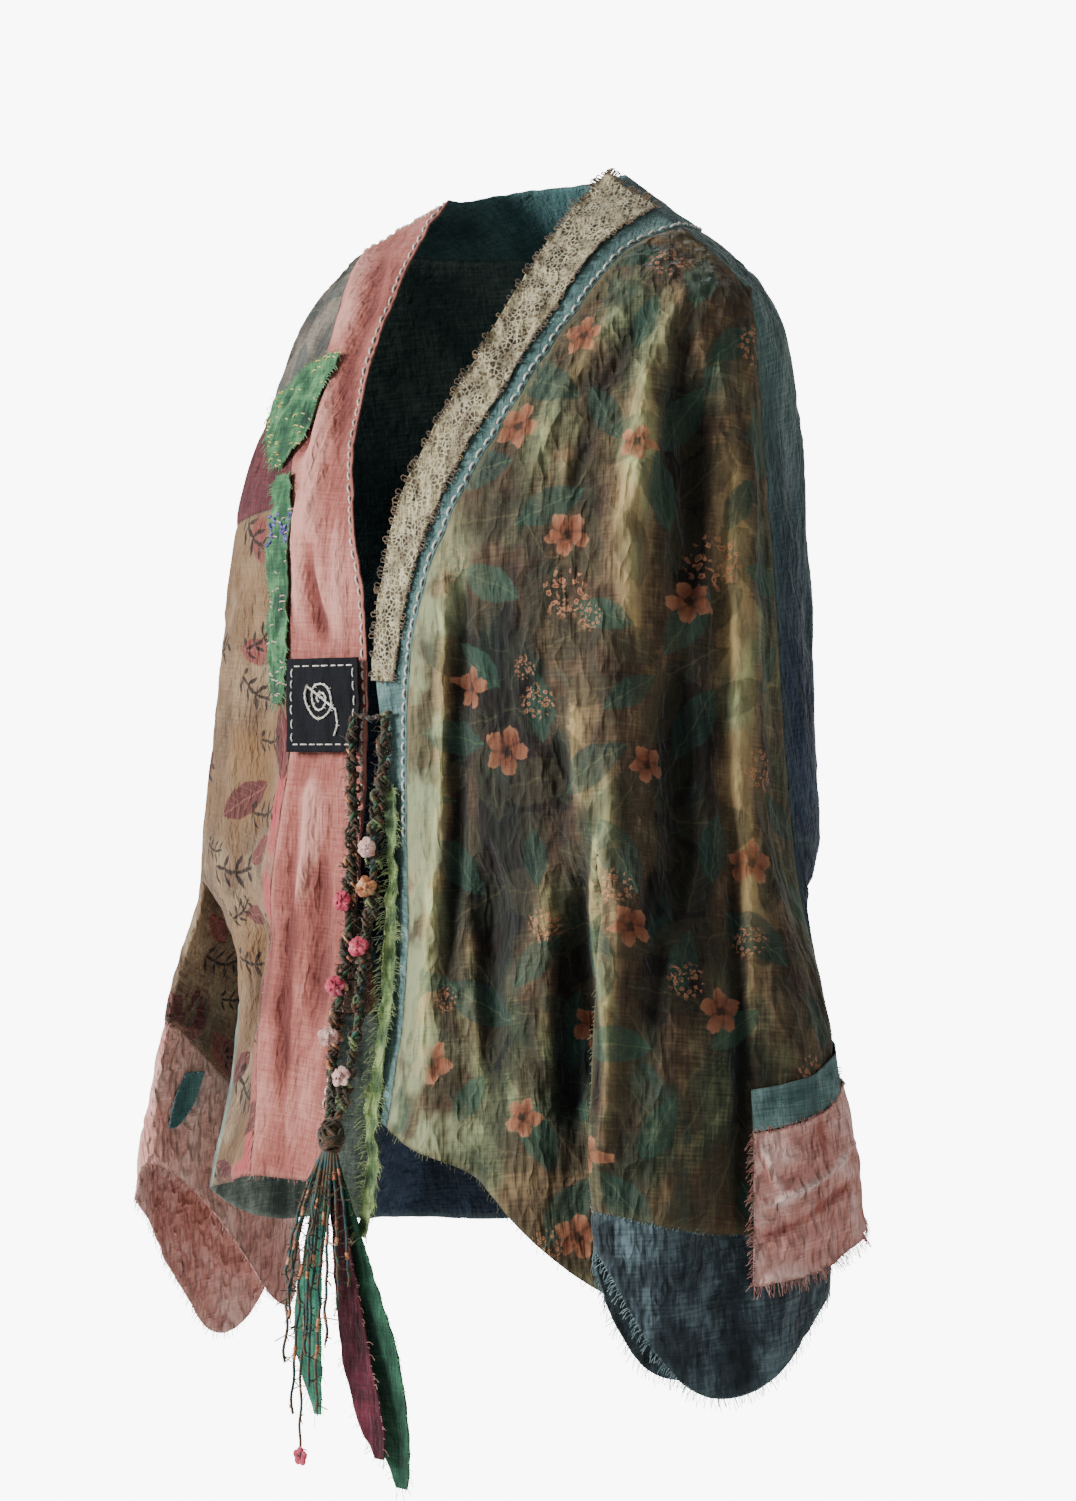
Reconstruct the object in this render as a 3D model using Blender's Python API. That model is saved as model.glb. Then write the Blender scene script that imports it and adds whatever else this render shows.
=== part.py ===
"""Patchwork jacket, worn shape, open front, with a knotted closure and hanging tails.

Metres, +Z up. The garment's front faces -Y and its left side is +X. The origin lies
inside the neck, level with the shoulder points, where the garment is held up.
"""

import math
from dataclasses import dataclass

import bmesh
import bpy
import numpy as np
from mathutils import Vector
from mathutils.bvhtree import BVHTree

# Cloth and seams
WALL = 0.0015
SEAM_DRAW = 0.00032
CREASE_DRAW = 0.0007
CORNER_DRAW = 0.006
OVERLAY_GAP = 0.0007
FOLD_FADE = 0.075

# Back and neck
BACK_POWER = 2.3
BACK_NECK_Z = -0.012
BACK_SPLIT_Z = -0.435
BACK_BAND_RISE = 0.044
BACK_BAND_REACH = 0.030

# How far below the underarm the body and the sleeve reach their own shapes
BODY_BLEND = 0.10
SLEEVE_BLEND = 0.09
LEAST_CUFF = 0.012

# Rows and columns of the sewn surface
ROW_CROWDING = 1.25
UPPER_ROWS = 14
BODY_ROWS = 10
SLEEVE_ROWS = 14
FOLD_COLUMNS = 8
BACK_COLUMNS = 12
RIDGE_COLUMNS = 3
NECK_STEPS = 2
CURVE_SAMPLES = 160
BACK_SPREAD = 1.6
BAND_CROWN = 1.4
NECK_ROUND = 0.9
NECK_RISE = 1.5
FLAT_BAND = 0.02

# Rows and columns where one panel of the right front meets the next
RIGHT_SHOULDER_ROWS = 4
RIGHT_BURGUNDY_ROWS = 7
GORE_FIRST_ROW = 4
GORE_FRONT_COLUMNS = 2

# Laid-on strips: rows that they cover and columns of the band
LACE_LAST_ROW = 11
RIBBON_FIRST_ROW = 13
STRIP_COLUMNS = 2
RIBBON_TAIL_STEPS = 5
RIBBON_TAIL_DROP = 0.075
RIBBON_TAIL_SWAY = 0.004
CUFF_FIRST_COLUMN = 7
CUFF_COLUMNS = 9
CUFF_BAND_ROWS = 2
CUFF_PATCH_ROWS = 6
CUFF_PATCH_FLARE = 0.022
CUFF_FLARE_POWER = 0.8

# Closure, spiral and tassel
YARN_THICKNESS = 0.0060
LOOP_THICKNESS = 0.0038
SPIRAL_THICKNESS = 0.0018
SPIRAL_START_TURN = 0.35
SPIRAL_TURNS = 2.6
SPIRAL_POINTS = 56
SPIRAL_RADIUS = 0.0150
SPIRAL_CENTRE = (-0.0590, -0.3260)
SPIRAL_TAIL = ((-0.0440, -0.3330), (-0.0420, -0.3420), (-0.0460, -0.3500))
ROSETTE_RADIUS = 0.0062
ROSETTE_DEPTH = 0.0042
ROSETTE_PETALS = 5
ROSETTE_GAP = 0.0005
ROSETTE_NOTCH = 0.66
ROSETTE_RINGS = ((0.55, 0.5), (1.0, 0.0), (0.5, -0.35))
KNOT_CENTRE = (-0.0180, -0.1680, -0.6090)
KNOT_SIZE = (0.0085, 0.0075, 0.0115)
STRAND_THICKNESS = 0.0018
STRAND_STEPS = 9
STRAND_FLOWER = 4.0
TAIL_WALL = 0.0014
TAIL_ROWS = 12
TAIL_COLUMNS = 2


def table(columns, rows):
    """A short table as a dictionary of arrays, one for each named column."""
    return {name: np.array(values) for name, values in zip(columns.split(), zip(*rows))}


# Cross sections of the worn shell: half widths to each side, depths to front and back
SECTIONS = table(
    "z left right front back power_left power_right",
    (
        (-0.750, 0.2160, 0.2360, 0.1750, 0.1620, 2.3, 2.5),
        (-0.450, 0.2290, 0.2620, 0.1350, 0.1180, 4.0, 2.6),
        (-0.360, 0.2200, 0.2500, 0.1310, 0.1190, 3.4, 2.6),
        (-0.280, 0.2140, 0.2400, 0.1345, 0.1200, 2.8, 2.4),
        (-0.190, 0.2060, 0.2320, 0.1280, 0.1240, 2.4, 2.3),
        (-0.150, 0.2025, 0.2240, 0.1170, 0.1230, 2.3, 2.3),
        (-0.098, 0.1995, 0.2090, 0.0930, 0.1170, 2.3, 2.3),
        (-0.059, 0.1930, 0.2000, 0.0700, 0.1080, 2.3, 2.3),
        (-0.030, 0.1520, 0.1860, 0.0520, 0.0980, 2.3, 2.3),
        (-0.004, 0.1200, 0.1550, 0.0290, 0.0820, 2.3, 2.3),
    ),
)

# Sections of the body alone, below the place where the sleeves part from it
BODY_SECTIONS = table(
    "z left right front back power_left power_right",
    (
        (-0.730, 0.2100, 0.2360, 0.1760, 0.1640, 2.2, 2.5),
        (-0.650, 0.2070, 0.2290, 0.1680, 0.1560, 2.2, 2.5),
        (-0.593, 0.2020, 0.2200, 0.1530, 0.1450, 2.3, 2.4),
        (-0.520, 0.1950, 0.2120, 0.1430, 0.1300, 2.4, 2.4),
        (-0.460, 0.1900, 0.2080, 0.1350, 0.1200, 2.5, 2.4),
        (-0.400, 0.1900, 0.2080, 0.1310, 0.1180, 2.5, 2.4),
    ),
)

# Where the band is sewn to the front panel, sideways for each height
BAND_SEAM_LEFT = table(
    "z x",
    (
        (-0.620, 0.014), (-0.520, 0.020), (-0.420, 0.015), (-0.360, 0.014), (-0.315, 0.017),
        (-0.276, 0.026), (-0.238, 0.038), (-0.195, 0.058), (-0.150, 0.080), (-0.098, 0.100),
        (-0.059, 0.115), (-0.030, 0.126), (-0.018, 0.137),
    ),
)
BAND_SEAM_RIGHT = table(
    "z x",
    (
        (-0.646, 0.097), (-0.530, 0.120), (-0.435, 0.107), (-0.357, 0.096), (-0.285, 0.101),
        (-0.190, 0.109), (-0.153, 0.118), (-0.109, 0.114), (-0.069, 0.119), (-0.020, 0.140),
        (-0.004, 0.155),
    ),
)

# Free edge of each band, for each height of the band seam beside it
FREE_EDGE_LEFT = table(
    "seam_z x y z",
    (
        (-0.593, 0.001, -0.153, -0.594), (-0.520, 0.006, -0.144, -0.520),
        (-0.420, 0.002, -0.133, -0.420), (-0.360, -0.004, -0.132, -0.360),
        (-0.315, -0.012, -0.135, -0.314), (-0.276, -0.006, -0.136, -0.270),
        (-0.238, 0.004, -0.137, -0.222), (-0.195, 0.022, -0.132, -0.176),
        (-0.150, 0.047, -0.115, -0.126), (-0.098, 0.062, -0.085, -0.070),
        (-0.058, 0.066, -0.052, -0.032), (-0.034, 0.066, -0.026, -0.004),
        (-0.018, 0.070, 0.000, 0.022),
    ),
)
FREE_EDGE_RIGHT = table(
    "seam_z x y z",
    (
        (-0.640, 0.034, -0.166, -0.640), (-0.530, 0.030, -0.145, -0.530),
        (-0.450, 0.026, -0.136, -0.450), (-0.360, 0.022, -0.131, -0.360),
        (-0.285, 0.021, -0.132, -0.285), (-0.240, 0.029, -0.131, -0.240),
        (-0.190, 0.043, -0.123, -0.190), (-0.153, 0.054, -0.111, -0.152),
        (-0.109, 0.064, -0.087, -0.104), (-0.069, 0.069, -0.060, -0.058),
        (-0.046, 0.070, -0.044, -0.032), (-0.020, 0.071, -0.022, 0.002),
        (-0.004, 0.072, 0.000, 0.022),
    ),
)

# Height of the hem for each angle round the body, 90 at the front and -90 at the back
HEM_LEFT = table(
    "angle z",
    (
        (-90, -0.685), (-45, -0.700), (0, -0.716), (22, -0.712), (38, -0.698), (62, -0.640),
        (66, -0.624), (77, -0.617), (90, -0.594),
    ),
)
HEM_RIGHT = table(
    "angle z",
    ((-90, -0.685), (-45, -0.708), (0, -0.700), (30, -0.668), (50, -0.655), (70, -0.643), (90, -0.640)),
)

# The flat tube of each hanging sleeve: its two long ends and how far each wall stands out
SLEEVE_LEFT = table(
    "z front_x front_y rear_x rear_y outward inward",
    (
        (-0.760, 0.203, -0.160, 0.262, -0.024, 0.030, 0.026),
        (-0.660, 0.200, -0.160, 0.269, -0.014, 0.031, 0.025),
        (-0.600, 0.197, -0.157, 0.272, -0.010, 0.030, 0.022),
        (-0.540, 0.196, -0.152, 0.266, -0.010, 0.028, 0.018),
        (-0.480, 0.194, -0.144, 0.246, -0.004, 0.025, 0.010),
        (-0.420, 0.190, -0.130, 0.230, 0.002, 0.020, 0.004),
    ),
)
SLEEVE_RIGHT = table(
    "z front_x front_y rear_x rear_y outward inward",
    (
        (-0.790, 0.286, -0.084, 0.302, 0.080, 0.036, 0.028),
        (-0.660, 0.284, -0.092, 0.300, 0.070, 0.035, 0.024),
        (-0.600, 0.270, -0.094, 0.290, 0.064, 0.032, 0.018),
        (-0.550, 0.254, -0.096, 0.276, 0.060, 0.029, 0.013),
        (-0.500, 0.238, -0.099, 0.264, 0.056, 0.027, 0.010),
        (-0.450, 0.220, -0.098, 0.252, 0.050, 0.024, 0.008),
    ),
)

# Largest folds. across runs 0 at the band seam, 1 at the sleeve's front end, 2 at its outer
# seam and 3 at the end of its inner wall; on the back it runs 0 to 1 from side to centre
FOLDS_LEFT = table(
    "across_high across_low z_high z_low width depth",
    (
        (0.05, 0.20, -0.200, -0.640, 0.085, 0.0080),
        (0.18, 0.38, -0.240, -0.640, 0.090, -0.0085),
        (0.62, 0.58, -0.200, -0.560, 0.130, 0.0050),
        (0.80, 0.78, -0.260, -0.700, 0.100, -0.0070),
        (0.98, 1.04, -0.120, -0.600, 0.110, 0.0085),
        (1.40, 1.26, -0.090, -0.520, 0.080, -0.0090),
        (1.22, 1.36, -0.360, -0.640, 0.090, 0.0060),
        (1.55, 1.50, -0.080, -0.420, 0.070, 0.0060),
        (1.62, 1.50, -0.160, -0.700, 0.060, -0.0100),
        (1.78, 1.66, -0.120, -0.740, 0.085, 0.0095),
        (2.40, 2.35, -0.500, -0.740, 0.120, -0.0040),
        (2.65, 2.70, -0.520, -0.740, 0.120, 0.0040),
    ),
)
FOLDS_RIGHT = table(
    "across_high across_low z_high z_low width depth",
    (
        (0.00, 0.02, -0.330, -0.640, 0.130, 0.0080),
        (0.30, 0.36, -0.200, -0.640, 0.130, -0.0070),
        (0.62, 0.66, -0.160, -0.560, 0.120, 0.0060),
        (0.92, 0.98, -0.120, -0.600, 0.130, 0.0060),
        (1.35, 1.30, -0.120, -0.600, 0.110, -0.0080),
        (1.65, 1.70, -0.140, -0.700, 0.110, 0.0080),
        (2.25, 2.22, -0.500, -0.740, 0.110, -0.0040),
        (2.55, 2.60, -0.520, -0.760, 0.120, 0.0040),
    ),
)
FOLDS_BACK = table(
    "across_high across_low z_high z_low width depth",
    (
        (0.14, 0.14, -0.160, -0.690, 0.060, 0.0060),
        (0.28, 0.24, -0.120, -0.690, 0.090, -0.0080),
        (0.46, 0.44, -0.100, -0.690, 0.080, 0.0075),
        (0.66, 0.62, -0.180, -0.690, 0.080, -0.0060),
        (0.86, 0.84, -0.100, -0.690, 0.090, 0.0080),
    ),
)
# Soft folds along the wide right band
FOLDS_BAND = table(
    "across_high across_low z_high z_low width depth",
    (
        (0.30, 0.24, -0.080, -0.300, 0.120, -0.0030),
        (0.55, 0.52, -0.120, -0.300, 0.120, 0.0035),
        (0.45, 0.40, -0.380, -0.640, 0.140, -0.0050),
        (0.75, 0.70, -0.380, -0.640, 0.120, 0.0060),
    ),
)

# Heights of the left cuff's laid-on band and patch, for each share from its first column
CUFF_LINES = table(
    "share band_top band_low patch_top patch_low flare",
    (
        (0.00, -0.5660, -0.5910, -0.5920, -0.6820, 0.25),
        (0.30, -0.5560, -0.5800, -0.5810, -0.6720, 0.45),
        (0.60, -0.5440, -0.5660, -0.5670, -0.6520, 0.80),
        (0.82, -0.5360, -0.5500, -0.5510, -0.6350, 1.00),
        (1.00, -0.5330, -0.5460, -0.5470, -0.6330, 0.40),
    ),
)

# Patches laid on the cloth, as seen from an azimuth: across and height of both ends of each row
LEAF_ROWS = table(
    "left right z",
    (
        (-0.072, -0.050, -0.091), (-0.102, -0.0475, -0.105), (-0.130, -0.050, -0.118),
        (-0.118, -0.052, -0.135), (-0.098, -0.055, -0.152), (-0.076, -0.066, -0.168),
    ),
)
STRIP_ROWS = table(
    "left right z",
    (
        (-0.129, -0.107, -0.173), (-0.128, -0.100, -0.205), (-0.132, -0.098, -0.235),
        (-0.130, -0.098, -0.270), (-0.126, -0.100, -0.300), (-0.117, -0.106, -0.328),
    ),
)
SQUARE_ROWS = table(
    "left right z",
    ((-0.0920, -0.0240, -0.2990), (-0.0910, -0.0240, -0.3300), (-0.0880, -0.0240, -0.3610)),
)
GUSSET_ROWS = table(
    "left right z",
    ((-0.2450, -0.2330, -0.590), (-0.2530, -0.2380, -0.610), (-0.2570, -0.2510, -0.630)),
)

# Routes of the closure's loop and of the two yarn cords
LOOP_ROUTE = (
    (-0.0290, -0.1351, -0.3350), (-0.0240, -0.1361, -0.3368), (-0.0190, -0.1369, -0.3382),
    (-0.0140, -0.1373, -0.3388), (-0.0090, -0.1373, -0.3386), (-0.0040, -0.1371, -0.3378),
    (0.0010, -0.1369, -0.3366), (0.0060, -0.1367, -0.3352),
)
YARN_LEFT_ROUTE = (
    (-0.0300, -0.1362, -0.3376), (-0.0290, -0.1378, -0.3580), (-0.0270, -0.1395, -0.3800),
    (-0.0245, -0.1405, -0.4000), (-0.0250, -0.1415, -0.4200), (-0.0265, -0.1425, -0.4400),
    (-0.0260, -0.1440, -0.4600), (-0.0240, -0.1460, -0.4800), (-0.0250, -0.1480, -0.5000),
    (-0.0270, -0.1505, -0.5200), (-0.0275, -0.1535, -0.5400), (-0.0265, -0.1570, -0.5600),
    (-0.0245, -0.1610, -0.5780), (-0.0222, -0.1655, -0.5981),
)
YARN_RIGHT_ROUTE = (
    (0.0010, -0.1374, -0.3392), (0.0005, -0.1386, -0.3590), (-0.0015, -0.1395, -0.3800),
    (-0.0040, -0.1405, -0.4000), (-0.0055, -0.1415, -0.4200), (-0.0045, -0.1425, -0.4400),
    (-0.0050, -0.1440, -0.4600), (-0.0075, -0.1460, -0.4800), (-0.0090, -0.1480, -0.5000),
    (-0.0085, -0.1505, -0.5200), (-0.0090, -0.1535, -0.5400), (-0.0105, -0.1570, -0.5600),
    (-0.0120, -0.1610, -0.5780), (-0.0139, -0.1655, -0.5981),
)

# Flowers of thread on the cords: cord, height and colour
ROSETTES = (
    ("right", -0.4230, "pale"), ("right", -0.4480, "orange"), ("left", -0.4580, "pink"),
    ("right", -0.4860, "pink"), ("left", -0.5140, "pink"), ("left", -0.5460, "pale"),
    ("right", -0.5700, "pale"),
)

# Torn strips that hang from the knot: middle and width for each height
TAIL_GREEN = table(
    "z x y width",
    (
        (-0.7900, -0.0310, -0.1660, 0.0060), (-0.7650, -0.0350, -0.1680, 0.0190),
        (-0.7350, -0.0370, -0.1700, 0.0250), (-0.6900, -0.0310, -0.1705, 0.0170),
        (-0.6500, -0.0230, -0.1700, 0.0110), (-0.6208, -0.0180, -0.1690, 0.0060),
    ),
)
TAIL_BURGUNDY = table(
    "z x y width",
    (
        (-0.8130, 0.0190, -0.1600, 0.0080), (-0.7900, 0.0130, -0.1620, 0.0230),
        (-0.7500, 0.0020, -0.1640, 0.0260), (-0.7000, -0.0060, -0.1655, 0.0200),
        (-0.6500, -0.0140, -0.1662, 0.0110), (-0.6208, -0.0180, -0.1670, 0.0060),
    ),
)
TAIL_DARK_GREEN = table(
    "z x y width",
    (
        (-0.8320, 0.0290, -0.1500, 0.0100), (-0.8000, 0.0250, -0.1520, 0.0270),
        (-0.7500, 0.0200, -0.1560, 0.0260), (-0.7000, 0.0080, -0.1615, 0.0180),
        (-0.6500, -0.0100, -0.1630, 0.0110), (-0.6208, -0.0180, -0.1650, 0.0060),
    ),
)

# Yarn strands of the tassel: face round the knot, sideways and forward sway, length
STRANDS = (
    (0, 0.016, -0.004, 0.085), (1, 0.007, -0.012, 0.120), (2, -0.003, -0.014, 0.150),
    (3, -0.010, -0.013, 0.196), (4, -0.022, -0.010, 0.110), (5, -0.030, -0.006, 0.140),
)
FLOWER_STRAND = 3
SQUARE_CORNERS = ((-1, -1), (1, -1), (1, 1), (-1, 1))

# Corners of a quad of the sewn surface: steps down and across from its first one
QUAD_STEPS = ((0, 0), (0, 1), (1, 1), (1, 0))


@dataclass
class Side:
    """What differs between the garment's left and right."""

    name: str
    sign: int
    ridge_start: tuple
    ridge_end: tuple
    split_z: float
    seam: dict
    free_edge: dict
    hem: dict
    sleeve: dict
    folds: dict
    band_columns: int
    front_columns: int
    sleeve_columns: int
    split_share: float
    split_angle: float
    rear_split_angle: float
    rear_split_column: int
    fold_middle: tuple
    seam_turn: float
    rear_turn: float
    cuff_rows: int
    cuff_seam: tuple
    sleeve_end: tuple
    lowest_power: float
    outer_drop: float


LEFT = Side(
    name="left", sign=1, ridge_start=(0.137, -0.018), ridge_end=(0.195, -0.065), split_z=-0.42,
    seam=BAND_SEAM_LEFT, free_edge=FREE_EDGE_LEFT, hem=HEM_LEFT, sleeve=SLEEVE_LEFT,
    folds=FOLDS_LEFT, band_columns=3, front_columns=9, sleeve_columns=12, split_share=0.53,
    split_angle=34.0, rear_split_angle=-14.0, rear_split_column=2, fold_middle=(0.196, -0.045, -0.428),
    seam_turn=166.0, rear_turn=200.0, cuff_rows=4, cuff_seam=(-0.640, -0.654, -0.640),
    sleeve_end=(-0.658, -0.690, 0.080), lowest_power=0.78, outer_drop=0.0,
)
RIGHT = Side(
    name="right", sign=-1, ridge_start=(0.155, -0.004), ridge_end=(0.198, -0.046), split_z=-0.45,
    seam=BAND_SEAM_RIGHT, free_edge=FREE_EDGE_RIGHT, hem=HEM_RIGHT, sleeve=SLEEVE_RIGHT,
    folds=FOLDS_RIGHT, band_columns=5, front_columns=6, sleeve_columns=9, split_share=0.50,
    split_angle=26.0, rear_split_angle=-22.0, rear_split_column=3, fold_middle=(0.212, -0.022, -0.458),
    seam_turn=105.0, rear_turn=178.0, cuff_rows=7, cuff_seam=(-0.553, -0.620, -0.660),
    sleeve_end=(-0.655, -0.712, 0.085), lowest_power=1.9, outer_drop=0.030,
)


def mix(low, high, share):
    """Straight mix of two values or points."""
    return low + (high - low) * share


def smooth_step(share):
    """An even start and end between 0 and 1."""
    share = np.clip(share, 0.0, 1.0)
    return share * share * (3.0 - 2.0 * share)


def quick_start(share):
    """A full start and an even end between 0 and 1."""
    share = np.clip(share, 0.0, 1.0)
    return 1.0 - (1.0 - share) ** 2


def smooth(xs, ys, x):
    """A smooth curve through a table's values that never overshoots them."""
    x = np.clip(x, xs[0], xs[-1])
    step = np.diff(xs)
    slope = np.diff(ys) / step
    tangent = np.zeros(len(xs))
    tangent[0] = slope[0]
    tangent[-1] = slope[-1]
    same = slope[:-1] * slope[1:] > 0
    inner = np.zeros(len(slope) - 1)
    inner[same] = 2.0 * slope[:-1][same] * slope[1:][same] / (slope[:-1][same] + slope[1:][same])
    tangent[1:-1] = inner
    at = np.clip(np.searchsorted(xs, x, side="right") - 1, 0, len(step) - 1)
    share = (x - xs[at]) / step[at]
    cube = share**3
    square = share**2
    return (
        (2 * cube - 3 * square + 1) * ys[at]
        + (cube - 2 * square + share) * step[at] * tangent[at]
        + (3 * square - 2 * cube) * ys[at + 1]
        + (cube - square) * step[at] * tangent[at + 1]
    )


def read(source, column, x, by="z"):
    """One column of a table, read smoothly at x."""
    return smooth(source[by], source[column], x)


def half_width(side, z):
    """Half width of the shell, straight along the shoulder ridge."""
    start_x, start_z = side.ridge_start
    end_x, end_z = side.ridge_end
    on_ridge = mix(start_x, end_x, (start_z - z) / (start_z - end_z))
    below = end_x + np.maximum(read(SECTIONS, side.name, z) - read(SECTIONS, side.name, end_z), 0.0)
    return np.where(z > end_z, on_ridge, below)


def section_point(side, angle, z, body=False):
    """Point of a section: angle 0 at the side, 90 at the front, -90 at the back."""
    source = BODY_SECTIONS if body else SECTIONS
    width = read(source, side.name, z) if body else half_width(side, z)
    front_power = read(source, "power_" + side.name, z)
    power = np.where(angle >= 0, front_power, BACK_POWER)
    depth = np.where(angle >= 0, -read(source, "front", z), read(source, "back", z))
    cosine = np.clip(np.cos(np.radians(angle)), 0.0, 1.0)
    sine = np.abs(np.sin(np.radians(angle)))
    x = width * cosine ** (2.0 / power)
    y = depth * sine ** (2.0 / power)
    return np.stack([x * side.sign, y, z + 0.0 * x], axis=-1)


def angle_at(side, x, z, body=False):
    """Angle of the front point of a section that lies x to the side."""
    source = BODY_SECTIONS if body else SECTIONS
    width = read(source, side.name, z) if body else half_width(side, z)
    power = read(source, "power_" + side.name, z)
    return np.degrees(np.arccos(np.clip(x / width, 0.0, 1.0) ** (power / 2.0)))


def along(points, shares):
    """Points at shares of a line's length."""
    lengths = np.concatenate([[0.0], np.cumsum(np.linalg.norm(np.diff(points, axis=0), axis=1))])
    lengths /= lengths[-1]
    return np.stack([np.interp(shares, lengths, points[:, i]) for i in range(3)], axis=1)


def front_row(side, down, shares):
    """Points of the front from the band seam to the outer seam, down 0 at the ridge."""
    steps = np.linspace(0.0, 1.0, CURVE_SAMPLES)
    start_z = side.ridge_start[1]
    ridge_z = mix(start_z, side.ridge_end[1], steps)
    z = mix(ridge_z, side.split_z, down)
    seam_x = read(side.seam, "x", z[0])
    if down == 0.0:
        x = mix(side.ridge_start[0], side.ridge_end[0], steps) * side.sign
        return along(np.stack([x, 0.0 * x, z], axis=1), shares)
    start_angle = angle_at(side, seam_x, z[0])
    return along(section_point(side, start_angle * (1.0 - steps), z), shares)


def back_row(side, down):
    """Points of the back from the outer seam to the centre."""
    column = np.arange(BACK_COLUMNS + 1)
    ridge_share = np.clip(column / RIDGE_COLUMNS, 0.0, 1.0)
    neck_share = np.clip((column - RIDGE_COLUMNS) / (BACK_COLUMNS - RIDGE_COLUMNS), 0.0, 1.0)
    ridge_z = mix(side.ridge_end[1], side.ridge_start[1], ridge_share)
    top_z = mix(ridge_z, BACK_NECK_Z, smooth_step(neck_share))
    low_z = mix(side.split_z, BACK_SPLIT_Z, smooth_step(column / BACK_COLUMNS))
    z = mix(top_z, low_z, down)
    top_angle = -90.0 * neck_share
    low_angle = -90.0 * column / BACK_COLUMNS
    angle = mix(top_angle, low_angle, smooth_step(BACK_SPREAD * down))
    return section_point(side, angle, z)


def free_edge_point(side, seam_z):
    """Point of the band's free edge beside a height of its seam."""
    x, y, z = (read(side.free_edge, name, seam_z, by="seam_z") for name in "xyz")
    return np.array([x * side.sign, y, z])


def band_row(side, seam_point):
    """Points of the band from its free edge up to its seam, a little crowned."""
    edge = free_edge_point(side, seam_point[2])
    shares = np.linspace(0.0, 1.0, side.band_columns + 1)[:-1]
    flat = np.array([mix(edge, seam_point, share) for share in shares])
    x = np.abs(flat[:, 0])
    z = flat[:, 2]
    if side.ridge_start[1] - seam_point[2] > FLAT_BAND:
        angle = np.where(flat[:, 0] * side.sign < 0, 90.0, angle_at(side, x, z))
        crowned = section_point(side, angle, z)
        crowned[:, 0] = flat[:, 0]
        flat = mix(flat, crowned, np.clip(shares * BAND_CROWN, 0.0, 1.0)[:, None])
    return flat


def sleeve_point(side, turn, z):
    """Point of the hanging sleeve: turn 0 at its front end, 180 at its rear end, 360 back."""
    front = np.array([read(side.sleeve, "front_x", z), read(side.sleeve, "front_y", z)])
    rear = np.array([read(side.sleeve, "rear_x", z), read(side.sleeve, "rear_y", z)])
    run = rear - front
    outward = np.array([run[1], -run[0]]) / np.linalg.norm(run)
    height = math.sin(math.radians(turn))
    stand = read(side.sleeve, "outward" if height >= 0 else "inward", z)
    place = front + run * sleeve_share(turn) + outward * stand * height
    return np.array([place[0] * side.sign, place[1], z])


def sleeve_share(turn):
    """How far a turn lies from the sleeve's front end to its rear end."""
    return (1.0 - math.cos(math.radians(turn))) / 2.0


def cuff_seam_z(side, turn):
    """Height of the cuff's seam."""
    front, middle, rear = side.cuff_seam
    return float(np.interp(sleeve_share(turn), (0.0, 0.5, 1.0), (front, middle, rear)))


def sleeve_end_z(side, turn):
    """Height of the sleeve's open end, lowest between its two long ends."""
    front, rear, dip = side.sleeve_end
    share = sleeve_share(turn)
    low = math.sin(math.pi * share**side.lowest_power)
    outer = max(math.sin(math.radians(turn)), 0.0)
    return mix(front, rear, share) - dip * low - side.outer_drop * outer


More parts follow.
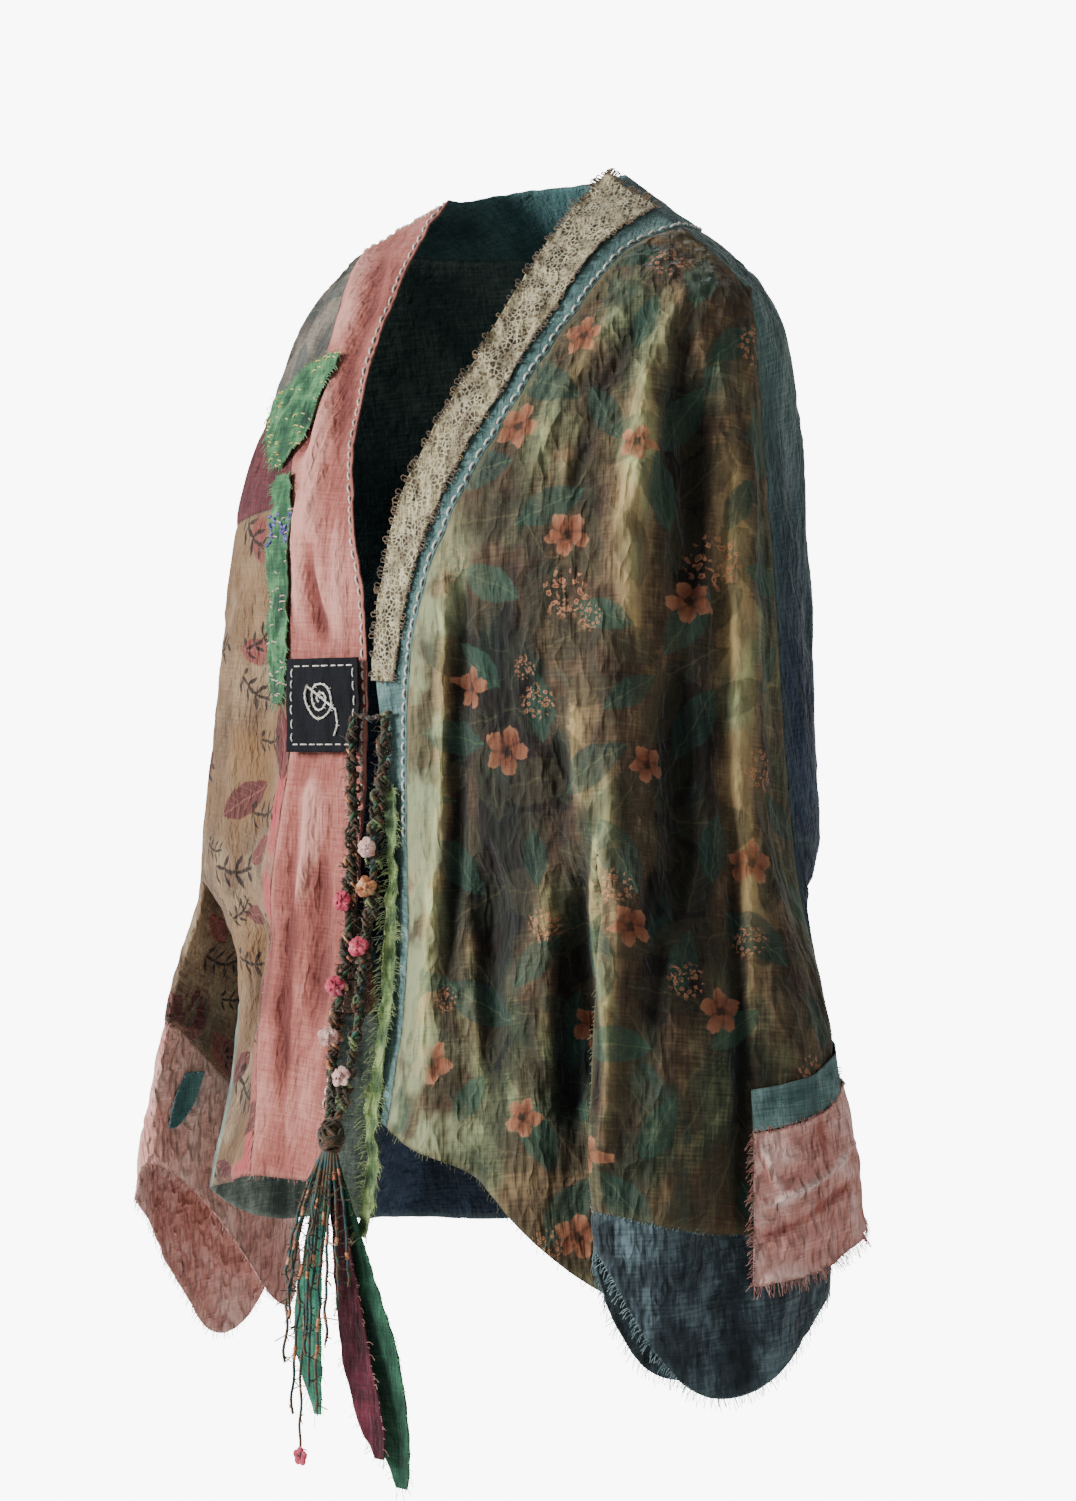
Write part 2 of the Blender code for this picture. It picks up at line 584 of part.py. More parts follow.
class Cloth:
    """The sewn surface: named points, quads and the piece that each quad belongs to."""

    def __init__(self):
        self.index = {}
        self.places = []
        self.folds = []
        self.quads = []
        self.pieces = []
        self.seams = {}
        self.corners = set()
        self.creases = set()
        self.ridge = set()

    def add(self, key, place, fold=(None, None, 0.0)):
        """Adds a point with the fold table, side of it and position across it."""
        if key not in self.index:
            self.index[key] = len(self.places)
            self.places.append(np.array(place, float))
            self.folds.append(fold)
        return self.index[key]

    def same(self, key, other):
        """Gives a point a second name."""
        self.index[key] = self.index[other]

    def place(self, key):
        """Where a point is."""
        return self.places[self.index[key]]

    def quad(self, piece, *keys):
        """Adds one quad to a piece, leaving out corners that are the same point."""
        corners = []
        for key in keys:
            if self.index[key] not in corners:
                corners.append(self.index[key])
        self.quads.append(corners)
        self.pieces.append(piece)

    def orient(self):
        """Turns all quads to face out of the garment."""
        mesh = bmesh.new()
        points = [mesh.verts.new(place) for place in self.places]
        mesh.verts.index_update()
        faces = [mesh.faces.new([points[i] for i in quad]) for quad in self.quads]
        bmesh.ops.recalc_face_normals(mesh, faces=faces)
        front = max(faces, key=lambda face: -face.calc_center_median().y)
        turned = front.normal.y > 0
        for at, (face, quad) in enumerate(zip(faces, self.quads)):
            corners = [vertex.index for vertex in face.verts]
            following = corners[(corners.index(quad[0]) + 1) % len(corners)]
            if (following != quad[1]) != turned:
                self.quads[at] = [quad[0]] + quad[:0:-1]
        mesh.free()

    def normals(self):
        """One outward direction for each point, shared by the pieces that meet there."""
        places = np.array(self.places)
        total = np.zeros_like(places)
        for quad in self.quads:
            corners = places[quad]
            diagonal = corners[2] - corners[0]
            other = corners[-1] - corners[1]
            total[quad] += np.cross(diagonal, other)
        for at, direction in self.seams.items():
            total[at] = direction
        length = np.linalg.norm(total, axis=1)
        length[length == 0.0] = 1.0
        return total / length[:, None]

    def apply_folds(self):
        """Moves each point out or in by the folds that pass it."""
        normals = self.normals()
        for at, (source, sides, across) in enumerate(self.folds):
            if source is not None:
                shift = fold_depth(source, across, self.places[at][2])
                self.places[at] = self.places[at] + normals[at] * shift * sides

    def own_normal(self, at, quads):
        """Outward direction of one point from some quads alone."""
        total = np.zeros(3)
        for quad in quads:
            if at in quad:
                corners = np.array([self.places[i] for i in quad])
                total += np.cross(corners[2] - corners[0], corners[-1] - corners[1])
        return total / np.linalg.norm(total)

    def piece(self, name):
        """Points and walls of one piece, drawn back by half a seam at each seam."""
        quads = [quad for quad, piece in zip(self.quads, self.pieces) if piece == name]
        used = sorted({at for quad in quads for at in quad})
        others = {at for quad, piece in zip(self.quads, self.pieces) if piece != name for at in quad}
        normals = self.normals()
        places = np.array(self.places)
        middles = {at: [] for at in used}
        for quad in quads:
            for at in quad:
                middles[at].append(places[quad].mean(axis=0))
        outer = {}
        for at in used:
            outer[at] = places[at]
            if at in others:
                draw = CREASE_DRAW if at in self.creases else SEAM_DRAW
                if (at, name) in self.corners:
                    draw = CORNER_DRAW
                    normals[at] = self.own_normal(at, quads)
                inward = np.mean(middles[at], axis=0) - places[at]
                inward -= normals[at] * inward.dot(normals[at])
                if at in self.ridge:
                    inward = np.array([0.0, inward[1], 0.0])
                outer[at] = places[at] + inward / np.linalg.norm(inward) * draw
        number = {at: i for i, at in enumerate(used)}
        top = [outer[at] for at in used]
        low = [outer[at] - normals[at] * WALL for at in used]
        return top, low, [[number[at] for at in quad] for quad in quads]


def fold_depth(source, across, z):
    """Depth of all folds of a table at one place."""
    share = (source["z_high"] - z) / (source["z_high"] - source["z_low"])
    centre = mix(source["across_high"], source["across_low"], np.clip(share, 0.0, 1.0))
    fade_in = smooth_step((source["z_high"] - z) / FOLD_FADE)
    fade_out = smooth_step((z - source["z_low"] + FOLD_FADE) / FOLD_FADE)
    shape = np.exp(-(((across - centre) / source["width"]) ** 2))
    return float(np.sum(source["depth"] * shape * fade_in * fade_out))


def triangles(quad):
    """The triangles of a quad, parted at its first corner, so that a layer laid on it follows."""
    return [[quad[0], quad[i], quad[i + 1]] for i in range(1, len(quad) - 1)]


def surface_tree(places, quads):
    """A surface to lay pieces on."""
    faces = [corners for quad in quads for corners in triangles(quad)]
    return BVHTree.FromPolygons([tuple(place) for place in places], faces)


def wall_object(name, top, low, quads, material):
    """One closed wall from its outer points, its inner points and its quads."""
    mesh = bmesh.new()
    upper = [mesh.verts.new(place) for place in top]
    under = [mesh.verts.new(place) for place in low]
    edges = set()
    for quad in quads:
        for corners in triangles(quad):
            mesh.faces.new([upper[i] for i in corners])
            mesh.faces.new([under[i] for i in reversed(corners)])
        for i, first in enumerate(quad):
            edges.add((first, quad[(i + 1) % len(quad)]))
    for first, second in edges:
        if (second, first) not in edges:
            mesh.faces.new([upper[second], upper[first], under[first], under[second]])
    return finish_mesh(name, mesh, material)


def finish_mesh(name, mesh, material):
    """Makes an object of a closed mesh."""
    data = bpy.data.meshes.new(name)
    mesh.to_mesh(data)
    mesh.free()
    data.materials.append(material)
    data.shade_smooth()
    result = bpy.data.objects.new(name, data)
    bpy.context.scene.collection.objects.link(result)
    return result


def cloth_material(name, colour, roughness=0.85):
    """A plain cloth colour."""
    material = bpy.data.materials.new(name)
    material.use_nodes = True
    shader = material.node_tree.nodes["Principled BSDF"]
    shader.inputs["Base Color"].default_value = (*colour, 1.0)
    shader.inputs["Roughness"].default_value = roughness
    shader.inputs["Metallic"].default_value = 0.0
    return material


PIECE_COLOURS = {
    "left_front": (0.075, 0.075, 0.038),
    "left_band": (0.060, 0.160, 0.190),
    "left_cuff": (0.060, 0.095, 0.120),
    "left_sleeve_back": (0.020, 0.030, 0.055),
    "back": (0.060, 0.110, 0.110),
    "neck_band": (0.030, 0.085, 0.085),
    "right_band": (0.460, 0.170, 0.140),
    "right_shoulder": (0.110, 0.095, 0.075),
    "right_burgundy": (0.150, 0.030, 0.035),
    "right_front": (0.330, 0.230, 0.130),
    "right_gore": (0.140, 0.150, 0.110),
    "right_sleeve_back": (0.055, 0.080, 0.085),
    "right_cuff": (0.480, 0.180, 0.150),
}
LAID_COLOURS = {
    "lace_strip": (0.440, 0.380, 0.260),
    "opening_ribbon": (0.380, 0.430, 0.160),
    "cuff_band": (0.060, 0.160, 0.190),
    "cuff_patch": (0.520, 0.200, 0.170),
    "green_leaf": (0.110, 0.300, 0.110),
    "green_strip": (0.120, 0.280, 0.120),
    "square_patch": (0.006, 0.008, 0.018),
    "cuff_gusset": (0.060, 0.160, 0.180),
    "spiral_cord": (0.680, 0.640, 0.520),
    "closure_loop": (0.120, 0.200, 0.180),
    "yarn_cord_left": (0.110, 0.120, 0.070),
    "yarn_cord_right": (0.070, 0.150, 0.120),
    "tassel": (0.110, 0.130, 0.080),
    "tail_green": (0.030, 0.190, 0.110),
    "tail_burgundy": (0.070, 0.006, 0.014),
    "tail_dark_green": (0.014, 0.070, 0.040),
}
ROSETTE_COLOURS = {
    "pink": (0.600, 0.080, 0.120),
    "orange": (0.600, 0.190, 0.060),
    "pale": (0.620, 0.440, 0.380),
}


def add_upper(cloth, side):
    """Adds the shell from the shoulder ridge down to where the sleeve parts from the body."""
    last_front = side.front_columns + side.sleeve_columns
    shares = np.concatenate([
        np.linspace(0.0, side.split_share, side.front_columns + 1),
        np.linspace(side.split_share, 1.0, side.sleeve_columns + 1)[1:],
    ])
    for row in range(UPPER_ROWS + 1):
        down = (row / UPPER_ROWS) ** ROW_CROWDING
        front = front_row(side, down, shares)
        for column, place in enumerate(front):
            if column <= side.front_columns:
                across = column / side.front_columns
            else:
                across = 1.0 + (column - side.front_columns) / side.sleeve_columns
            cloth.add((side.name, "front", row, column), place, (side.folds, 1.0, across))
        for step, place in enumerate(band_row(side, front[0])):
            fold = (FOLDS_BAND, 1.0, step / side.band_columns) if side is RIGHT else (None, None, 0.0)
            cloth.add((side.name, "front", row, step - side.band_columns), place, fold)
        back = back_row(side, down)
        for column, place in enumerate(back):
            key = (side.name, "back", row, column)
            if column == 0:
                cloth.same(key, (side.name, "front", row, last_front))
            elif row == 0 and column == RIDGE_COLUMNS:
                cloth.same(key, (side.name, "front", 0, 0))
            elif column == BACK_COLUMNS:
                centre = ("centre", row)
                cloth.add(centre, place, (FOLDS_BACK, 1.0, 1.0))
                cloth.same(key, centre)
            else:
                cloth.add(key, place, (FOLDS_BACK, 1.0, column / BACK_COLUMNS))
    ridge_run = np.array(side.ridge_end) - np.array(side.ridge_start)
    ridge_up = np.array([-ridge_run[1] * side.sign, 0.0, ridge_run[0]])
    ridge = {cloth.index[side.name, "front", 0, column] for column in range(last_front + 1)}
    ridge |= {cloth.index[side.name, "back", 0, column] for column in range(1, RIDGE_COLUMNS)}
    cloth.ridge |= ridge
    cloth.seams.update({at: ridge_up for at in ridge})
    edge = cloth.place((side.name, "front", 0, -side.band_columns))
    band_run = np.array([abs(edge[0]), edge[2]]) - np.array(side.ridge_start)
    band_up = np.array([band_run[1] * side.sign, 0.0, -band_run[0]])
    for column in range(-side.band_columns, 0):
        cloth.seams[cloth.index[side.name, "front", 0, column]] = band_up
    split = cloth.index[side.name, "front", UPPER_ROWS, side.front_columns]
    rear = cloth.index[side.name, "back", UPPER_ROWS, side.rear_split_column]
    cloth.creases.add(rear)
    cloth.corners |= {(split, "back"), (split, side.name + "_sleeve_back")}


def front_piece(side, row, column):
    """Name of the piece that an upper front quad belongs to."""
    if column < 0:
        return side.name + "_band"
    if side is LEFT:
        return "left_front"
    if row < RIGHT_SHOULDER_ROWS:
        return "right_shoulder"
    return "right_burgundy" if row < RIGHT_BURGUNDY_ROWS else "right_front"


def add_upper_quads(cloth, side):
    """Joins the upper points."""
    last_front = side.front_columns + side.sleeve_columns
    for row in range(UPPER_ROWS):
        for column in range(-side.band_columns, last_front):
            keys = [(side.name, "front", row + i, column + j) for i, j in QUAD_STEPS]
            cloth.quad(front_piece(side, row, column), *keys)
        for column in range(BACK_COLUMNS):
            keys = [(side.name, "back", row + i, column + j) for i, j in QUAD_STEPS]
            cloth.quad("back", *keys)


def add_neck_band(cloth, side):
    """Adds half of the band that stands round the back of the neck."""
    inner_x, _, inner_z = free_edge_point(side, side.ridge_start[1])
    steps = side.band_columns
    for column in range(RIDGE_COLUMNS, BACK_COLUMNS + 1):
        share = (column - RIDGE_COLUMNS) / (BACK_COLUMNS - RIDGE_COLUMNS)
        seam = cloth.place((side.name, "back", 0, column))
        angle = math.radians(90.0 * share)
        inner_y = (seam_depth() - BACK_BAND_REACH) * math.sin(angle) ** NECK_ROUND
        rise = mix(inner_z, BACK_NECK_Z + BACK_BAND_RISE, smooth_step(share * NECK_RISE))
        inner = np.array([inner_x * math.cos(angle) ** NECK_ROUND, inner_y, rise])
        for step in range(NECK_STEPS + 1):
            key = (side.name, "neck", step, column)
            if step == 0:
                cloth.same(key, (side.name, "back", 0, column))
            elif column == BACK_COLUMNS:
                centre = ("centre neck", step)
                cloth.add(centre, mix(seam, inner, step / NECK_STEPS))
                cloth.same(key, centre)
            elif column == RIDGE_COLUMNS:
                band_column = -round(steps * step / NECK_STEPS)
                cloth.same(key, (side.name, "front", 0, band_column))
            else:
                cloth.add(key, mix(seam, inner, step / NECK_STEPS))
    for column in range(RIDGE_COLUMNS, BACK_COLUMNS):
        for step in range(NECK_STEPS):
            keys = [(side.name, "neck", step + i, column + j) for i, j in QUAD_STEPS]
            cloth.quad("neck_band", *keys)


def seam_depth():
    """Depth of the back neck seam behind the origin."""
    return float(read(SECTIONS, "back", BACK_NECK_Z))


def add_underarm(cloth, side):
    """Adds the fold under the arm, from the front split round to the rear split."""
    first = cloth.place((side.name, "front", UPPER_ROWS, side.front_columns))
    last = cloth.place((side.name, "back", UPPER_ROWS, side.rear_split_column))
    x, y, z = side.fold_middle
    middle = np.array([x * side.sign, y, z])
    for step in range(FOLD_COLUMNS + 1):
        share = step / FOLD_COLUMNS
        key = (side.name, "underarm", step)
        if step == 0:
            cloth.same(key, (side.name, "front", UPPER_ROWS, side.front_columns))
        elif step == FOLD_COLUMNS:
            cloth.same(key, (side.name, "back", UPPER_ROWS, side.rear_split_column))
        else:
            place = first * (1 - share) ** 2 + middle * 2 * share * (1 - share) + last * share**2
            at = cloth.add(key, place)
            cloth.seams[at] = np.array([0.0, 0.0, -1.0])
            cloth.creases.add(at)


def body_ring(side):
    """Keys of the ring where the body starts below the sleeves, and each one's angle below."""
    keys = []
    angles = []
    for column in range(side.front_columns + 1):
        keys.append((side.name, "front", UPPER_ROWS, column))
        angles.append(None)
    for step in range(1, FOLD_COLUMNS):
        keys.append((side.name, "underarm", step))
        angles.append(mix(side.split_angle, side.rear_split_angle, step / FOLD_COLUMNS))
    for column in range(side.rear_split_column, BACK_COLUMNS + 1):
        keys.append((side.name, "back", UPPER_ROWS, column))
        share = (column - side.rear_split_column) / (BACK_COLUMNS - side.rear_split_column)
        angles.append(mix(side.rear_split_angle, -90.0, share))
    return keys, angles


def hem_z(side, angle):
    """Height of the hem at an angle round the body."""
    return float(smooth(side.hem["angle"].astype(float), side.hem["z"], angle))


def body_place(side, share, angle, column_z):
    """Point of the body below the split, by angle or by share of the front."""
    if angle is None:
        seam_angle = angle_at(side, read(side.seam, "x", column_z), column_z, body=True)
        angle = mix(float(seam_angle), side.split_angle, share)
    return section_point(side, float(angle), column_z, body=True)


def front_angle(side, share):
    """Angle of a front column at the hem."""
    z = side.hem["z"][-1]
    seam_angle = float(angle_at(side, read(side.seam, "x", z), z, body=True))
    return mix(seam_angle, side.split_angle, share)


def add_body(cloth, side):
    """Adds the body below the sleeves, from the opening edge to the centre back."""
    keys, angles = body_ring(side)
    for at, (key, angle) in enumerate(zip(keys, angles)):
        start = cloth.place(key)
        share = at / side.front_columns
        end_z = hem_z(side, front_angle(side, share) if angle is None else angle)
        fold = cloth.folds[cloth.index[key]]
        if key[1] == "underarm":
            fold = (None, None, 0.0)
        for row in range(BODY_ROWS + 1):
            name = (side.name, "body", row, at)
            if row == 0:
                cloth.same(name, key)
                continue
            down = row / BODY_ROWS
            z = mix(start[2], end_z, down)
            target = body_place(side, share, angle, z)
            place = mix(start, target, quick_start((start[2] - z) / BODY_BLEND))
            place[2] = z
            if at == len(keys) - 1:
                centre = ("centre body", row)
                cloth.add(centre, place, fold)
                cloth.same(name, centre)
            else:
                cloth.add(name, place, fold)
    for row in range(BODY_ROWS + 1):
        seam_point = cloth.place((side.name, "body", row, 0))
        for step, place in enumerate(band_row(side, seam_point)):
            name = (side.name, "body", row, step - side.band_columns)
            if row == 0:
                cloth.same(name, (side.name, "front", UPPER_ROWS, step - side.band_columns))
                continue
            fold = (FOLDS_BAND, 1.0, step / side.band_columns) if side is RIGHT else (None, None, 0.0)
            cloth.add(name, place, fold)
    return len(keys) - 1


def body_piece(side, row, column):
    """Name of the piece that a body quad belongs to."""
    if column < 0:
        return side.name + "_band"
    if side is LEFT:
        return "left_front" if column < side.front_columns else "back"
    if column >= side.front_columns + FOLD_COLUMNS:
        return "back"
    if row >= GORE_FIRST_ROW and column >= side.front_columns - GORE_FRONT_COLUMNS:
        return "right_gore"
    return "right_front"


def add_body_quads(cloth, side, last):
    """Joins the body's points."""
    for row in range(BODY_ROWS):
        for column in range(-side.band_columns, last):
            keys = [(side.name, "body", row + i, column + j) for i, j in QUAD_STEPS]
            cloth.quad(body_piece(side, row, column), *keys)


def sleeve_ring(side):
    """Keys of the ring where the sleeve starts, each one's turn below and its fold position."""
    keys = []
    turns = []
    across = []
    for column in range(side.sleeve_columns + 1):
        keys.append((side.name, "front", UPPER_ROWS, side.front_columns + column))
        turns.append(side.seam_turn * column / side.sleeve_columns)
        across.append(1.0 + column / side.sleeve_columns)
    for column in range(1, side.rear_split_column + 1):
        keys.append((side.name, "back", UPPER_ROWS, column))
        turns.append(mix(side.seam_turn, side.rear_turn, column / side.rear_split_column))
        across.append(2.0 + 0.2 * column / side.rear_split_column)
    for step in range(FOLD_COLUMNS - 1, 0, -1):
        keys.append((side.name, "underarm", step))
        share = 1.0 - step / FOLD_COLUMNS
        turns.append(mix(side.rear_turn, 360.0, share))
        across.append(mix(2.2, 3.0, share))
    return keys, turns, across


def add_sleeve(cloth, side):
    """Adds the hanging sleeve, a flat tube open at its end."""
    keys, turns, across = sleeve_ring(side)
    main_rows = SLEEVE_ROWS - side.cuff_rows
    for at, (key, turn) in enumerate(zip(keys, turns)):
        start = cloth.place(key)
        seam_z = cuff_seam_z(side, turn)
        end_z = min(sleeve_end_z(side, turn), seam_z - LEAST_CUFF)
        for row in range(SLEEVE_ROWS + 1):
            name = (side.name, "sleeve", row, at)
            if row == 0:
                cloth.same(name, key)
                continue
            if row <= main_rows:
                z = mix(start[2], seam_z, row / main_rows)
            else:
                z = mix(seam_z, end_z, (row - main_rows) / side.cuff_rows)
            place = mix(start, sleeve_point(side, turn, z), quick_start((start[2] - z) / SLEEVE_BLEND))
            place[2] = z
            cloth.add(name, place, (side.folds, 1.0, across[at]))
    return len(keys)


def sleeve_piece(side, row, column):
    """Name of the piece that a sleeve quad belongs to."""
    if row >= SLEEVE_ROWS - side.cuff_rows:
        return side.name + "_cuff"
    if column < side.sleeve_columns:
        return side.name + "_front"
    if side is RIGHT and column >= side.sleeve_columns + side.rear_split_column:
        return "right_front"
    return side.name + "_sleeve_back"


def add_sleeve_quads(cloth, side, count):
    """Joins the sleeve's points all round."""
    for row in range(SLEEVE_ROWS):
        for column in range(count):
            nexts = (column + 1) % count
            ring = ((0, column), (0, nexts), (1, nexts), (1, column))
            keys = [(side.name, "sleeve", row + i, j) for i, j in ring]
            cloth.quad(sleeve_piece(side, row, column), *keys)


def sewn_cloth():
    """The whole sewn surface."""
    cloth = Cloth()
    for side in (LEFT, RIGHT):
        add_upper(cloth, side)
        add_upper_quads(cloth, side)
        add_neck_band(cloth, side)
        add_underarm(cloth, side)
        last = add_body(cloth, side)
        add_body_quads(cloth, side, last)
        count = add_sleeve(cloth, side)
        add_sleeve_quads(cloth, side, count)
    cloth.orient()
    cloth.apply_folds()
    return cloth


def lifted(places, normals, lift):
    """Outer and inner points of a wall laid on the cloth."""
    outer = [place + normal * (lift + WALL) for place, normal in zip(places, normals)]
    inner = [place + normal * lift for place, normal in zip(places, normals)]
    return outer, inner


def grid_quads(rows, columns):
    """Quads of a grid of points, stored row by row."""
    wide = columns + 1
    firsts = [row * wide + column for row in range(rows) for column in range(columns)]
    return [[first, first + 1, first + wide + 1, first + wide] for first in firsts]


def grid_normals(places, rows, columns, outward):
    """Directions off a grid of points, on the side of outward."""
    grid = np.array(places).reshape(rows + 1, columns + 1, 3)
    normals = np.cross(np.gradient(grid, axis=1), np.gradient(grid, axis=0))
    normals /= np.linalg.norm(normals, axis=2)[:, :, None]
    if np.sum(normals.reshape(-1, 3) @ outward) < 0:
        normals = -normals
    return list(normals.reshape(-1, 3))


def sheet_object(name, top, low, rows, columns, material):
    """A wall over a grid, with its faces outwards."""
    result = wall_object(name, top, low, grid_quads(rows, columns), material)
    mesh = bmesh.new()
    mesh.from_mesh(result.data)
    bmesh.ops.recalc_face_normals(mesh, faces=mesh.faces)
    mesh.to_mesh(result.data)
    mesh.free()
    return result


def band_strip(cloth, rows):
    """Places and directions along the left band's free side, for some of its rows."""
    normals = cloth.normals()
    columns = range(-LEFT.band_columns, STRIP_COLUMNS + 1 - LEFT.band_columns)
    points = [cloth.index["left", stretch, row, column] for stretch, row in rows for column in columns]
    return [cloth.places[at] for at in points], [normals[at] for at in points]


def add_lace(cloth):
    """The lace strip along the left band's free edge, from the neck to its folded tip."""
    rows = [("front", row) for row in range(LACE_LAST_ROW + 1)]
    top, low = lifted(*band_strip(cloth, rows), OVERLAY_GAP)
    material = cloth_material("lace_strip", LAID_COLOURS["lace_strip"])
    return sheet_object("lace_strip", top, low, len(rows) - 1, STRIP_COLUMNS, material)


def add_ribbon(cloth):
    """The frayed ribbon down the left opening edge, with its free tail below the hem."""
    rows = [("front", row) for row in range(RIBBON_FIRST_ROW, UPPER_ROWS)]
    rows += [("body", row) for row in range(BODY_ROWS + 1)]
    top, low = lifted(*band_strip(cloth, rows), OVERLAY_GAP)
    ends = (top[-STRIP_COLUMNS - 1 :], low[-STRIP_COLUMNS - 1 :])
    for share in np.arange(1, RIBBON_TAIL_STEPS + 1) / RIBBON_TAIL_STEPS:
        sway = RIBBON_TAIL_SWAY * math.sin(4.0 * share)
        drop = np.array([sway, -RIBBON_TAIL_SWAY * share, -RIBBON_TAIL_DROP * share])
        for points, end in zip((top, low), ends):
            points.extend([place + drop for place in end])
    material = cloth_material("opening_ribbon", LAID_COLOURS["opening_ribbon"])
    steps = len(rows) - 1 + RIBBON_TAIL_STEPS
    return sheet_object("opening_ribbon", top, low, steps, STRIP_COLUMNS, material)


def column_places(cloth, normals, column, heights):
    """Places and normals down one column of the left sleeve at some heights."""
    keys = [("left", "sleeve", row, column) for row in range(SLEEVE_ROWS + 1)]
    places = np.array([cloth.place(key) for key in keys])[::-1]
    ways = np.array([normals[cloth.index[key]] for key in keys])[::-1]
    found = np.array([np.interp(heights, places[:, 2], places[:, i]) for i in range(3)]).T
    turned = np.array([np.interp(heights, places[:, 2], ways[:, i]) for i in range(3)]).T
    return found, turned / np.linalg.norm(turned, axis=1)[:, None]


def add_cuff_layers(cloth):
    """The teal band and the frayed pink patch laid over the left sleeve's rear."""
    normals = cloth.normals()
    layers = (
        ("cuff_band", "band", CUFF_BAND_ROWS, 0.0),
        ("cuff_patch", "patch", CUFF_PATCH_ROWS, CUFF_PATCH_FLARE),
    )
    for name, line, rows, flare in layers:
        top = []
        low = []
        for step in range(CUFF_COLUMNS + 1):
            share = step / CUFF_COLUMNS
            high = read(CUFF_LINES, line + "_top", share, by="share")
            end = read(CUFF_LINES, line + "_low", share, by="share")
            down = np.linspace(0.0, 1.0, rows + 1)
            places, ways = column_places(cloth, normals, CUFF_FIRST_COLUMN + step, mix(high, end, down))
            out = flare * read(CUFF_LINES, "flare", share, by="share") * down**CUFF_FLARE_POWER
            for place, way, stand in zip(places, ways, out):
                top.append(place + way * (OVERLAY_GAP + stand + WALL))
                low.append(place + way * (OVERLAY_GAP + stand))
        sheet_object(name, top, low, CUFF_COLUMNS, rows, cloth_material(name, LAID_COLOURS[name]))


def cast_grid(tree, source, azimuth, rows, columns):
    """Grid of places on the cloth below a table of rows, seen from an azimuth."""
    turn = math.radians(azimuth)
    across = np.array([math.cos(turn), math.sin(turn), 0.0])
    ahead = np.array([-math.sin(turn), math.cos(turn), 0.0])
    order = slice(None, None, -1)
    places = []
    for z in np.linspace(source["z"][0], source["z"][-1], rows + 1):
        left = np.interp(z, source["z"][order], source["left"][order])
        right = np.interp(z, source["z"][order], source["right"][order])
        for u in np.linspace(left, right, columns + 1):
            start = across * u - ahead + np.array([0.0, 0.0, z])
            found = tree.ray_cast(Vector(start), Vector(ahead))[0]
            places.append(np.array(found))
    return places, grid_normals(places, rows, columns, -ahead)


def add_patches(cloth):
    """The leaf, the strip, the square patch with its spiral, and the right cuff's gusset."""
    tree = surface_tree(cloth.places, cloth.quads)
    patches = (
        ("green_leaf", LEAF_ROWS, -25.0, 9, 5),
        ("green_strip", STRIP_ROWS, 0.0, 10, 3),
        ("square_patch", SQUARE_ROWS, 0.0, 6, 6),
        ("cuff_gusset", GUSSET_ROWS, 42.0, 4, 2),
    )
    for name, source, azimuth, rows, columns in patches:
        places, normals = cast_grid(tree, source, azimuth, rows, columns)
        top, low = lifted(places, normals, OVERLAY_GAP)
        sheet_object(name, top, low, rows, columns, cloth_material(name, LAID_COLOURS[name]))
        if name == "square_patch":
            add_spiral(top, rows, columns)


def spiral_route():
    """Sideways and upward places of the couched cord, from the spiral's middle to its tail's end."""
    turns = np.linspace(SPIRAL_START_TURN, SPIRAL_TURNS, SPIRAL_POINTS)
    radius = SPIRAL_RADIUS * turns / SPIRAL_TURNS
    angle = 2.0 * math.pi * turns
    x = SPIRAL_CENTRE[0] + radius * np.cos(angle)
    z = SPIRAL_CENTRE[1] - radius * np.sin(angle)
    return list(zip(x, z)) + list(SPIRAL_TAIL)


def add_spiral(top, rows, columns):
    """The cord couched on the square patch."""
    tree = surface_tree(top, grid_quads(rows, columns))
    stand = SPIRAL_THICKNESS / 2 + OVERLAY_GAP
    route = []
    for x, z in spiral_route():
        found = tree.ray_cast(Vector((x, -1.0, z)), Vector((0.0, 1.0, 0.0)))[0]
        route.append((x, found[1] - stand, z))
    cord_object("spiral_cord", route, SPIRAL_THICKNESS, len(route))


def cord_object(name, route, thickness, count):
    """A round cord along a smooth curve through a route's points."""
    points = np.array(route)
    steps = np.concatenate([[0.0], np.cumsum(np.linalg.norm(np.diff(points, axis=0), axis=1))])
    at = np.linspace(0.0, steps[-1], count)
    places = [spline_point(steps, points, distance) for distance in at]
    data = bpy.data.curves.new(name, "CURVE")
    data.dimensions = "3D"
    data.bevel_depth = thickness / 2
    data.bevel_resolution = 2
    data.use_fill_caps = True
    spline = data.splines.new("POLY")
    spline.points.add(len(places) - 1)
    for point, place in zip(spline.points, places):
        point.co = (*place, 1.0)
    data.materials.append(cloth_material(name, LAID_COLOURS[name]))
    result = bpy.data.objects.new(name, data)
    bpy.context.scene.collection.objects.link(result)
    return result


def spline_point(steps, points, distance):
    """Point of the smooth curve through a route, by distance along it."""
    at = int(np.clip(np.searchsorted(steps, distance, side="right") - 1, 0, len(points) - 2))
    share = (distance - steps[at]) / (steps[at + 1] - steps[at])
    before = points[max(at - 1, 0)]
    first = points[at]
    second = points[at + 1]
    after = points[min(at + 2, len(points) - 1)]
    return 0.5 * (
        2 * first
        + (second - before) * share
        + (2 * before - 5 * first + 4 * second - after) * share**2
        + (3 * first - before - 3 * second + after) * share**3
    )


